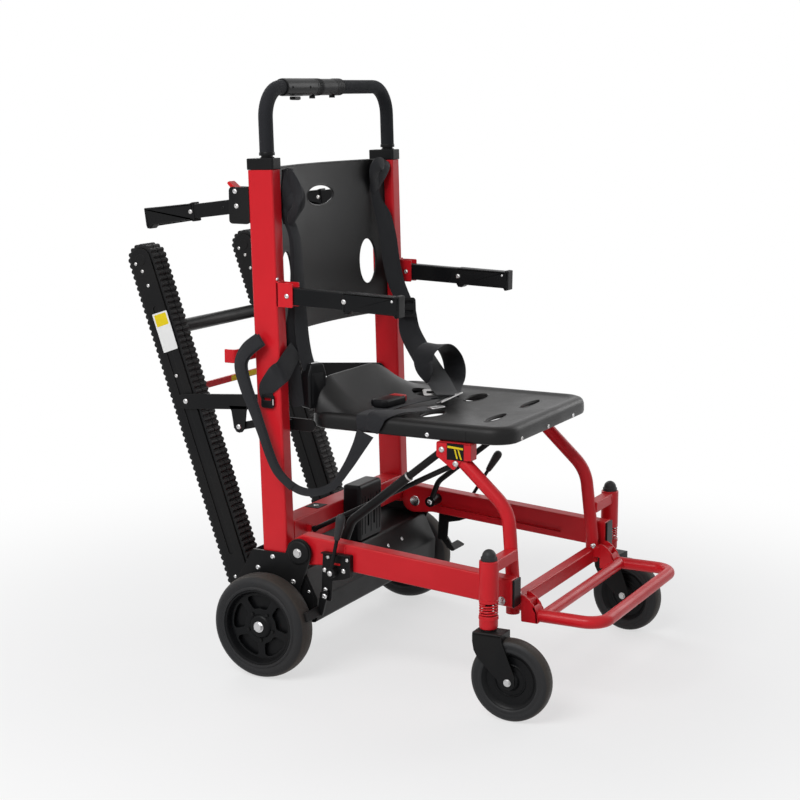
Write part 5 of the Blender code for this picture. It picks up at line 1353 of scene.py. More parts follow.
@dataclass
class Rails:
    """The base rails with their end caps, brake plates, hand levers and shoes."""

    base: Base
    x: Pair = (0.215, 0.245)
    front_y: float = -0.489
    top_z: Pair = (0.270, 0.239)
    height: float = 0.051
    rear_radius: float = 0.027
    lever_y: dict = field(default_factory=lambda: {Side.RIGHT: -0.128, Side.LEFT: -0.146})
    brake_plate: float = 0.004
    lever_z: float = 0.209
    lever_x: float = 0.2625
    lever_length: dict = field(default_factory=lambda: {Side.RIGHT: 0.118, Side.LEFT: 0.167})
    applied: float = math.radians(12)
    throw: float = math.radians(20)
    shoe_pivot: Pair = (-0.110, 0.160)
    shoe_throw: float = math.radians(50)

    def top(self, y: float) -> float:
        """Return the height of the rails' top edge."""
        share = (y - self.base.pivot[0]) / (self.front_y - self.base.pivot[0])
        return self.top_z[0] + (self.top_z[1] - self.top_z[0]) * share

    def build(self) -> None:
        """Build both rails with their brakes."""
        for side in Side:
            self.build_rail(side)
            self.build_cap(side)
            self.build_lever(side)
            self.build_shoe(side)

    def build_rail(self, side: Side) -> None:
        """Build a rail with its long slot, its weld, its brake plate and its bolts."""
        sign = side.value
        y, z = self.base.pivot
        low, high = self.x
        outline = [(y, self.top(y)), (self.front_y, self.top(self.front_y)),
                   (self.front_y, self.top(self.front_y) - self.height),
                   (-0.100, self.top(-0.100) - self.height)]
        outline += arc((y, z), self.rear_radius, range(-100, 61, 10))
        piece = Piece(f"{side.word}_rail", "red_alloy", "rails")
        beam = moved(plate(outline, high - low, 0.003, segments=3), side_view(sign * (low + high) / 2))
        groove = plate(stadium((-0.124, 0.236), (-0.389, 0.214), 0.0060), 0.016, 0)
        piece.add(cut(beam, moved(groove, side_view(sign * low))), Finishes.RED)
        bead = []
        for i in range(13):
            height = self.top(-0.150) - 0.005 - (self.height - 0.010) * i / 12
            bead.append((sign * (high + 0.0004), -0.150 + 0.0006 * math.sin(i * 2.4), height))
        piece.add(rod(bead, 0.0018, sides=8, scales=[1 + 0.22 * math.sin(i * 1.9) for i in range(13)]),
                  Finishes.RED)
        self.add_brake_plate(piece, side)
        piece.add(hexagon(0.0062, 0.0040), Finishes.ZINC, facing((sign * high, -0.469, 0.199), (sign, 0, 0)))
        piece.spun([(0, 0.002), (0.0095, 0.002), (0.011, 0.001), (0.011, -0.0005), (0, -0.0005)],
                   Finishes.ZINC, (sign * low, y - 0.004, z - 0.002), (-sign, 0, 0))
        piece.done()

    def add_brake_plate(self, piece: Piece, side: Side) -> None:
        """Add the black plate that carries a brake, with its flanges and bolts."""
        sign = side.value
        far = self.x[1] + self.brake_plate
        free = -0.148 if side is Side.RIGHT else -0.124
        outline = [(-0.104, 0.245), (-0.167, 0.245), (-0.167, 0.203), (-0.150, 0.196), (-0.124, 0.190),
                   (-0.121, 0.150), (-0.099, 0.150)]
        piece.side_plate(rounded(outline, 0.003), (sign * self.x[1], sign * far), Finishes.BLACK_COAT)
        piece.box((sign * (far - 0.001), -0.167, 0.2425), (sign * (far + 0.0085), -0.104, 0.245),
                  Finishes.BLACK_COAT, 0.0006)
        piece.box((sign * (far - 0.001), -0.167, 0.204), (sign * (far + 0.0085), -0.1645, 0.2435),
                  Finishes.BLACK_COAT, 0.0006)
        piece.bolts([(sign * far, y, z) for y, z in ((-0.108, 0.209), (free, 0.212), (-0.109, 0.171))],
                    (sign, 0, 0), 0.0052, 0.003)
        piece.bolts([(sign * far, y, z) for y, z in ((-0.115, 0.235), (-0.156, 0.234))], (sign, 0, 0), 0.0042,
                    0.0025)
        mark = rectangle(0.014, 0.004, 0.0012, (-0.134, 0.2235))
        piece.side_plate(mark, (sign * (far - 0.0005), sign * (far + 0.0004)), Finishes.RED_PLASTIC, 0.0002)

    def build_cap(self, side: Side) -> None:
        """Build the black cap on a rail's front end."""
        sign = side.value
        piece = Piece(f"{side.word}_rail_cap", "black_plastic", "rails")
        top = self.top(self.front_y)
        piece.box((sign * self.x[0], self.front_y - GAP, top - self.height + GAP),
                  (sign * self.x[1], self.front_y - 0.0043, top - GAP), Finishes.PLASTIC, 0.0016, 3)
        piece.done()

    def build_lever(self, side: Side) -> None:
        """Build a brake's hand lever: the right one leans less, for it is applied."""
        sign = side.value
        lean = self.applied + (self.throw if side is Side.LEFT else 0)
        y, z, length = self.lever_y[side], self.lever_z, self.lever_length[side]
        x = sign * self.lever_x
        up = Vector((0, -math.sin(lean), math.cos(lean)))
        start = Vector((x, y, z))
        piece = Piece(f"{side.word}_brake_lever", "black_steel")
        near = self.x[1] + self.brake_plate + GAP
        piece.spun([(0, 0.0165), (0.0085, 0.0165), (0.0098, 0.0152), (0.0098, 0), (0, 0)],
                   Finishes.BLACK_COAT, (sign * near, y, z), (sign, 0, 0), 28)
        piece.add(bolt(0.0055, 0.003), Finishes.ZINC, facing((sign * (near + 0.0165), y, z), (sign, 0, 0)))
        piece.add(rod([start, start + up * (length - 0.030)], 0.0036, sides=12), Finishes.BLACK_COAT)
        knob = [(0, 0.026), (0.0045, 0.0253), (0.0075, 0.0225), (0.0088, 0.017), (0.0086, 0.010),
                (0.0078, 0.000), (0.0068, -0.012), (0.0058, -0.022), (0.0050, -0.0245), (0, -0.0245)]
        piece.spun(knob, Finishes.KNOB, start + up * (length - 0.026), up, 28)
        piece.done()

    def build_shoe(self, side: Side) -> None:
        """Build a brake's shoe: the right one presses on the tyre, the left one is turned away."""
        sign = side.value
        y, z = self.shoe_pivot
        near = self.x[1] + self.brake_plate + GAP
        axle = (0, self.base.axle_z)
        reach, thickness = self.base.axle_z + GAP, 0.0046
        face = arc(axle, reach, (158, 161, 164, 168))
        back = arc(axle, reach + thickness, (168, 164, 161, 158))
        arm = [(y - 0.009, z + 0.012), (back[0][0] - 0.002, back[0][1] - 0.002),
               (back[0][0] + 0.006, back[0][1] + 0.001), (back[-1][0] + 0.001, back[-1][1] + 0.001),
               (y + 0.009, z + 0.008)]
        piece = Piece(f"{side.word}_brake_shoe", "black_steel")
        turn = Matrix()
        if side is Side.LEFT:
            pivot = Matrix.Translation((0, y, z))
            turn = pivot @ Matrix.Rotation(-self.shoe_throw, 4, "X") @ pivot.inverted()
        piece.add(plate(rounded(arm, 0.003), 0.006, 0.0008), Finishes.BLACK_COAT,
                  turn @ side_view(sign * (near + 0.003)))
        wide = (near + 0.002, 0.3045)
        piece.add(plate(face + back, wide[1] - wide[0], 0.0008), Finishes.BLACK_COAT,
                  turn @ side_view(sign * sum(wide) / 2))
        head = facing((sign * (near + 0.006), y, z), (sign, 0, 0))
        piece.add(bolt(0.0055, 0.003), Finishes.ZINC, turn @ head)
        piece.done()


@dataclass
class FrontFrame:
    """The welded front frame: bent legs, seat plates, caster arms and housings, cross member."""

    leg_x: float = 0.195
    leg_radius: float = 0.0125
    plate_x: Pair = (0.2004, 0.2044)
    seat_bolt: Pair = (-0.329, 0.453)
    rod_bolt: Pair = (-0.357, 0.429)
    caster_x: float = 0.296
    caster_y: float = -0.467
    housing_radius: float = 0.0175
    housing_z: Pair = (0.210, 0.286)
    arm_z: Pair = (0.262, 0.2835)
    footrest_x: float = 0.197
    footrest_pivot: Pair = (-0.500, 0.186)

    def build(self) -> None:
        """Build the frame."""
        piece = Piece("front_frame", "red_alloy")
        piece.box((-self.leg_x, -0.477, 0.162), (self.leg_x, -0.455, 0.190), Finishes.RED, 0.003, 3)
        for sign in (-1, 1):
            self.add_leg(piece, sign)
            self.add_seat_plate(piece, sign)
            self.add_caster_arm(piece, sign)
        piece.add(rod([(-0.1723, *self.rod_bolt), (-0.2034, *self.rod_bolt)], 0.004), Finishes.ZINC)
        piece.done()

    def add_leg(self, piece: Piece, sign: int) -> None:
        """Add a bent leg with its lug and its pivot."""
        route = [(sign * self.leg_x, -0.469, 0.163), (sign * self.leg_x, -0.469, 0.215),
                 (sign * 0.188, -0.455, 0.350), (sign * 0.190, -0.352, 0.444)]
        piece.add(rod(route, self.leg_radius, 0.075, 28, 14), Finishes.RED)
        piece.spun([(0, 0.012), (0.0075, 0.012), (0.0075, -0.01), (0, -0.01)], Finishes.BLACK_COAT,
                   (sign * 0.2027, -0.469, 0.199), (sign, 0, 0), 20)
        y, z = self.footrest_pivot
        piece.box((sign * (self.footrest_x - 0.0145), y - 0.010, z - 0.012),
                  (sign * (self.footrest_x + 0.0105), -0.470, z + 0.010), Finishes.RED, 0.002)
        piece.bolts([(sign * (self.leg_x - 0.012), -0.476, 0.197)], (-sign * 0.8, -0.6, 0), 0.0055, 0.003)

    def add_seat_plate(self, piece: Piece, sign: int) -> None:
        """Add the plate that carries the seat, with its plain black tag and yellow bars."""
        low, high = self.plate_x
        outline = [(-0.385, 0.4675), (-0.385, 0.436), (-0.369, 0.436), (-0.353, 0.416), (-0.318, 0.440),
                   (-0.318, 0.4675)]
        piece.side_plate(rounded(outline, 0.004), (sign * low, sign * high), Finishes.RED)
        piece.box((sign * 0.180, -0.388, 0.436), (sign * high, -0.384, 0.4675), Finishes.RED, 0.001)
        piece.box((sign * 0.180, -0.388, 0.4645), (sign * high, -0.320, 0.4675), Finishes.RED, 0.001)
        piece.bolts([(sign * high, *self.seat_bolt), (sign * high, *self.rod_bolt)], (sign, 0, 0), 0.0058,
                    0.003)
        face = high + 0.0004
        piece.side_plate(rectangle(0.034, 0.030, 0.001, (-0.3565, 0.4505)),
                         (sign * (high - 0.0002), sign * face), Finishes.PLASTIC, 0.0001)
        bars = [[(-0.341, 0.4615), (-0.372, 0.4595), (-0.372, 0.4555), (-0.341, 0.4575)],
                [(-0.354, 0.4560), (-0.357, 0.4555), (-0.362, 0.4385), (-0.359, 0.4385)],
                [(-0.361, 0.4555), (-0.364, 0.4550), (-0.370, 0.4375), (-0.367, 0.4375)]]
        for bar in bars:
            piece.side_plate(bar, (sign * face, sign * (face + 0.0002)), Finishes.YELLOW, 0)

    def add_caster_arm(self, piece: Piece, sign: int) -> None:
        """Add the arm and the housing of a sprung caster."""
        y, x = self.caster_y, self.caster_x
        low, high = self.arm_z
        piece.box((sign * self.leg_x, y - 0.011, low), (sign * (x - 0.006), y + 0.011, high), Finishes.RED,
                  0.0025, 3)
        radius, (foot, top) = self.housing_radius, self.housing_z
        profile = [(0.0073, top), (radius - 0.0012, top), (radius, top - 0.0012), (radius, foot + 0.0068),
                   (radius - 0.0006, foot + 0.0063), (radius - 0.0006, foot + 0.0057),
                   (radius, foot + 0.0052), (radius, foot + 0.001), (radius - 0.001, foot), (0.0073, foot)]
        piece.add(turned(profile, 48, True), Finishes.RED, Matrix.Translation((sign * x, y, 0)))
        seam = [(sign * (x - 0.0172), y + 0.0115 * math.cos(a), (low + high) / 2 + 0.0112 * math.sin(a))
                for a in [TURN * i / 20 for i in range(20)]]
        piece.add(swept([Vector(p) for p in seam], circle((0, 0), 0.0014, 6), loop=True), Finishes.RED)


@dataclass
class Casters:
    """The sprung stems, springs, forks and wheels of the two casters."""

    frame: FrontFrame
    stem_radius: float = 0.007
    collar_z: Pair = (0.163, 0.187)
    dome_radius: float = 0.0145
    dome_top: float = 0.306
    wire: float = 0.0017
    coils: float = 4.5
    trail: float = 0.045
    wheel_radius: float = 0.075
    wheel_width: float = 0.032
    turns: dict = field(default_factory=lambda: {Side.RIGHT: math.radians(1.4), Side.LEFT: math.radians(-9)})

    def build(self) -> None:
        """Build both casters."""
        for side in Side:
            self.build_stem(side)
            self.build_spring(side)
            x, y = side.value * self.frame.caster_x, self.frame.caster_y
            centre = Matrix.Translation((x, y, 0))
            place = centre @ Matrix.Rotation(self.turns[side], 4, "Z")
            self.build_fork(side, place)
            self.build_wheel(side, place)

    def build_stem(self, side: Side) -> None:
        """Build a stem with its rubber dome and its collar."""
        place = Matrix.Translation((side.value * self.frame.caster_x, self.frame.caster_y, 0))
        name = f"{side.word}_caster_stem"
        piece = Piece(name, "red_paint")
        top = self.frame.housing_z[1] + GAP
        radius = self.dome_radius
        dome, steps, curve = [(0, self.dome_top)], 8, 0.0125
        for i in range(1, steps + 1):
            angle = math.pi / 2 * i / steps
            dome.append((curve * math.sin(angle), self.dome_top - curve * (1 - math.cos(angle))))
        dome += [(0.0130, top + 0.006), (radius, top + 0.0055), (radius, top), (0, top)]
        piece.add(turned(dome, 40), Finishes.KNOB, place)
        piece.add(turned([(0, top), (self.stem_radius, top), (self.stem_radius, self.collar_z[1] - 0.002),
                          (0, self.collar_z[1] - 0.002)], 24), Finishes.BLACK_COAT, place)
        low, high = self.collar_z
        wide = self.frame.housing_radius
        collar = [(0, high), (wide - 0.001, high), (wide, high - 0.001), (wide + 0.0004, high - 0.006),
                  (wide - 0.0006, high - 0.0075), (wide - 0.0006, low + 0.004), (wide - 0.002, low + 0.0005),
                  (0.011, low + 0.0002), (0, low + 0.0002)]
        piece.add(turned(collar, 48), Finishes.RED, place)
        piece.done()

    def build_spring(self, side: Side) -> None:
        """Build the coil spring between the collar and the housing."""
        low, high = self.collar_z[1] + GAP + self.wire, self.frame.housing_z[0] - GAP - self.wire
        radius = self.frame.housing_radius - self.wire - 0.0004
        count = int(self.coils * 20)
        x, y = side.value * self.frame.caster_x, self.frame.caster_y
        path = []
        for i in range(count + 1):
            share = i / count
            level = min(max((share - 0.06) / 0.88, 0), 1)
            angle = TURN * self.coils * share
            path.append(Vector((x + radius * math.cos(angle), y + radius * math.sin(angle),
                                low + (high - low) * level)))
        name = f"{side.word}_caster_spring"
        piece = Piece(name, "red_paint", "front_frame")
        outs = [Vector((p.x - x, p.y - y, 0)) for p in path]
        piece.add(swept(path, circle((0, 0), self.wire, 10), outs), Finishes.RED)
        obj = piece.done(60, False)
        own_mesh(obj)

    def build_fork(self, side: Side, place: Matrix) -> None:
        """Build a fork: a folded top with a neck, two tapering cheeks and the axle's bolt."""
        name = f"{side.word}_caster_fork"
        piece = Piece(name, "black_steel")
        top, bottom = self.collar_z[0] - GAP, self.collar_z[0] - 0.0108
        inner = self.wheel_width / 2 + 0.0015
        outer = inner + 0.003
        axle_y, axle_z = -self.trail, self.wheel_radius
        piece.add(turned([(0, top), (0.0125, top), (0.0145, top - 0.0015), (0.0145, top - 0.004),
                          (0, top - 0.004)], 32), Finishes.BLACK_COAT, place)
        high = top - 0.0035
        piece.add(moved(block((2 * outer, 0.0558, high - bottom), 0.002, 3),
                        Matrix.Translation((0, -0.005, (high + bottom) / 2))), Finishes.BLACK_COAT, place)
        end = arc((axle_y, axle_z), 0.0135, range(196, 352, 15))
        outline = [(0.0228, high - 0.002), (-0.0328, high - 0.002), (-0.0332, bottom - 0.004)]
        outline += [(axle_y - 0.0130, axle_z + 0.012), *end, (0.012, 0.112), (0.0200, 0.126),
                    (0.0228, 0.142)]
        outline = rounded(outline[:3], 0.001, 2)[2:] + outline[3:] + [(0.0228, high - 0.003)]
        for sign in (-1, 1):
            piece.add(plate(outline, 0.003, 0.0007), Finishes.BLACK_COAT,
                      place @ side_view(sign * (inner + 0.0015)))
            spot = facing((sign * outer, axle_y, axle_z), (sign, 0, 0))
            piece.add(hexagon(0.0056, 0.0030), Finishes.ZINC, place @ spot)
        piece.add(rod([(-inner, axle_y, axle_z), (inner, axle_y, axle_z)], 0.0046), Finishes.ZINC, place)
        piece.add(moved(block((2 * outer - 0.001, 0.0028, 0.020), 0.0008),
                        Matrix.Translation((0, -0.0318, high - 0.0100))), Finishes.BLACK_COAT, place)
        piece.done()

    def build_wheel(self, side: Side, place: Matrix) -> None:
        """Build a caster's wheel: a dished black hub in a solid tyre."""
        name = f"{side.word}_caster_wheel"
        piece = Piece(name, "rubber")
        spot = place @ facing((0, -self.trail, self.wheel_radius), (side.value, 0, 0))
        flank = [(0.0520, 0.0140), (0.0535, 0.0155), (0.0560, 0.0160), (0.0585, 0.0148), (0.0605, 0.0152),
                 (0.0640, 0.0160), (0.0670, 0.0155), (0.0705, 0.0136), (0.0722, 0.0122), (0.0738, 0.0094),
                 (0.0747, 0.0050)]
        piece.add(turned(mirrored(flank, (self.wheel_radius, 0)), 72, True),
                  Finishes.CASTER_TYRE, spot)
        hub = [(0.0053, 0.0160), (0.0120, 0.0160), (0.0145, 0.0150), (0.0165, 0.0120), (0.0185, 0.0085),
               (0.0260, 0.0070), (0.0275, 0.0085), (0.0290, 0.0085), (0.0305, 0.0070), (0.0440, 0.0075),
               (0.0470, 0.0110), (0.0500, 0.0138), (0.0520, 0.0142)]
        piece.add(turned(mirrored(hub), 60, True), Finishes.PLASTIC, spot)
        piece.done(40)


@dataclass
class Footrest:
    """The folding footrest: a bow of tube, a rear bar and the curved channels that hold it."""

    frame: FrontFrame
    z: float = 0.166
    radius: float = 0.0115
    front_y: float = -0.640
    bend: float = 0.036
    bar_y: float = -0.530

    def build(self) -> None:
        """Build the footrest."""
        piece = Piece("footrest", "red_alloy")
        x, z = self.frame.footrest_x, self.z
        y, top = self.frame.footrest_pivot
        start = y - 0.016
        piece.add(rod([(-x, start, z), (-x, self.front_y, z), (x, self.front_y, z), (x, start, z)],
                      self.radius, self.bend, 28, 12), Finishes.RED)
        piece.add(rod([(-x, self.bar_y, z), (x, self.bar_y, z)], self.radius - 0.001, sides=28), Finishes.RED)
        bottom = z - self.radius - 0.0005
        outline = [(y + 0.010, top + 0.018), (y + 0.002, top + 0.0165), (y - 0.008, top + 0.010),
                   (y - 0.017, top + 0.000), (y - 0.0225, top - 0.012), (y - 0.025, bottom),
                   (y + 0.008, bottom)]
        for sign in (-1, 1):
            outer = (x + 0.0108, x + 0.0138)
            inner = (x - 0.0178, x - 0.0148)
            for ends in (outer, inner):
                piece.side_plate(rounded(outline, 0.002, 2), (sign * ends[0], sign * ends[1]), Finishes.RED,
                                 0.0008)
            web = [(y - 0.0240, bottom), (y - 0.0225, top - 0.010), (y - 0.016, top - 0.001),
                   (y - 0.013, top - 0.004), (y - 0.0190, top - 0.014), (y - 0.0200, bottom)]
            piece.side_plate(web, (sign * inner[0], sign * outer[1]), Finishes.RED)
        piece.done()


@dataclass
class Seat:
    """The moulded seat with its rolled rim, six openings and the rise at its rear.

    Attributes:
        half: Half its width.
        y: Its front and its rear edge.
        z: Its underside and its top.
        rise_x: The two ends of the rise.
        rise_y: The rise's front and its rear.
        rise_height: The height of the rise's ridge over the seat.
        crown: Where the ridge starts to fall to the occupant's left.
        shoulder: Where it starts to fall to the right.
        corner: The radius of the seat's corners.
        spacing: The distance between the points of its rings.
        border: The margin up to which the rings follow the edge; past it they shrink to the middle.
        holes: The openings on one side, as x, y and both half widths.
    """

    half: float = 0.200
    y: Pair = (-0.460, -0.038)
    z: Pair = (0.468, 0.500)
    rise_x: Pair = (-0.193, 0.196)
    rise_y: Pair = (-0.172, -0.061)
    rise_height: float = 0.066
    crown: float = 0.010
    shoulder: float = -0.145
    corner: float = 0.048
    spacing: float = 0.014
    border: float = 0.040
    holes: tuple = ((0.086, -0.148, 0.036, 0.022), (0.097, -0.257, 0.042, 0.020),
                    (0.080, -0.380, 0.046, 0.012))

    def ring(self, margin: float, level: float) -> list[Vector]:
        """Return an even ring round the seat at this margin from its edge and this height."""
        front, rear = self.y
        corners = [(-self.half, front), (self.half, front), (self.half, rear), (-self.half, rear)]
        points = [Vector(p) for p in rounded(corners, self.corner, 8)]
        centre = Vector((0, (front + rear) / 2))
        even = []
        for i, here in enumerate(points):
            after = points[(i + 1) % len(points)]
            parts = max(1, round((after - here).length / self.spacing))
            even += [here.lerp(after, k / parts) for k in range(parts)]
        ring = []
        for i, here in enumerate(even):
            along = (even[(i + 1) % len(even)] - even[i - 1]).normalized()
            across = Vector((-along.y, along.x))
            ring.append(Vector((*(here + across * min(margin, self.border)), level)))
        if margin > self.border:
            share = (margin - self.border) / (self.half - self.border)
            ring = [Vector((*p.xy.lerp(centre, share), level)) for p in ring]
        return ring

    def shell(self) -> Shape:
        """Return the seat's closed shell, lofted ring by ring from its underside to its middle."""
        low, high = self.z
        rings = [(0.013, low + 0.0005), (0.004, low), (0.0010, low + 0.002), (0.0, low + 0.006),
                 (0.0, low + 0.014), (0.0006, high - 0.011), (0.0025, high - 0.0055), (0.006, high - 0.0022),
                 (0.011, high - 0.0004), (0.016, high - 0.0001), (0.021, high - 0.0012),
                 (0.026, high - 0.0030), (0.031, high - 0.0040), (self.border, high - 0.0044)]
        steps, reach, dip = 10, 0.155, 0.0030
        rings += [(self.border + reach * i / steps, high - 0.0044 - dip * math.sin(math.pi / 2 * i / steps))
                  for i in range(1, steps + 1)]
        bm = started()
        loops = []
        for margin, level in rings:
            verts = [bm.verts.new(p) for p in self.ring(margin, level)]
            loops.append([bm.edges.new(pair) for pair in zip(verts, verts[1:] + verts[:1])])
        for lower, upper in zip(loops, loops[1:]):
            bmesh.ops.bridge_loops(bm, edges=lower + upper)
        for end in (loops[0], loops[-1]):
            bmesh.ops.contextual_create(bm, geom=end)
        bmesh.ops.recalc_face_normals(bm, faces=bm.faces)
        return bm

    def drill(self, x: float, y: float, half_x: float, half_y: float) -> Shape:
        """Return the tool that cuts an oval opening."""
        return moved(plate(ellipse((x, y), half_x, half_y, 56), 0.10, 0),
                     Matrix.Translation((0, 0, self.z[1])))

    def ridge(self, x: float) -> float:
        """Return how high the rise's ridge stands over the seat at a place across it, as a share."""
        if x > self.crown:
            fall = min(1.0, (x - self.crown) / (self.rise_x[1] - self.crown))
            return (0.5 + 0.5 * math.cos(math.pi * fall)) ** 0.85
        turn = max(0.0, self.shoulder - x) / (self.shoulder - self.rise_x[0])
        return math.sqrt(max(0.0, 1 - turn ** 2)) * 0.75 + 0.25 * (1 - turn)

    def rise(self) -> Shape:
        """Return the rise at the rear, a sheet that curves up to a rolled ridge."""
        front, back = self.rise_y
        foot, lip, lip_share = self.z[1] - 0.0052, 0.007, 0.06
        bm = started()
        bmesh.ops.create_grid(bm, x_segments=56, y_segments=30, size=1)
        for vert in bm.verts:
            share = (vert.co.x + 1) / 2
            x = self.rise_x[0] + (self.rise_x[1] - self.rise_x[0]) * share
            along = (vert.co.y + 1) / 2 * (1 + lip_share)
            height = self.rise_height * self.ridge(x)
            level = foot + height * min(along, 1.0) ** 1.75
            if along > 1:
                level -= lip * min(1.0, height / 0.02) * ((along - 1) / lip_share) ** 2
            vert.co = (x, front + (back - front) * along, level)
        bmesh.ops.recalc_face_normals(bm, faces=bm.faces)
        bmesh.ops.solidify(bm, geom=bm.faces[:], thickness=0.005)
        bmesh.ops.recalc_face_normals(bm, faces=bm.faces)
        return eased(bm, 0.0016, 3, 60)

    def build(self) -> None:
        """Build the seat."""
        shell = self.shell()
        surface = BVHTree.FromBMesh(shell)
        rims = [(sign * x, *rest) for x, *rest in self.holes for sign in (-1, 1)]
        wall = 0.0085
        inner = rectangle(2 * (self.half - wall), self.y[1] - self.y[0] - 2 * wall, 0.040,
                          (0, sum(self.y) / 2), 6)
        hollow = moved(plate(inner, 0.030, 0), Matrix.Translation((0, 0, self.z[1] - 0.028)))
        piece = Piece("seat", "black_plastic")
        piece.add(cut(shell, *(self.drill(*rim) for rim in rims), hollow), Finishes.SHELL)
        for x, y, half_x, half_y in rims:
            path = []
            for a, b in ellipse((x, y), half_x - 0.0005, half_y - 0.0005, 56):
                hit = surface.ray_cast(Vector((a, b, 0.6)), Vector((0, 0, -1)))[0]
                path.append(Vector((a, b, hit.z - 0.0014)))
            piece.add(swept(path, circle((0, 0), BEAD, 8), loop=True), Finishes.SHELL)
        piece.add(cut(self.rise(), *(self.drill(*rim) for rim in rims[:2])), Finishes.SHELL)
        for sign in (-1, 1):
            piece.bolts([(sign * self.half, -0.052, 0.4765), (sign * self.half, -0.297, 0.4765)],
                        (sign, 0, 0), 0.0045, 0.002)
            piece.box((sign * (self.half - 0.0005), -0.3748, 0.4705),
                      (sign * (self.half + 0.0004), -0.3736, 0.4900), Finishes.SHELL, 0.0003)
        piece.bolts([(-0.019, self.y[0], 0.4745), (0.104, self.y[0], 0.4745), (-0.142, self.y[0], 0.4745)],
                    (0, -1, 0), 0.0040, 0.0018)
        for x in (-0.140, 0.0, 0.140):
            piece.box((x - 0.0015, -0.445, self.z[1] - 0.022), (x + 0.0015, -0.052, self.z[1] - 0.0120),
                      Finishes.SHELL, 0.0004)
        piece.done(40, False)


@dataclass
class Struts:
    """The two seat struts and the gas spring beside the right one."""

    frame: FrontFrame
    x: float = 0.185
    radii: dict = field(default_factory=lambda: {Side.RIGHT: 0.009, Side.LEFT: 0.0058})
    ring: Pair = (-0.252, 0.391)
    foot: Pair = (-0.113, 0.247)
    gas_x: float = -0.168
    gas_pivot: Pair = (-0.040, 0.262)
    gas_length: float = 0.240

    def build(self) -> None:
        """Build the struts and the gas spring."""
        for side in Side:
            sign, radius = side.value, self.radii[side]
            top = self.frame.seat_bolt
            x = sign * self.x
            piece = Piece(f"{side.word}_strut", "black_steel", "struts")
            piece.add(rod([(x, *self.ring), (x, -0.130, 0.292), (x, *self.foot)], radius, 0.035, 20, 10),
                      Finishes.BLACK_COAT)
            piece.add(rod([(x, *top), (x, *self.ring)], radius * 0.78, sides=18), Finishes.BLACK_COAT)
            along = Vector((0, self.ring[0] - top[0], self.ring[1] - top[1])).normalized()
            collar = [(0, 0.0016), (radius * 1.02, 0.0016), (radius * 1.05, 0.001), (radius * 1.05, -0.001),
                      (radius * 1.02, -0.0016), (0, -0.0016)]
            piece.spun(collar, Finishes.ZINC, (x, *self.ring), along)
            piece.add(rod([(x - sign * 0.007, *top), (sign * 0.2001, *top)], 0.0075, sides=24),
                      Finishes.BLACK_COAT)
            piece.add(rod([(x - sign * 0.006, *self.foot), (sign * 0.2147, *self.foot)], 0.011, sides=28),
                      Finishes.BLACK_COAT)
            piece.bolts([(x - sign * 0.006, *self.foot)], (-sign, 0, 0), 0.006, 0.003)
            piece.done()
        self.build_gas_spring()

    def build_gas_spring(self) -> None:
        """Build the gas spring's tube and its rod."""
        start, end = Vector((self.gas_x, *self.gas_pivot)), Vector((self.gas_x, *self.frame.rod_bolt))
        along = (end - start).normalized()
        whole = (end - start).length
        halves = (("gas_spring_tube", "gas_tube", 0.004, self.gas_length, 0.0046, self.gas_pivot, 0.006),
                  ("gas_spring_rod", "gas_rod", 0.2452, whole - 0.005, 0.0052, self.frame.rod_bolt, 0.007))
        for name, body, first, last, radius, pin, eye in halves:
            piece = Piece(name, "black_steel", body)
            piece.add(rod([start + along * first, start + along * last], radius, sides=20),
                      Finishes.BLACK_COAT)
            if body == "gas_rod":
                piece.add(rod([start + along * 0.030, start + along * last], 0.0028, sides=16), Finishes.ZINC)
            ends = [(0, 0.004), (eye - 0.001, 0.004), (eye, 0.003), (eye, -0.003), (eye - 0.001, -0.004),
                    (0, -0.004)]
            piece.spun(ends, Finishes.BLACK_COAT, (self.gas_x, *pin), (1, 0, 0))
            if body == "gas_tube":
                piece.spun([(0, 0.004), (0.0042, 0.004), (0.0048, 0.0), (0.0048, -0.006), (0, -0.006)],
                           Finishes.PLASTIC, start + along * self.gas_length, along, 20)
            piece.done()


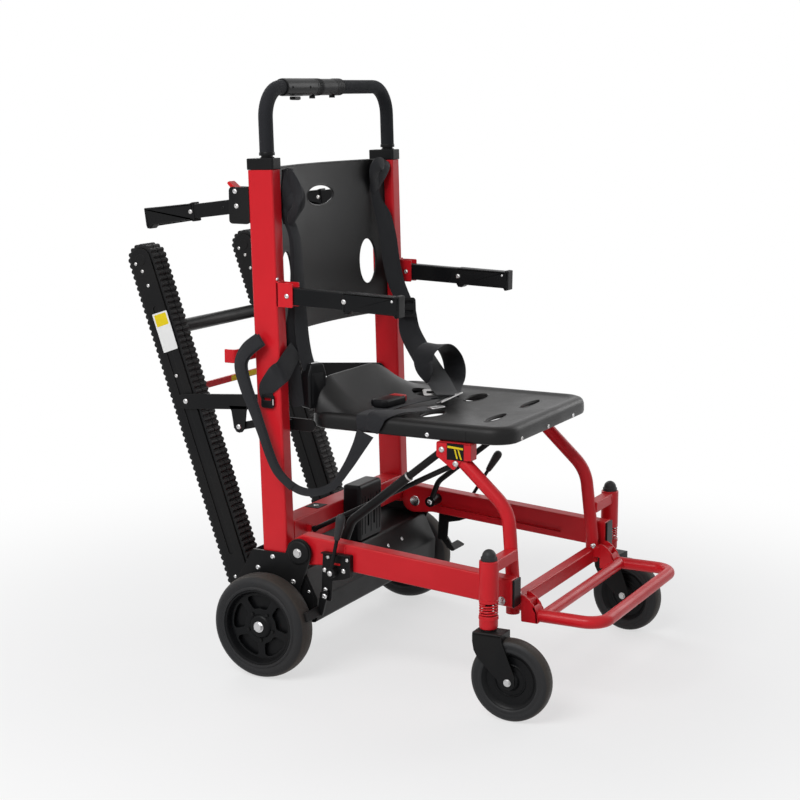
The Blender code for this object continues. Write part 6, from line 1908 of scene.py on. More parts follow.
@dataclass
class CarryHandles:
    """The folding carry handles at the front and the rear of both posts, and the rear ones' latches."""

    posts: Posts
    width: float = 0.020
    front_tilt: float = math.radians(1.8)
    rear_tilt: float = math.radians(-7.6)

    @staticmethod
    def tilted(centre: Pair, tilt: float, points: Sequence[Pair]) -> list[Pair]:
        """Return (forward, up) points turned by a tilt about a centre, as y and z."""
        return [(centre[0] + a * math.cos(tilt) - b * math.sin(tilt),
                 centre[1] + a * math.sin(tilt) + b * math.cos(tilt)) for a, b in points]

    def build(self) -> None:
        """Build all four handles and both latches."""
        for side in Side:
            self.build_front(side)
            self.build_rear(side)
            self.build_latch(side)

    def add_bars(self, piece: Piece, x: float, bar: Sequence[Pair], grip: Sequence[Pair],
                 ease: float) -> None:
        """Add a handle's bar and the wider grip on its end."""
        half, extra = self.width / 2, 0.003
        piece.side_plate(bar, (x - half, x + half), Finishes.PLASTIC, 0.0022, segments=3)
        piece.side_plate(rounded(grip, 0.0016, 3), (x - half - extra, x + half + extra), Finishes.PLASTIC,
                         ease, segments=4)

    def build_front(self, side: Side) -> None:
        """Build a front handle: a flat bar, a moulded grip with a lug under it, and its screws."""
        name, x = f"{side.word}_front_handle", side.value * self.posts.grip_x
        piece = Piece(name, "black_plastic")
        tall = 0.016
        bar = [(0.010, -tall), (0.010, tall), (-0.126, tall), (-0.126, -tall)]
        grip = [(-0.120, -tall - 0.001), (-0.120, tall + 0.001), (-0.226, tall + 0.001),
                (-0.228, tall + 0.0035), (-0.2355, tall + 0.0030), (-0.2362, -tall - 0.004),
                (-0.228, -tall - 0.006), (-0.225, -tall - 0.001), (-0.138, -tall - 0.001),
                (-0.132, -tall - 0.0065), (-0.124, -tall - 0.0065)]
        pose = self.posts.front_pivot, self.front_tilt
        self.add_bars(piece, x, rounded(self.tilted(*pose, bar), 0.007), self.tilted(*pose, grip), 0.0034)
        spot, end = self.tilted(*pose, [(-0.124, 0.000), (-0.222, 0.009)])
        for sign in (-1, 1):
            piece.bolts([(x + sign * 0.0130, *spot)], (sign, 0, 0), 0.0050, 0.0025)
            piece.bolts([(x + sign * 0.0130, *end)], (sign, 0, 0), 0.0026, 0.0012)
        piece.done()

    def build_rear(self, side: Side) -> None:
        """Build a rear handle: a bar that tips down and a flared grip."""
        name, x = f"{side.word}_rear_handle", side.value * self.posts.grip_x
        piece = Piece(name, "black_plastic")
        tall = 0.0135
        bar = [(-0.012, -tall), (0.106, -tall), (0.106, tall), (-0.012, tall)]
        grip = [(0.098, -tall - 0.005), (0.103, -tall - 0.0055), (0.109, -tall - 0.0015),
                (0.194, -tall - 0.003), (0.203, -tall - 0.0095), (0.2095, -tall - 0.0080),
                (0.211, -tall - 0.002), (0.211, tall + 0.004), (0.196, tall + 0.0035), (0.108, tall + 0.002),
                (0.098, tall + 0.004)]
        pose = self.posts.rear_pivot, self.rear_tilt
        self.add_bars(piece, x, rounded(self.tilted(*pose, bar), 0.008), self.tilted(*pose, grip), 0.0036)
        spot, hole = self.tilted(*pose, [(0.104, 0.0), (0.032, 0.0)])
        for sign in (-1, 1):
            piece.bolts([(x + sign * 0.0130, *spot)], (sign, 0, 0), 0.0045, 0.0022)
            piece.bolts([(x + sign * 0.0100, *hole)], (sign, 0, 0), 0.0032, 0.0012, Finishes.BLACK_COAT)
        piece.done()

    def build_latch(self, side: Side) -> None:
        """Build the red tab that frees a rear handle."""
        name, x = f"{side.word}_handle_latch", side.value * self.posts.grip_x
        piece = Piece(name, "red_paint")
        y, z = self.posts.rear_pivot[0] + 0.003, self.posts.rear_pivot[1] + 0.026
        outline = [(y - 0.007, z - 0.007), (y + 0.010, z - 0.007), (y + 0.013, z + 0.008),
                   (y + 0.020, z + 0.0155), (y + 0.0155, z + 0.0195), (y + 0.001, z + 0.008),
                   (y - 0.007, z + 0.007)]
        piece.side_plate(rounded(outline, 0.002), (x - 0.0098, x + 0.0098), Finishes.RED_PLASTIC, 0.0008)
        piece.done()


@dataclass
class Tracks:
    """The stair tracks: their frame, toothed belts, idlers, drive shaft, release bar and props.

    Attributes:
        posts: The posts that they fold against.
        x: The middle of a track at either side.
        half: Half a track's width.
        foot: The drive shaft's place.
        lean: How far the tracks lean back.
        length: The distance between the drive shaft and an idler.
        roller: The radius of the rollers.
        plate_thickness: The thickness of a track's side plates.
        belt: The thickness of a belt under its teeth.
        tooth: The height of a tooth.
        pitch: The distance between two teeth.
        tube_along: How far up the tracks the cross tube stands.
        bar_along: How far up the tracks the release bar stands.
        prop_tip: The rear end of a prop.
        prop_x: The inner and the outer face of a prop.
    """

    posts: Posts
    x: float = 0.185
    half: float = 0.025
    foot: Pair = (0.087, 0.095)
    lean: float = math.radians(19.4)
    length: float = 0.713
    roller: float = 0.0239
    plate_thickness: float = 0.003
    belt: float = 0.0035
    tooth: float = 0.0035
    pitch: float = 0.0115
    tube_along: float = 0.570
    bar_along: float = 0.444
    prop_tip: Pair = (0.226, 0.497)
    prop_x: Pair = (0.2110, 0.2155)

    @property
    def inner(self) -> float:
        """Return how far the space between a track's plates reaches to each side."""
        return self.half - self.plate_thickness - 0.0006

    def at(self, along: float, across: float) -> Pair:
        """Return the (y, z) at a distance up the track and across it towards the rear."""
        sine, cosine = math.sin(self.lean), math.cos(self.lean)
        return (self.foot[0] + along * sine + across * cosine, self.foot[1] + along * cosine - across * sine)

    def place(self, x: float) -> Matrix:
        """Return the placing of a flat shape drawn across the track and up it."""
        return side_view(x) @ Matrix.Translation((*self.foot, 0)) @ Matrix.Rotation(-self.lean, 4, "Z")

    def local(self, y: float, z: float) -> Pair:
        """Return the place across the track and up it of a place in the side view."""
        sine, cosine = math.sin(self.lean), math.cos(self.lean)
        dy, dz = y - self.foot[0], z - self.foot[1]
        return (dy * cosine - dz * sine, dy * sine + dz * cosine)

    def build(self) -> None:
        """Build the tracks."""
        self.build_frame()
        for side in Side:
            self.build_belt(side)
            self.build_idler(side)
            self.build_prop(side)
        self.build_release_bar()
        self.build_shaft()

    def build_frame(self) -> None:
        """Build both track beams with their plates, grooves, bolts and blank labels, and the cross tube."""
        piece = Piece("track_frame", "track_profile", "tracks")
        radius, length = self.roller, self.length
        for sign in (-1, 1):
            core = [(-radius + 0.0006, radius + 0.004), (radius - 0.0006, radius + 0.004),
                    (radius - 0.0006, length - radius - 0.004), (-radius + 0.0006, length - radius - 0.004)]
            piece.add(plate(core, 2 * (self.half - 0.002), 0.0004), Finishes.BLACK_COAT,
                      self.place(sign * self.x))
            for face in (-1, 1):
                x = sign * self.x + face * (self.half - self.plate_thickness / 2)
                groove = stadium((0, 0.118), (0, length - 0.100), 0.0062, 8)
                outline = stadium((0, 0), (0, length), radius - 0.0008, 16)
                skin = plate(outline, self.plate_thickness, 0.0007, [groove])
                piece.add(skin, Finishes.BLACK_COAT, self.place(x))
                wall = sign * self.x + face * (self.half - 0.0025)
                for along in (0.0, length):
                    piece.spun([(0, 0.001), (0.0105, 0.001), (0.0115, 0), (0, 0)], Finishes.BLACK_COAT,
                               (wall + face * 0.0025, *self.at(along, 0)), (face, 0, 0))
                spots = [self.at(length - 0.004, 0.013), self.at(length - 0.022, 0.003),
                         self.at(length - 0.052, 0.0), self.at(0.477, 0.0), self.at(0.068, 0.008)]
                piece.bolts([(sign * self.x + face * self.half, *spot) for spot in spots], (face, 0, 0),
                            0.0036, 0.0016)
            corners = [(0.299, 0.662), (0.265, 0.673), (0.240, 0.600), (0.273, 0.588)]
            label = rounded([self.local(*corner) for corner in corners], 0.002)
            face = sign * (self.x + self.half)
            piece.add(plate(label, 0.0004, 0), Finishes.LABEL, self.place(face + sign * 0.0002))
            band = [(0.2945, 0.6600), (0.2675, 0.6690), (0.2600, 0.6470), (0.2870, 0.6375)]
            band = rounded([self.local(*corner) for corner in band], 0.0015)
            piece.add(plate(band, 0.0002, 0), Finishes.YELLOW, self.place(face + sign * 0.0005))
        y, z = self.at(self.tube_along, 0)
        end = self.x - self.half
        piece.add(rod([(-end, y, z), (end, y, z)], 0.0135, sides=32), Finishes.BLACK_COAT)
        for sign in (-1, 1):
            piece.spun([(0.0133, 0.004), (0.0165, 0.001), (0.0165, -0.001), (0.0133, -0.001)],
                       Finishes.BLACK_COAT, (sign * end, y, z), (-sign, 0, 0), 32, ring=True)
        piece.done()

    def loop(self, height: float, distance: float) -> Pair:
        """Return the place at a height off the rollers, this far round the belt's loop."""
        root = self.roller + GAP + self.belt
        half_turn = math.pi * root
        distance %= 2 * (self.length + half_turn)
        if distance < self.length:
            return (height, distance)
        distance -= self.length
        if distance < half_turn:
            angle = distance / root
            return (height * math.cos(angle), self.length + height * math.sin(angle))
        distance -= half_turn
        if distance < self.length:
            return (-height, self.length - distance)
        angle = (distance - self.length) / root
        return (-height * math.cos(angle), -height * math.sin(angle))

    def build_belt(self, side: Side) -> None:
        """Build a belt with rounded teeth, cut in two rows."""
        sign = side.value
        name = f"{side.word}_track_belt"
        piece = Piece(name, "rubber", "tracks")
        root = self.roller + GAP + self.belt
        total = 2 * (self.length + math.pi * root)
        count = round(total / self.pitch)
        inner = self.inner
        base = [self.loop(self.roller + GAP, total * i / 200) for i in range(200)]
        outer, shape = [], ((0.02, 0.0), (0.24, 0.75), (0.34, 1.0), (0.62, 1.0), (0.72, 0.75), (0.94, 0.0))
        for i in range(count):
            for share, rise in shape:
                outer.append(self.loop(root + self.tooth * rise, (i + share) / count * total))
        body = [self.loop(root - 0.0002, total * i / 200) for i in range(200)]
        piece.add(plate(body, 2 * inner, 0, [base]), Finishes.BELT, self.place(sign * self.x))
        for start, end in ((-inner, -0.0012), (0.0012, inner)):
            middle = sign * self.x + (start + end) / 2
            piece.add(plate(outer, end - start, 0, [body]), Finishes.BELT, self.place(middle))
        piece.done(30, False)

    def build_idler(self, side: Side) -> None:
        """Build the idler roller at a track's top."""
        name = f"{side.word}_track_idler"
        piece = Piece(name, "black_plastic")
        inner = self.inner
        profile = [(0, self.half + GAP), (0.0052, self.half + GAP), (0.0058, self.half - 0.0003),
                   (0.0058, inner), (self.roller - 0.0012, inner), (self.roller - 0.0002, inner - 0.0012)]
        piece.spun(mirrored(profile), Finishes.PLASTIC, (side.value * self.x, *self.at(self.length, 0)),
                   (1, 0, 0), 48)
        piece.done()

    def build_release_bar(self) -> None:
        """Build the thin red bar between the tracks, with a plain yellow patch."""
        piece = Piece("track_tie_bar", "red_paint", "tracks", name="release_bar_dress")
        y, z = self.at(self.bar_along, -self.roller + 0.007)
        end = self.x - self.half - GAP
        piece.box((-end, y - 0.003, z - 0.0065), (end, y + 0.003, z + 0.0065), Finishes.RED, 0.001)
        piece.box((-0.060, y - 0.0032, z - 0.0055), (0.060, y + 0.0032, z + 0.0058), Finishes.YELLOW, 0.0004)
        piece.done()

    def build_shaft(self) -> None:
        """Build the shaft that drives both belts."""
        piece = Piece("track_drive_shaft", "zinc", "drive_shaft", name="drive_shaft_dress")
        near, far, end = self.x - self.inner, self.x + self.inner, self.posts.outer
        rim = self.roller - 0.0002
        profile = [(0, end), (0.0072, end), (0.0078, end - 0.0008), (0.0078, far), (rim - 0.001, far),
                   (rim, far - 0.001), (rim, near + 0.001), (rim - 0.001, near), (0.0078, near)]
        piece.spun(mirrored(profile), Finishes.ZINC, (0, *self.foot), (1, 0, 0), 48)
        piece.done()

    def build_prop(self, side: Side) -> None:
        """Build a prop with its lug, its bolts and the short link that rests in it."""
        sign = side.value
        name = f"{side.word}_track_prop"
        piece = Piece(name, "black_steel", "props")
        low, high = (sign * v for v in self.prop_x)
        outline = stadium(self.posts.prop_pivot, self.prop_tip, 0.0147, 12)
        piece.side_plate(outline, (low, high), Finishes.BLACK_COAT, 0.0008)
        lug = [(0.080, 0.500), (0.083, 0.488), (0.0855, 0.465), (0.0870, 0.455), (0.0930, 0.4475),
               (0.099, 0.446), (0.105, 0.4475), (0.1110, 0.455), (0.1125, 0.466), (0.1160, 0.487),
               (0.122, 0.498)]
        piece.side_plate(lug, (low, high), Finishes.BLACK_COAT, 0.0008)
        piece.bolts([(high, 0.099, 0.458), (high, 0.221, 0.4975)], (sign, 0, 0), 0.0055, 0.003)
        piece.side_plate(stadium((0.099, 0.458), (0.066, 0.466), 0.0075),
                         (low - sign * 0.0002, low - sign * 0.003), Finishes.BLACK_COAT, 0.0006)
        piece.done()


@dataclass
class Harness:
    """The webbing: two shoulder straps, the strap that hangs at the side and the lap belt."""

    posts: Posts
    width: float = 0.044
    thickness: float = 0.0018
    to_camera: Triple = (-0.89, -0.46, 0.0)

    def build(self) -> None:
        """Build every strap."""
        self.build_right_shoulder()
        self.build_left_shoulder()
        self.build_hanging_strap()
        self.build_lap_belt()

    def run(self, piece: Piece, places: Sequence[Triple], normals: Sequence[Triple],
            widths: Sequence[float] = (), thickness: float = 0.0, cup: float = 0.002) -> None:
        """Add a stretch of webbing; one normal stands for all."""
        if len(normals) == 1:
            normals = list(normals) * len(places)
        piece.add(strap(places, normals, self.width, thickness or self.thickness, 8, cup, widths),
                  Finishes.WEBBING)

    def build_right_shoulder(self) -> None:
        """Build the right shoulder strap: a bunch beside the post, its falls, a band and a buckle."""
        piece = Piece("right_shoulder_strap", "webbing", "chassis")
        folds = ((-0.2060, -0.010, 0.0, 0.85), (-0.2000, -0.016, 0.7, 1.0), (-0.2080, -0.020, -0.6, 0.8))
        levels = ((0.951, 0.004, 0.35), (0.930, -0.001, 0.70), (0.905, -0.006, 0.95), (0.885, -0.005, 0.95),
                  (0.865, 0.000, 0.70), (0.848, 0.004, 0.30))
        for x, y, twist, wide in folds:
            places, normals, widths = [], [], []
            for k, (z, out, share) in enumerate(levels):
                places.append((x + 0.003 * math.sin(1.7 * k + 3 * twist), y + out, z))
                angle = twist + 0.30 * math.sin(k * 1.7 + twist)
                normals.append((-math.cos(angle), -math.sin(angle) - 0.35, 0.0))
                widths.append(share * wide)
            self.run(piece, places, normals, widths, 0.006, 0.005)
        self.run(piece, ((-0.203, -0.014, 0.857), (-0.202, -0.024, 0.835), (-0.203, -0.031, 0.805),
                         (-0.204, -0.034, 0.740), (-0.202, -0.036, 0.655), (-0.197, -0.040, 0.610),
                         (-0.190, -0.045, 0.578)),
                 ((-0.5, -0.85, 0), (-0.4, -0.9, 0), (-0.3, -0.95, 0), (-0.45, -0.9, 0), (-0.6, -0.8, 0),
                  (-0.5, -0.85, 0), (-0.5, -0.85, 0)), (0.35, 0.40, 0.45, 0.50, 0.60, 0.62, 0.62))
        self.run(piece, ((-0.205, -0.006, 0.858), (-0.208, -0.020, 0.825), (-0.2085, -0.024, 0.760),
                         (-0.2085, -0.022, 0.690), (-0.2070, -0.014, 0.635), (-0.2060, -0.014, 0.590),
                         (-0.2045, -0.022, 0.545), (-0.2030, -0.030, 0.507)),
                 (self.to_camera,), (0.25, 0.25, 0.30, 0.45, 0.62, 0.70, 0.66, 0.60))
        self.add_post_band(piece)
        self.add_buckle_case(piece)
        piece.done(50, False)

    def add_post_band(self, piece: Piece) -> None:
        """Add the band that crosses the front of the right post down to a small buckle on its outer face."""
        outer = -self.posts.outer - 0.0022
        self.run(piece, ((-0.2080, -0.026, 0.616), (-0.2260, -0.024, 0.600), (-0.2480, -0.022, 0.581),
                         (outer - 0.0004, -0.015, 0.574), (outer, -0.002, 0.562), (outer, 0.012, 0.545),
                         (outer, 0.012, 0.528)),
                 ((-0.10, -1, 0.1), (-0.10, -1, 0.1), (-0.35, -1, 0.1), (-0.9, -0.6, 0.1), (-1, 0, 0),
                  (-1, 0, 0), (-1, 0, 0)),
                 (0.9, 1.0, 1.0, 0.95, 0.9, 0.75, 0.60), cup=0.0004)
        buckle = plate(rectangle(0.028, 0.026, 0.005), 0.0040, 0.0012,
                       [rectangle(0.016, 0.005, 0.002, (0, 0.004))], 3)
        piece.add(buckle, Finishes.PLASTIC, side_view(outer - 0.0022) @ Matrix.Translation((0.008, 0.522, 0)))
        piece.add(rod([(outer - 0.0045, -0.005, 0.527), (outer - 0.0045, -0.005, 0.516)], 0.0012, sides=10),
                  Finishes.ZINC)

    @staticmethod
    def add_buckle_case(piece: Piece) -> None:
        """Add the case of a plain buckle with rounded edges and a release slot."""
        place = (Matrix.Translation((-0.180, -0.047, 0.546)) @ Matrix.Rotation(math.radians(-20), 4, "Z")
                 @ Matrix.Rotation(math.pi / 2, 4, "X"))
        case = [(-0.0210, -0.043), (0.0210, -0.043), (0.0225, 0.020), (0.0150, 0.042), (-0.0150, 0.042),
                (-0.0225, 0.020)]
        piece.add(plate(rounded(case, 0.006), 0.026, 0.0042, segments=5), Finishes.PLASTIC, place)
        piece.add(plate(rectangle(0.026, 0.060, 0.003, (0, -0.006)), 0.0272, 0.0006), Finishes.PLASTIC, place)
        piece.add(plate(rectangle(0.020, 0.006, 0.0026, (0, 0.0405)), 0.0120, 0.0006), Finishes.ZINC, place)

    def build_left_shoulder(self) -> None:
        """Build the left shoulder strap: a knot, a fall through a slide and the way to the lap buckle."""
        piece = Piece("left_shoulder_strap", "webbing", "chassis")
        self.run(piece, ((0.196, 0.026, 0.951), (0.190, 0.010, 0.944), (0.184, 0.008, 0.925),
                         (0.180, 0.012, 0.903), (0.176, 0.014, 0.886)),
                 ((-0.3, -0.6, 0.8), (-0.6, -0.7, 0.4), (-0.7, -0.7, 0), (-0.7, -0.7, 0), (-0.7, -0.7, 0)),
                 (1.1, 1.15, 0.9, 0.55, 0.38), 0.005, 0.006)
        self.run(piece, ((0.206, 0.016, 0.935), (0.196, 0.002, 0.943), (0.178, 0.004, 0.944),
                         (0.170, 0.008, 0.928), (0.176, 0.010, 0.905), (0.178, 0.012, 0.884)),
                 ((-0.4, -0.9, 0.3),), (0.5, 0.6, 0.6, 0.55, 0.45, 0.30), 0.005, 0.004)
        route = ((0.176, 0.014, 0.892), (0.180, 0.010, 0.868), (0.188, 0.000, 0.838), (0.190, -0.010, 0.795),
                 (0.190, -0.018, 0.745), (0.190, -0.029, 0.702), (0.190, -0.044, 0.670),
                 (0.189, -0.055, 0.645), (0.186, -0.064, 0.602), (0.150, -0.112, 0.560),
                 (0.092, -0.170, 0.532), (0.014, -0.229, 0.519), (-0.026, -0.255, 0.518))
        widths = (0.30, 0.45, 0.72, 0.80, 0.80, 0.78, 0.72, 0.80, 1.0, 1.1, 1.1, 1.05, 1.0)
        for shift, turn, wide in ((0.0, 0.0, 1.0), (0.0045, 0.35, 0.8)):
            normals = [(-0.70 - turn, -0.70, 0.10)] * 8
            normals += [(-0.65 - turn, -0.60, 0.35), (-0.55, -0.45, 0.65), (-0.50, -0.30, 0.80),
                        (-0.40, -0.30, 0.85), (-0.30, -0.30, 0.90)]
            self.run(piece, [(x + shift, y - shift / 2, z) for x, y, z in route], normals,
                     [w * wide for w in widths])
        slide = plate(rectangle(0.030, 0.042, 0.006), 0.0050, 0.0014,
                      [rectangle(0.018, 0.008, 0.003, (0, 0.010)),
                       rectangle(0.018, 0.008, 0.003, (0, -0.010))], 3)
        piece.add(slide, Finishes.PLASTIC, facing((0.187, -0.060, 0.651), (-0.75, -0.62, 0.2)))
        piece.done(50, False)

    def build_hanging_strap(self) -> None:
        """Build the strap that hangs in a long curve outside the right post and ends over the seat's edge."""
        piece = Piece("hanging_strap", "webbing", "chassis")
        route = ((-0.2660, 0.012, 0.640), (-0.2745, 0.036, 0.620), (-0.2745, 0.051, 0.592),
                 (-0.2745, 0.042, 0.552), (-0.2745, 0.022, 0.505), (-0.2745, 0.008, 0.470),
                 (-0.2745, -0.022, 0.400), (-0.2720, -0.058, 0.367), (-0.2640, -0.094, 0.360),
                 (-0.2450, -0.124, 0.372), (-0.2300, -0.146, 0.406), (-0.2180, -0.164, 0.444),
                 (-0.2105, -0.174, 0.470))
        normals = [(-1, 0.10 * math.sin(k), 0.25) for k in range(len(route))]
        widths = (0.60, 0.62, 0.58, 0.50, 0.42, 0.36, 0.34, 0.36, 0.34, 0.36, 0.44, 0.62, 0.85)
        self.run(piece, route, normals, widths)
        second = [(x - 0.003, y + 0.004, z + 0.001) for x, y, z in route[:8]]
        self.run(piece, second, normals[:8], widths[:8])
        piece.done(50, False, "seat", ((-0.24, -0.105, 0.40), (-0.24, -0.172, 0.40)))

    def build_lap_belt(self) -> None:
        """Build the lap belt across the seat, with its buckle, its tongues and the loop that stands up."""
        piece = Piece("lap_belt", "webbing", "seat")
        top = 0.5012
        up = (0.0, 0.0, 1.0)
        self.run(piece, ((0.030, -0.212, top + 0.005), (-0.010, -0.200, top + 0.004),
                         (-0.050, -0.187, top + 0.003), (-0.095, -0.178, top + 0.003),
                         (-0.140, -0.172, top + 0.002), (-0.180, -0.172, top + 0.0015),
                         (-0.199, -0.173, top - 0.001), (-0.2035, -0.174, top - 0.010),
                         (-0.2050, -0.175, top - 0.028)),
                 [up] * 6 + [(-0.6, 0, 0.8), (-1, 0, 0.15), (-1, 0, 0)],
                 (0.9, 0.85, 0.8, 0.85, 0.9, 0.95, 1, 1, 0.9), cup=0.0006)
        self.run(piece, ((-0.080, -0.246, top + 0.001), (-0.120, -0.231, top + 0.0022),
                         (-0.160, -0.212, top + 0.0045), (-0.196, -0.196, top + 0.0020),
                         (-0.2055, -0.192, top - 0.008), (-0.2075, -0.186, top - 0.028)),
                 [up] * 3 + [(-0.6, 0, 0.8), (-1, 0, 0.15), (-1, 0, 0)], (0.8, 0.85, 0.9, 0.9, 0.8, 0.6),
                 cup=0.0006)
        self.run(piece, ((-0.030, -0.244, top + 0.012), (0.020, -0.226, top + 0.006),
                         (0.075, -0.208, top + 0.004), (0.128, -0.186, top + 0.006),
                         (0.162, -0.176, top + 0.016), (0.176, -0.170, top + 0.036),
                         (0.166, -0.166, top + 0.062), (0.135, -0.164, top + 0.084),
                         (0.105, -0.160, top + 0.090), (0.072, -0.156, top + 0.078),
                         (0.060, -0.160, top + 0.055), (0.048, -0.180, top + 0.034)),
                 ((0, 0, 1), (0, 0, 1), (0, 0, 1), (-0.3, 0, 1), (-0.8, 0, 0.7), (-1, 0, 0.1),
                  (-0.9, 0, -0.5), (-0.5, 0, -0.9), (0, 0, -1), (0.6, 0, -0.8), (1, 0, -0.2), (0.9, 0, 0.4)),
                 (1, 1, 1, 1.05, 1.1, 1.1, 1.1, 1.1, 1.1, 1.0, 0.9, 0.8))
        case = rounded([(-0.036, -0.019), (0.026, -0.019), (0.028, -0.015), (0.028, 0.015), (0.026, 0.019),
                        (-0.036, 0.019), (-0.042, 0.010), (-0.042, -0.010)], 0.004)
        place = Matrix.Translation((-0.100, -0.168, top + 0.0112)) @ Matrix.Rotation(math.radians(-6), 4, "Z")
        piece.add(plate(case, 0.015, 0.0038, segments=4), Finishes.PLASTIC, place)
        piece.add(moved(block((0.020, 0.029, 0.0125), 0.0022, 3), Matrix.Translation((0.0270, 0, 0.0018))),
                  Finishes.RED_PLASTIC, place)
        tongue = plate(rectangle(0.030, 0.022, 0.005), 0.0022, 0.0006, [rectangle(0.016, 0.008, 0.0025)])
        piece.add(tongue, Finishes.ZINC, facing((0.014, -0.197, top + 0.0115), (-0.35, -0.25, 0.9)))
        bar = rounded([(-0.030, -0.009), (0.030, -0.009), (0.030, 0.009), (-0.030, 0.009)], 0.003)
        bar_place = Matrix(((0.93, -0.35, 0.10, -0.027), (-0.30, -0.90, -0.32, -0.259),
                            (0.20, 0.26, -0.94, 0.5135), (0, 0, 0, 1)))
        turn = bar_place.to_3x3().col
        first = turn[0].normalized()
        third = (turn[0].cross(turn[1])).normalized()
        square = Matrix((first, third.cross(first), third)).transposed().to_4x4()
        buckle = plate(bar, 0.0026, 0.0007, [rectangle(0.044, 0.0075, 0.002)])
        piece.add(buckle, Finishes.ZINC, Matrix.Translation(bar_place.translation) @ square)
        low_tongue = plate(rectangle(0.034, 0.020, 0.005), 0.0022, 0.0006,
                           [rectangle(0.016, 0.006, 0.002, (-0.004, 0))])
        piece.add(low_tongue, Finishes.ZINC, Matrix.Translation((-0.084, -0.258, top + 0.0035))
                  @ Matrix.Rotation(math.radians(-20), 4, "Z"))
        piece.done(50, False)


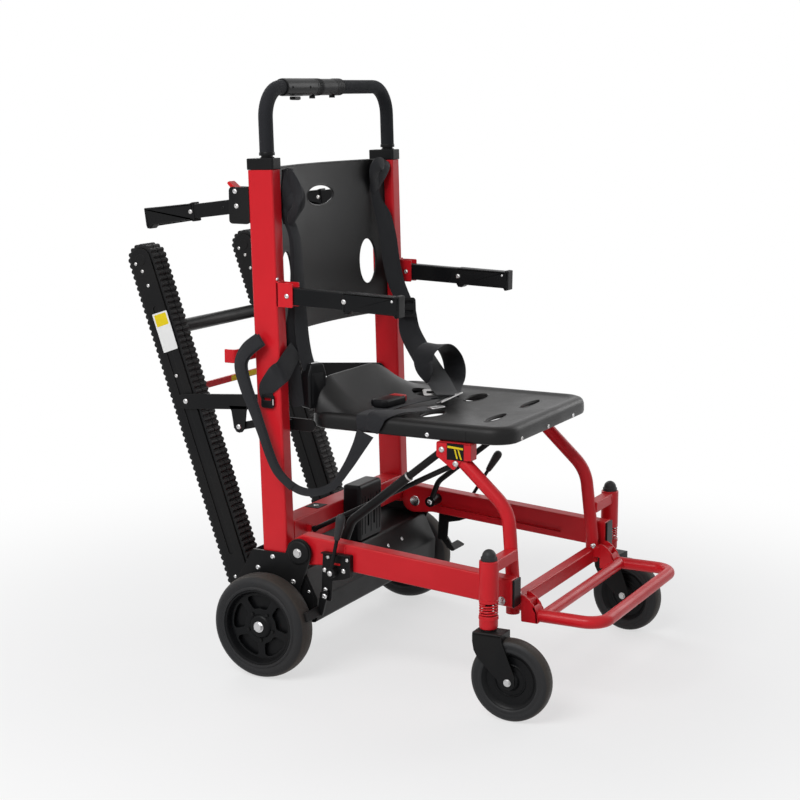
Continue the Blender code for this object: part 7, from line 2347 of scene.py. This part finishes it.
@dataclass
class Studio:
    """The camera, the lamps, the pale floor and the white behind it."""

    place: Triple = (-2.9416, -1.6755, 1.1046)
    yaw: float = 27.6068
    pitch: float = 10.411
    roll: float = -0.0879
    focus: float = 1720.2526
    picture: float = 800
    sensor: float = 36
    floor: float = 14
    fade: Pair = (0.5, 1.6)
    aim: Triple = (0, 0, 0.5)
    lamps: tuple = (("key", (-2.9, 0.2, 2.7), 2.2, 1.8, 88), ("front", (-1.2, -3.6, 1.7), 2.4, 1.6, 4),
                    ("rear", (1.8, 2.6, 2.4), 2.0, 1.6, 40), ("side", (3.0, -1.4, 1.8), 1.8, 1.6, 22))

    def build(self) -> None:
        """Set up the studio."""
        self.set_camera()
        self.set_world()
        self.add_floor()
        for lamp in self.lamps:
            self.add_lamp(*lamp)
        bpy.context.scene.view_settings.view_transform = "Standard"

    def set_camera(self) -> None:
        """Add the camera at the photograph's place."""
        yaw, pitch = math.radians(self.yaw), math.radians(self.pitch)
        forward = Vector((math.cos(yaw) * math.cos(pitch), math.sin(yaw) * math.cos(pitch), -math.sin(pitch)))
        camera = bpy.data.objects.new("camera", bpy.data.cameras.new("camera"))
        bpy.context.scene.collection.objects.link(camera)
        level = forward.to_track_quat("-Z", "Y").to_matrix().to_4x4()
        turn = level @ Matrix.Rotation(math.radians(self.roll), 4, "Z")
        camera.matrix_world = Matrix.Translation(Vector(self.place) + Vector((0, AXLE_Y, 0))) @ turn
        camera.data.sensor_width = self.sensor
        camera.data.lens = self.focus / self.picture * self.sensor
        camera.data.clip_start = 0.05
        bpy.context.scene.camera = camera

    @staticmethod
    def seen(tree: bpy.types.NodeTree) -> Socket:
        """Return the mask of what the camera sees, directly, in a reflection or through glass."""
        path = node(tree, "ShaderNodeLightPath").outputs
        through = sums(tree, "MAXIMUM", path["Is Glossy Ray"], path["Is Transmission Ray"])
        return sums(tree, "MAXIMUM", path["Is Camera Ray"], through)

    def set_world(self) -> None:
        """Light the scene evenly, with plain white behind it for the camera and in reflections."""
        world = bpy.data.worlds.new("studio")
        bpy.context.scene.world = world
        world.use_nodes = True
        tree = world.node_tree
        tree.nodes.clear()
        seen = self.seen(tree)
        soft = node(tree, "ShaderNodeBackground", {"Color": (0.93, 0.95, 1.0, 1), "Strength": 0.24})
        white = node(tree, "ShaderNodeBackground", {"Color": (1, 1, 1, 1), "Strength": 1.0})
        both = node(tree, "ShaderNodeMixShader", {0: seen, 1: soft.outputs[0], 2: white.outputs[0]})
        node(tree, "ShaderNodeOutputWorld", {0: both.outputs[0]})

    def add_floor(self) -> None:
        """Add a pale floor that fades to white away from the stretcher."""
        bm = started()
        bmesh.ops.create_grid(bm, x_segments=4, y_segments=4, size=self.floor)
        mesh = bpy.data.meshes.new("floor")
        bm.to_mesh(mesh)
        bm.free()
        floor = bpy.data.objects.new("floor", mesh)
        bpy.context.scene.collection.objects.link(floor)
        material = bpy.data.materials.new("pale_floor")
        material.use_nodes = True
        tree = material.node_tree
        tree.nodes.clear()
        place = node(tree, "ShaderNodeTexCoord").outputs["Object"]
        far = node(tree, "ShaderNodeVectorMath", {0: place}, operation="LENGTH").outputs["Value"]
        fade = ranged(tree, far, *self.fade, 0.62, 1.0)
        seen = self.seen(tree)
        matt = node(tree, "ShaderNodeBsdfDiffuse", {"Color": (0.80, 0.80, 0.80, 1)})
        white = node(tree, "ShaderNodeEmission", {"Color": (1, 1, 1, 1), "Strength": 1.0})
        share = sums(tree, "MULTIPLY", fade, seen)
        both = node(tree, "ShaderNodeMixShader", {0: share, 1: matt.outputs[0], 2: white.outputs[0]})
        node(tree, "ShaderNodeOutputMaterial", {0: both.outputs[0]})
        mesh.materials.append(material)

    def add_lamp(self, name: str, place: Triple, width: float, height: float, power: float) -> None:
        """Add a soft rectangular lamp that looks at the stretcher."""
        data = bpy.data.lights.new(name, "AREA")
        data.shape = "RECTANGLE"
        data.size, data.size_y, data.energy = width, height, power
        lamp = bpy.data.objects.new(name, data)
        bpy.context.scene.collection.objects.link(lamp)
        turn = (Vector(self.aim) - Vector(place)).to_track_quat("-Z", "Y").to_matrix().to_4x4()
        lamp.matrix_world = Matrix.Translation(place) @ turn


def main() -> None:
    """Build the stretcher's pieces in order."""
    logging.basicConfig(level=logging.INFO, format="%(message)s")
    Studio().build()
    posts = Posts()
    base = Base(posts)
    front = FrontFrame()
    for part in (posts, PushHandle(posts), Backrest(posts), base, Wheels(base), Rails(base), front,
                 Casters(front), Footrest(front), Seat(), Struts(front), CarryHandles(posts), Tracks(posts),
                 Harness(posts)):
        part.build()
        LOG.info("%s is complete", type(part).__name__)


if __name__ == "__main__":
    main()
